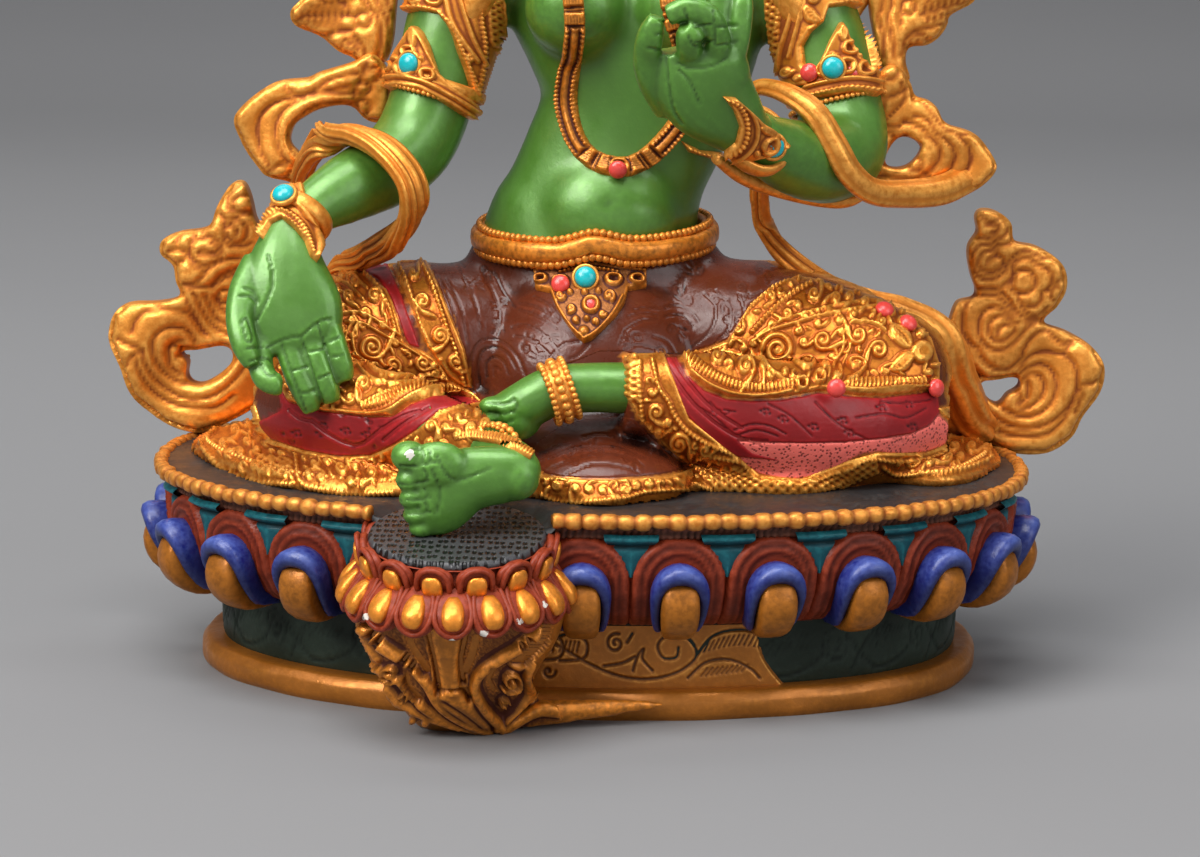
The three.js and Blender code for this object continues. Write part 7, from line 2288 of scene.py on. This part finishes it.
def chip_low_tips(made):
    """White chips where the paint has come off the lower petals' tips."""
    points = coordinates(made.data) / MM
    spots = [(366, 617), (394, 634), (474, 637), (484, 634), (520, 621), (545, 604), (431, 640), (452, 642)]
    px, py = seen(points)
    chip = np.zeros(len(points))
    for x, y in spots:
        chip = np.maximum(chip, np.exp(-(((px - x) / 5) ** 2 + ((py - y) / 4) ** 2)))
    set_values(made.data, "chip", 1.1 * chip * (points[:, 1] < -60))


BRACKET_FROM, BRACKET_SCALE = (300, 480), 0.2551
BRACKET_OUTLINE = crop_of(BRACKET_FROM, BRACKET_SCALE, [[
    (160, 440), (165, 525), (198, 600), (225, 670), (268, 705), (300, 765), (345, 815), (385, 865),
                                                         (435, 885),
    (440, 922), (475, 948), (530, 942), (610, 958), (690, 982), (770, 988), (840, 978), (930, 964),
                                                         (1030, 945),
    (1010, 885), (940, 870), (932, 820), (912, 750), (915, 702), (950, 680), (983, 640), (985, 600),
                                                         (1010, 545),
    (1030, 440)]])[0]
BRACKET_MARKS = [
    ("rib", [(185, 470), (205, 560), (245, 640), (290, 700)], 74, 0.5),
                 ("rib", [(1005, 480), (975, 570), (925, 650), (850, 712)], 76, 0.5),
    ("rib", [(575, 560), (580, 640), (578, 700), (590, 790)], 150, 0.95),
                 ("rib", [(572, 590), (576, 650)], 168, 1.05),
    ("rib", [(262, 575), (330, 638), (410, 690), (462, 735), (505, 790), (550, 862), (640, 925), (745, 965)],
     50, 1.0),
    ("rib", [(310, 730), (390, 770), (440, 830), (500, 885), (590, 935), (720, 972)], 34, 0.75),
    ("rib", [(345, 815), (400, 862), (460, 890), (520, 915), (620, 950)], 40, 0.8),
    ("rib", [(945, 575), (860, 640), (765, 698), (705, 745), (682, 800), (705, 862), (745, 915), (790, 955)],
     50, 1.0),
    ("rib", [(905, 700), (880, 760), (890, 830), (850, 885), (805, 935)], 36, 0.75),
    ("rib", [(790, 965), (860, 930), (940, 900), (1030, 905)], 56, 0.8),
    ("leaf", [(555, 835), (640, 880), (740, 965)], 52, 0),
                 ("rib", [(590, 838), (650, 880), (715, 935)], 50, 0.9),
    ("coils", [(366, 745, 44, 1.4, 1, 0.6), (818, 772, 50, 1.6, -1, 2.4), (900, 855, 30, 1.2, 1, 0),
               (790, 862, 26, 1.0, -1, 0), (410, 838, 24, 1, 1, 0)]),
    ("knobs", [(456, 915, 22), (502, 922, 22), (770, 945, 26), (575, 640, 24)]),
    ("cut", [(505, 600), (530, 700), (545, 790)], 12), ("cut", [(652, 600), (632, 700), (640, 780)], 12),
    ("cut", [(430, 600), (440, 650), (500, 740)], 26), ("cut", [(690, 620), (672, 690), (650, 740)], 30),
    ("cut", [(545, 812), (590, 800), (645, 812), (665, 840)], 10),
                 ("cut", [(760, 820), (740, 780), (760, 735)], 16),
    ("cut", [(470, 850), (430, 800), (420, 760)], 14), ("cut", [(750, 720), (765, 742)], 8),
                 ("cut", [(860, 632), (875, 655)], 8),
    ("cut", [(885, 615), (900, 640)], 8), ("cut", [(300, 590), (284, 612)], 8),
                 ("cut", [(325, 612), (308, 636)], 8),
    ("cut", [(428, 680), (406, 706)], 8), ("cut", [(455, 708), (436, 732)], 8)] + [
    ("cut", [(x, y), (x + dx, y + dy)], 5.5) for line, dx, dy in (
        ([(168, 500), (192, 580), (228, 650), (270, 702)], 44, 20),
                                                                  ([(1012, 500), (990, 575), (950, 650),
                                                                    (880, 712)], -50, -2))
    for x, y in evenly(line, 15)]


def foot_bracket():
    """A rounded core, with the leaves carved on the side that faces forward."""
    gold = finishes()["bracket_gold"]
    x0, y0 = FOOT_LOTUS[0] + 0.4, FOOT_LOTUS[1]
    core = limb([(x0, y0 + 1, 25, 19, 15.5), (x0, y0 + 1.6, 20, 18, 14.6), (x0, y0 + 2.6, 14, 15.6, 12.6),
                 (x0 + 0.8, y0 + 4.6, 8, 12.4, 9.6), (x0 + 2, y0 + 7, 3, 10.4, 7),
                 (x0 + 2.6, y0 + 8, 0.3, 9.6, 6)],
                56, 44, (0, -1, 0), 2.3)
    foot = limb([(x0 + 6, y0 + 2.6, 2.8, 3, 2.6), (x0 + 15, y0 + 3.6, 2.9, 2.2, 2.4),
                 (x0 + 24, y0 + 5.4, 3.2, 1.7, 1.8), (x0 + 36, y0 + 7.6, 3.6, 0.6, 0.8)],
                16, 40, (0, -0.4, 1), 2.6)
    piece("foot_bracket", [cast([core, foot], 0.9, 4)], gold, "gold_paint")
    board = Board((100, 400), (1100, 1020), 2.0, BRACKET_FROM, BRACKET_SCALE)
    draw(board, BRACKET_MARKS)
    board.soften(1)
    laid = patch(tree_of("foot_bracket"), BRACKET_OUTLINE, board, 0.3, 1.9, 1.35, 2, 0.5, 4.0,
                 ground=0.9)
    piece("foot_bracket_leaves", [laid], gold, "gold_paint")


# Stones: the way that each faces, and its radius
LARGE, SMALL = 1.98, 1.72
STONES = {
    "turquoise_right_armlet": (-0.42, -0.9, 0.1, LARGE),
    "turquoise_right_bracelet": (-0.2, -0.62, 0.76, LARGE),
    "turquoise_left_armlet": (0, -1, 0.1, LARGE),
    "coral_left_armlet_inner": (-0.3, -0.95, 0.1, SMALL),
    "coral_left_armlet_outer": (0.45, -0.9, 0.1, SMALL),
    "turquoise_left_bracelet": (0.1, -0.98, 0.15, LARGE),
    "coral_necklace": (0, -0.97, -0.2, SMALL),
    "turquoise_girdle": (0, -0.95, 0.3, LARGE),
    "coral_girdle_side": (-0.1, -0.95, 0.3, SMALL),
    "coral_girdle_low": (0, -0.93, 0.35, SMALL),
    "coral_knee_front": (0.05, -0.99, 0.1, SMALL),
    "coral_knee_outer": (0.6, -0.8, 0.1, SMALL),
    "coral_knee_top": (0.2, -0.6, 0.77, SMALL),
    "coral_knee_top_outer": (0.35, -0.6, 0.7, SMALL),
}
CARVED_OVER = ("coral_knee", "coral_girdle_low")  # stones brought out past the carving round them


def stones():
    finish = finishes()
    rings = []
    for name, (*way, size) in STONES.items():
        facing = Vector(way).normalized()
        low, high = (np.array(corner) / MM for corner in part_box(name))
        middle = (low + high) / 2
        if name.startswith(CARVED_OVER):
            middle = middle + np.array(facing) * 0.9
        turn = facing.to_track_quat("Z", "Y").to_matrix()
        dome = beads([middle], size, 28, 16, [facing], 0.62)
        kind = name.split("_")[0]
        piece("stone_" + name, [dome], finish[kind], kind, [name])
        if kind == "turquoise":
            angle = np.linspace(0, math.tau, 20, endpoint=False)
            ring = np.stack([np.cos(angle), np.sin(angle), 0 * angle], 1) * (size + 0.25)
            ring = ring @ np.array(turn).T + middle - np.array(facing) * 0.5
            rings.append(hoop(ring, 0.6, 0.36, 28, 6))
    piece("stone_bezels", rings, finish["gold_paint"], "gold_paint")


# Camera, lights and floor
def stage():
    scene = bpy.context.scene
    data = bpy.data.cameras.new("camera")
    data.sensor_width, data.lens, data.shift_x = SENSOR, scene.tara_sizes.lens, CAMERA_SHIFT
    data.clip_start, data.clip_end = 0.05, 20.0
    camera = bpy.data.objects.new("camera", data)
    scene.collection.objects.link(camera)
    right, up, forward = EYE_AXES
    turn = Matrix((right, up, -forward)).transposed().to_4x4()
    camera.matrix_world = Matrix.Translation(EYE * MM) @ turn
    scene.camera = camera

    def sweep(u, v):
        x = (u - 0.5) * 6.0
        y = np.interp(v, [0, 0.45, 0.6, 0.75, 1], [-3.0, 1.3, 1.75, 2.0, 2.05])
        z = np.interp(v, [0, 0.45, 0.6, 0.75, 1], [0, 0, 0.1, 0.45, 2.6])
        return np.stack([x, y, z], 1)

    floor = bpy.data.objects.new("floor", smoothed(surface_open(12, 60, sweep), 3))
    floor.data.materials.append(pale_floor())
    floor.data.shade_smooth()
    scene.collection.objects.link(floor)
    world = bpy.data.worlds.new("studio")
    world.use_nodes = True
    glow = world.node_tree.nodes["Background"].inputs
    glow["Color"].default_value, glow["Strength"].default_value = (0.9, 0.93, 1.0, 1), 0.19
    scene.world = world
    scene.view_settings.view_transform = "Standard"
    for name, place, aim, size, power, colour in SOFTBOXES:
        light = bpy.data.lights.new(name, "AREA")
        light.shape, light.size, light.size_y = "RECTANGLE", *size
        light.energy, light.color = power, colour
        lamp = bpy.data.objects.new(name, light)
        turn = (Vector(aim) - Vector(place)).to_track_quat("-Z", "Y").to_matrix().to_4x4()
        lamp.matrix_world = Matrix.Translation(place) @ turn
        scene.collection.objects.link(lamp)


def pale_floor():
    material, tree, where = new_paint("pale_floor")
    colour = blend(tree, noise(tree, where, 3.0), (0.165, 0.165, 0.17, 1), (0.18, 0.18, 0.183, 1))
    matt = node(tree, "ShaderNodeBsdfPrincipled", {"Base Color": colour, "Roughness": 0.75})
    node(tree, "ShaderNodeOutputMaterial", {"Surface": matt.outputs[0]})
    return material


SOFTBOXES = [  # name, place, what it is aimed at, size, power, colour
    ("key", (-0.9, -0.9, 1.05), (0, 0, 0.08), (0.8, 0.8), 27.0, (1.0, 0.985, 0.96)),
    ("fill", (1.05, -0.8, 0.7), (0, 0, 0.08), (0.8, 1.0), 8.0, (0.97, 0.98, 1.0)),
    ("top", (-0.15, -0.4, 1.35), (0, 0, 0.05), (1.0, 0.7), 20.0, (1, 1, 1)),
    ("backdrop", (0, 0.7, 1.4), (0, 1.5, 0), (2.2, 0.6), 14.0, (1, 1, 1)),
    ("low_front", (0.1, -1.4, 0.22), (0, 0, 0.05), (1.3, 0.4), 1.5, (1.0, 0.99, 0.98)),
]


# Panel, operators and the run
class TaraColours(bpy.types.PropertyGroup):
    """The main paints."""

    def tone(name, words, value):
        return bpy.props.FloatVectorProperty(name=name, description=words, subtype="COLOR", size=3,
                                             min=0, max=1, default=value)

    gold: tone("Gold", "Gold paint on ornaments, hems and scarves", (0.64, 0.215, 0.022))
    skin: tone("Skin", "Pearl green of the body", (0.068, 0.185, 0.02))
    skirt: tone("Skirt", "Dark brown of the skirt over the lap", (0.082, 0.016, 0.006))
    red_cloth: tone("Red cloth", "Deep red of the folds under the knees", (0.22, 0.0075, 0.009))
    pink_cloth: tone("Pink cloth", "Pricked pink cloth spread on the seat", (0.78, 0.15, 0.12))
    rust: tone("Petal rust", "Rust red of the lotus petals", (0.165, 0.019, 0.005))
    blue: tone("Petal blue", "Blue of the petals' hoods", (0.004, 0.010, 0.14))
    teal: tone("Leaf teal", "Teal of the leaves between the petals", (0.005, 0.062, 0.082))
    turquoise: tone("Turquoise", "Blue-green stones", (0.004, 0.33, 0.36))
    coral: tone("Coral", "Pink-red stones", (0.56, 0.045, 0.036))


class TaraSizes(bpy.types.PropertyGroup):
    """Sizes of the picture."""

    lens: bpy.props.FloatProperty(name="Lens", description="Focal length of the camera",
                                  default=round(FOCAL / PHOTO[0] * SENSOR, 2), unit="CAMERA")


def operator(identity, label, words, work):
    """An operator class that runs one of the functions above."""
    def execute(self, context):
        work()
        return {"FINISHED"}

    return type("TARA_OT_" + identity, (bpy.types.Operator,),
                {"__doc__": words, "bl_idname": "tara." + identity, "bl_label": label,
                 "bl_options": {"REGISTER", "UNDO"}, "execute": execute})


OPERATORS = [
    operator("stage", "Stage", "Adds the camera, the soft lights and the pale floor", stage),
    operator("throne_plinth", "Plinth", "Makes the throne's gilt foot", throne_plinth),
    operator("throne_waist", "Waist", "Makes the engraved waist and its gilt panel", throne_waist),
    operator("throne_petals", "Petals", "Makes the throne's petals in their three parts", throne_petals),
    operator("throne_rim", "Rim", "Makes the barred groove and the row of beads over it", throne_rim),
    operator("throne_seat", "Seat", "Makes the engraved top of the throne", throne_seat),
    operator("skin_body", "Body", "Makes the trunk and the arms", skin_body),
    operator("hands_and_feet", "Hands and feet", "Makes both hands and both feet", hands_and_feet),
    operator("cloth_over_legs", "Cloth", "Makes the carved cloth over the legs", cloth_over_legs),
    operator("girdle", "Girdle", "Makes the girdle and its pendant", girdle),
    operator("necklace", "Necklace", "Makes the long necklace", necklace),
    operator("arm_work", "Arms", "Makes the armlets, the bracelets and the fronts of the shawl", arm_work),
    operator("anklets", "Anklets", "Makes both anklets", anklets),
    operator("scarf_ends", "Scarf ends", "Makes the four scrolled ends of the scarf", scarf_ends),
    operator("scarf_straps", "Scarf", "Makes the bands of the scarf", scarf_straps),
    operator("head_and_hair", "Head", "Makes the head and the hair", head_and_hair),
    operator("crown", "Crown", "Makes the crown, the earrings and the collar", crown),
    operator("shoulder_flowers", "Shoulders", "Makes the shawl and the lotus at each shoulder",
             shoulder_flowers),
    operator("foot_lotus", "Foot lotus", "Makes the small lotus under the right foot", foot_lotus),
    operator("foot_bracket", "Bracket", "Makes the leafed bracket under the small lotus", foot_bracket),
    operator("stones", "Stones", "Makes the stones and their bezels", stones),
]


class TARA_PT_panel(bpy.types.Panel):
    """Lists the pieces of the figure."""

    bl_label = "Tara figure"
    bl_idname = "TARA_PT_panel"
    bl_space_type = "VIEW_3D"
    bl_region_type = "UI"
    bl_category = "Tara"

    def draw(self, context):
        for made in OPERATORS:
            self.layout.operator(made.bl_idname)
        for group in (context.scene.tara_colours, context.scene.tara_sizes):
            for name in group.bl_rna.properties.keys():
                if name not in ("rna_type", "name"):
                    self.layout.prop(group, name)


CLASSES = [TaraColours, TaraSizes, *OPERATORS, TARA_PT_panel]


def register():
    for made in CLASSES:
        bpy.utils.register_class(made)
    bpy.types.Scene.tara_colours = bpy.props.PointerProperty(type=TaraColours)
    bpy.types.Scene.tara_sizes = bpy.props.PointerProperty(type=TaraSizes)


def unregister():
    del bpy.types.Scene.tara_sizes
    del bpy.types.Scene.tara_colours
    for made in reversed(CLASSES):
        bpy.utils.unregister_class(made)


def main():
    register()
    for made in OPERATORS:
        getattr(bpy.ops.tara, made.bl_idname.split(".")[1])()


if __name__ == "__main__":
    main()
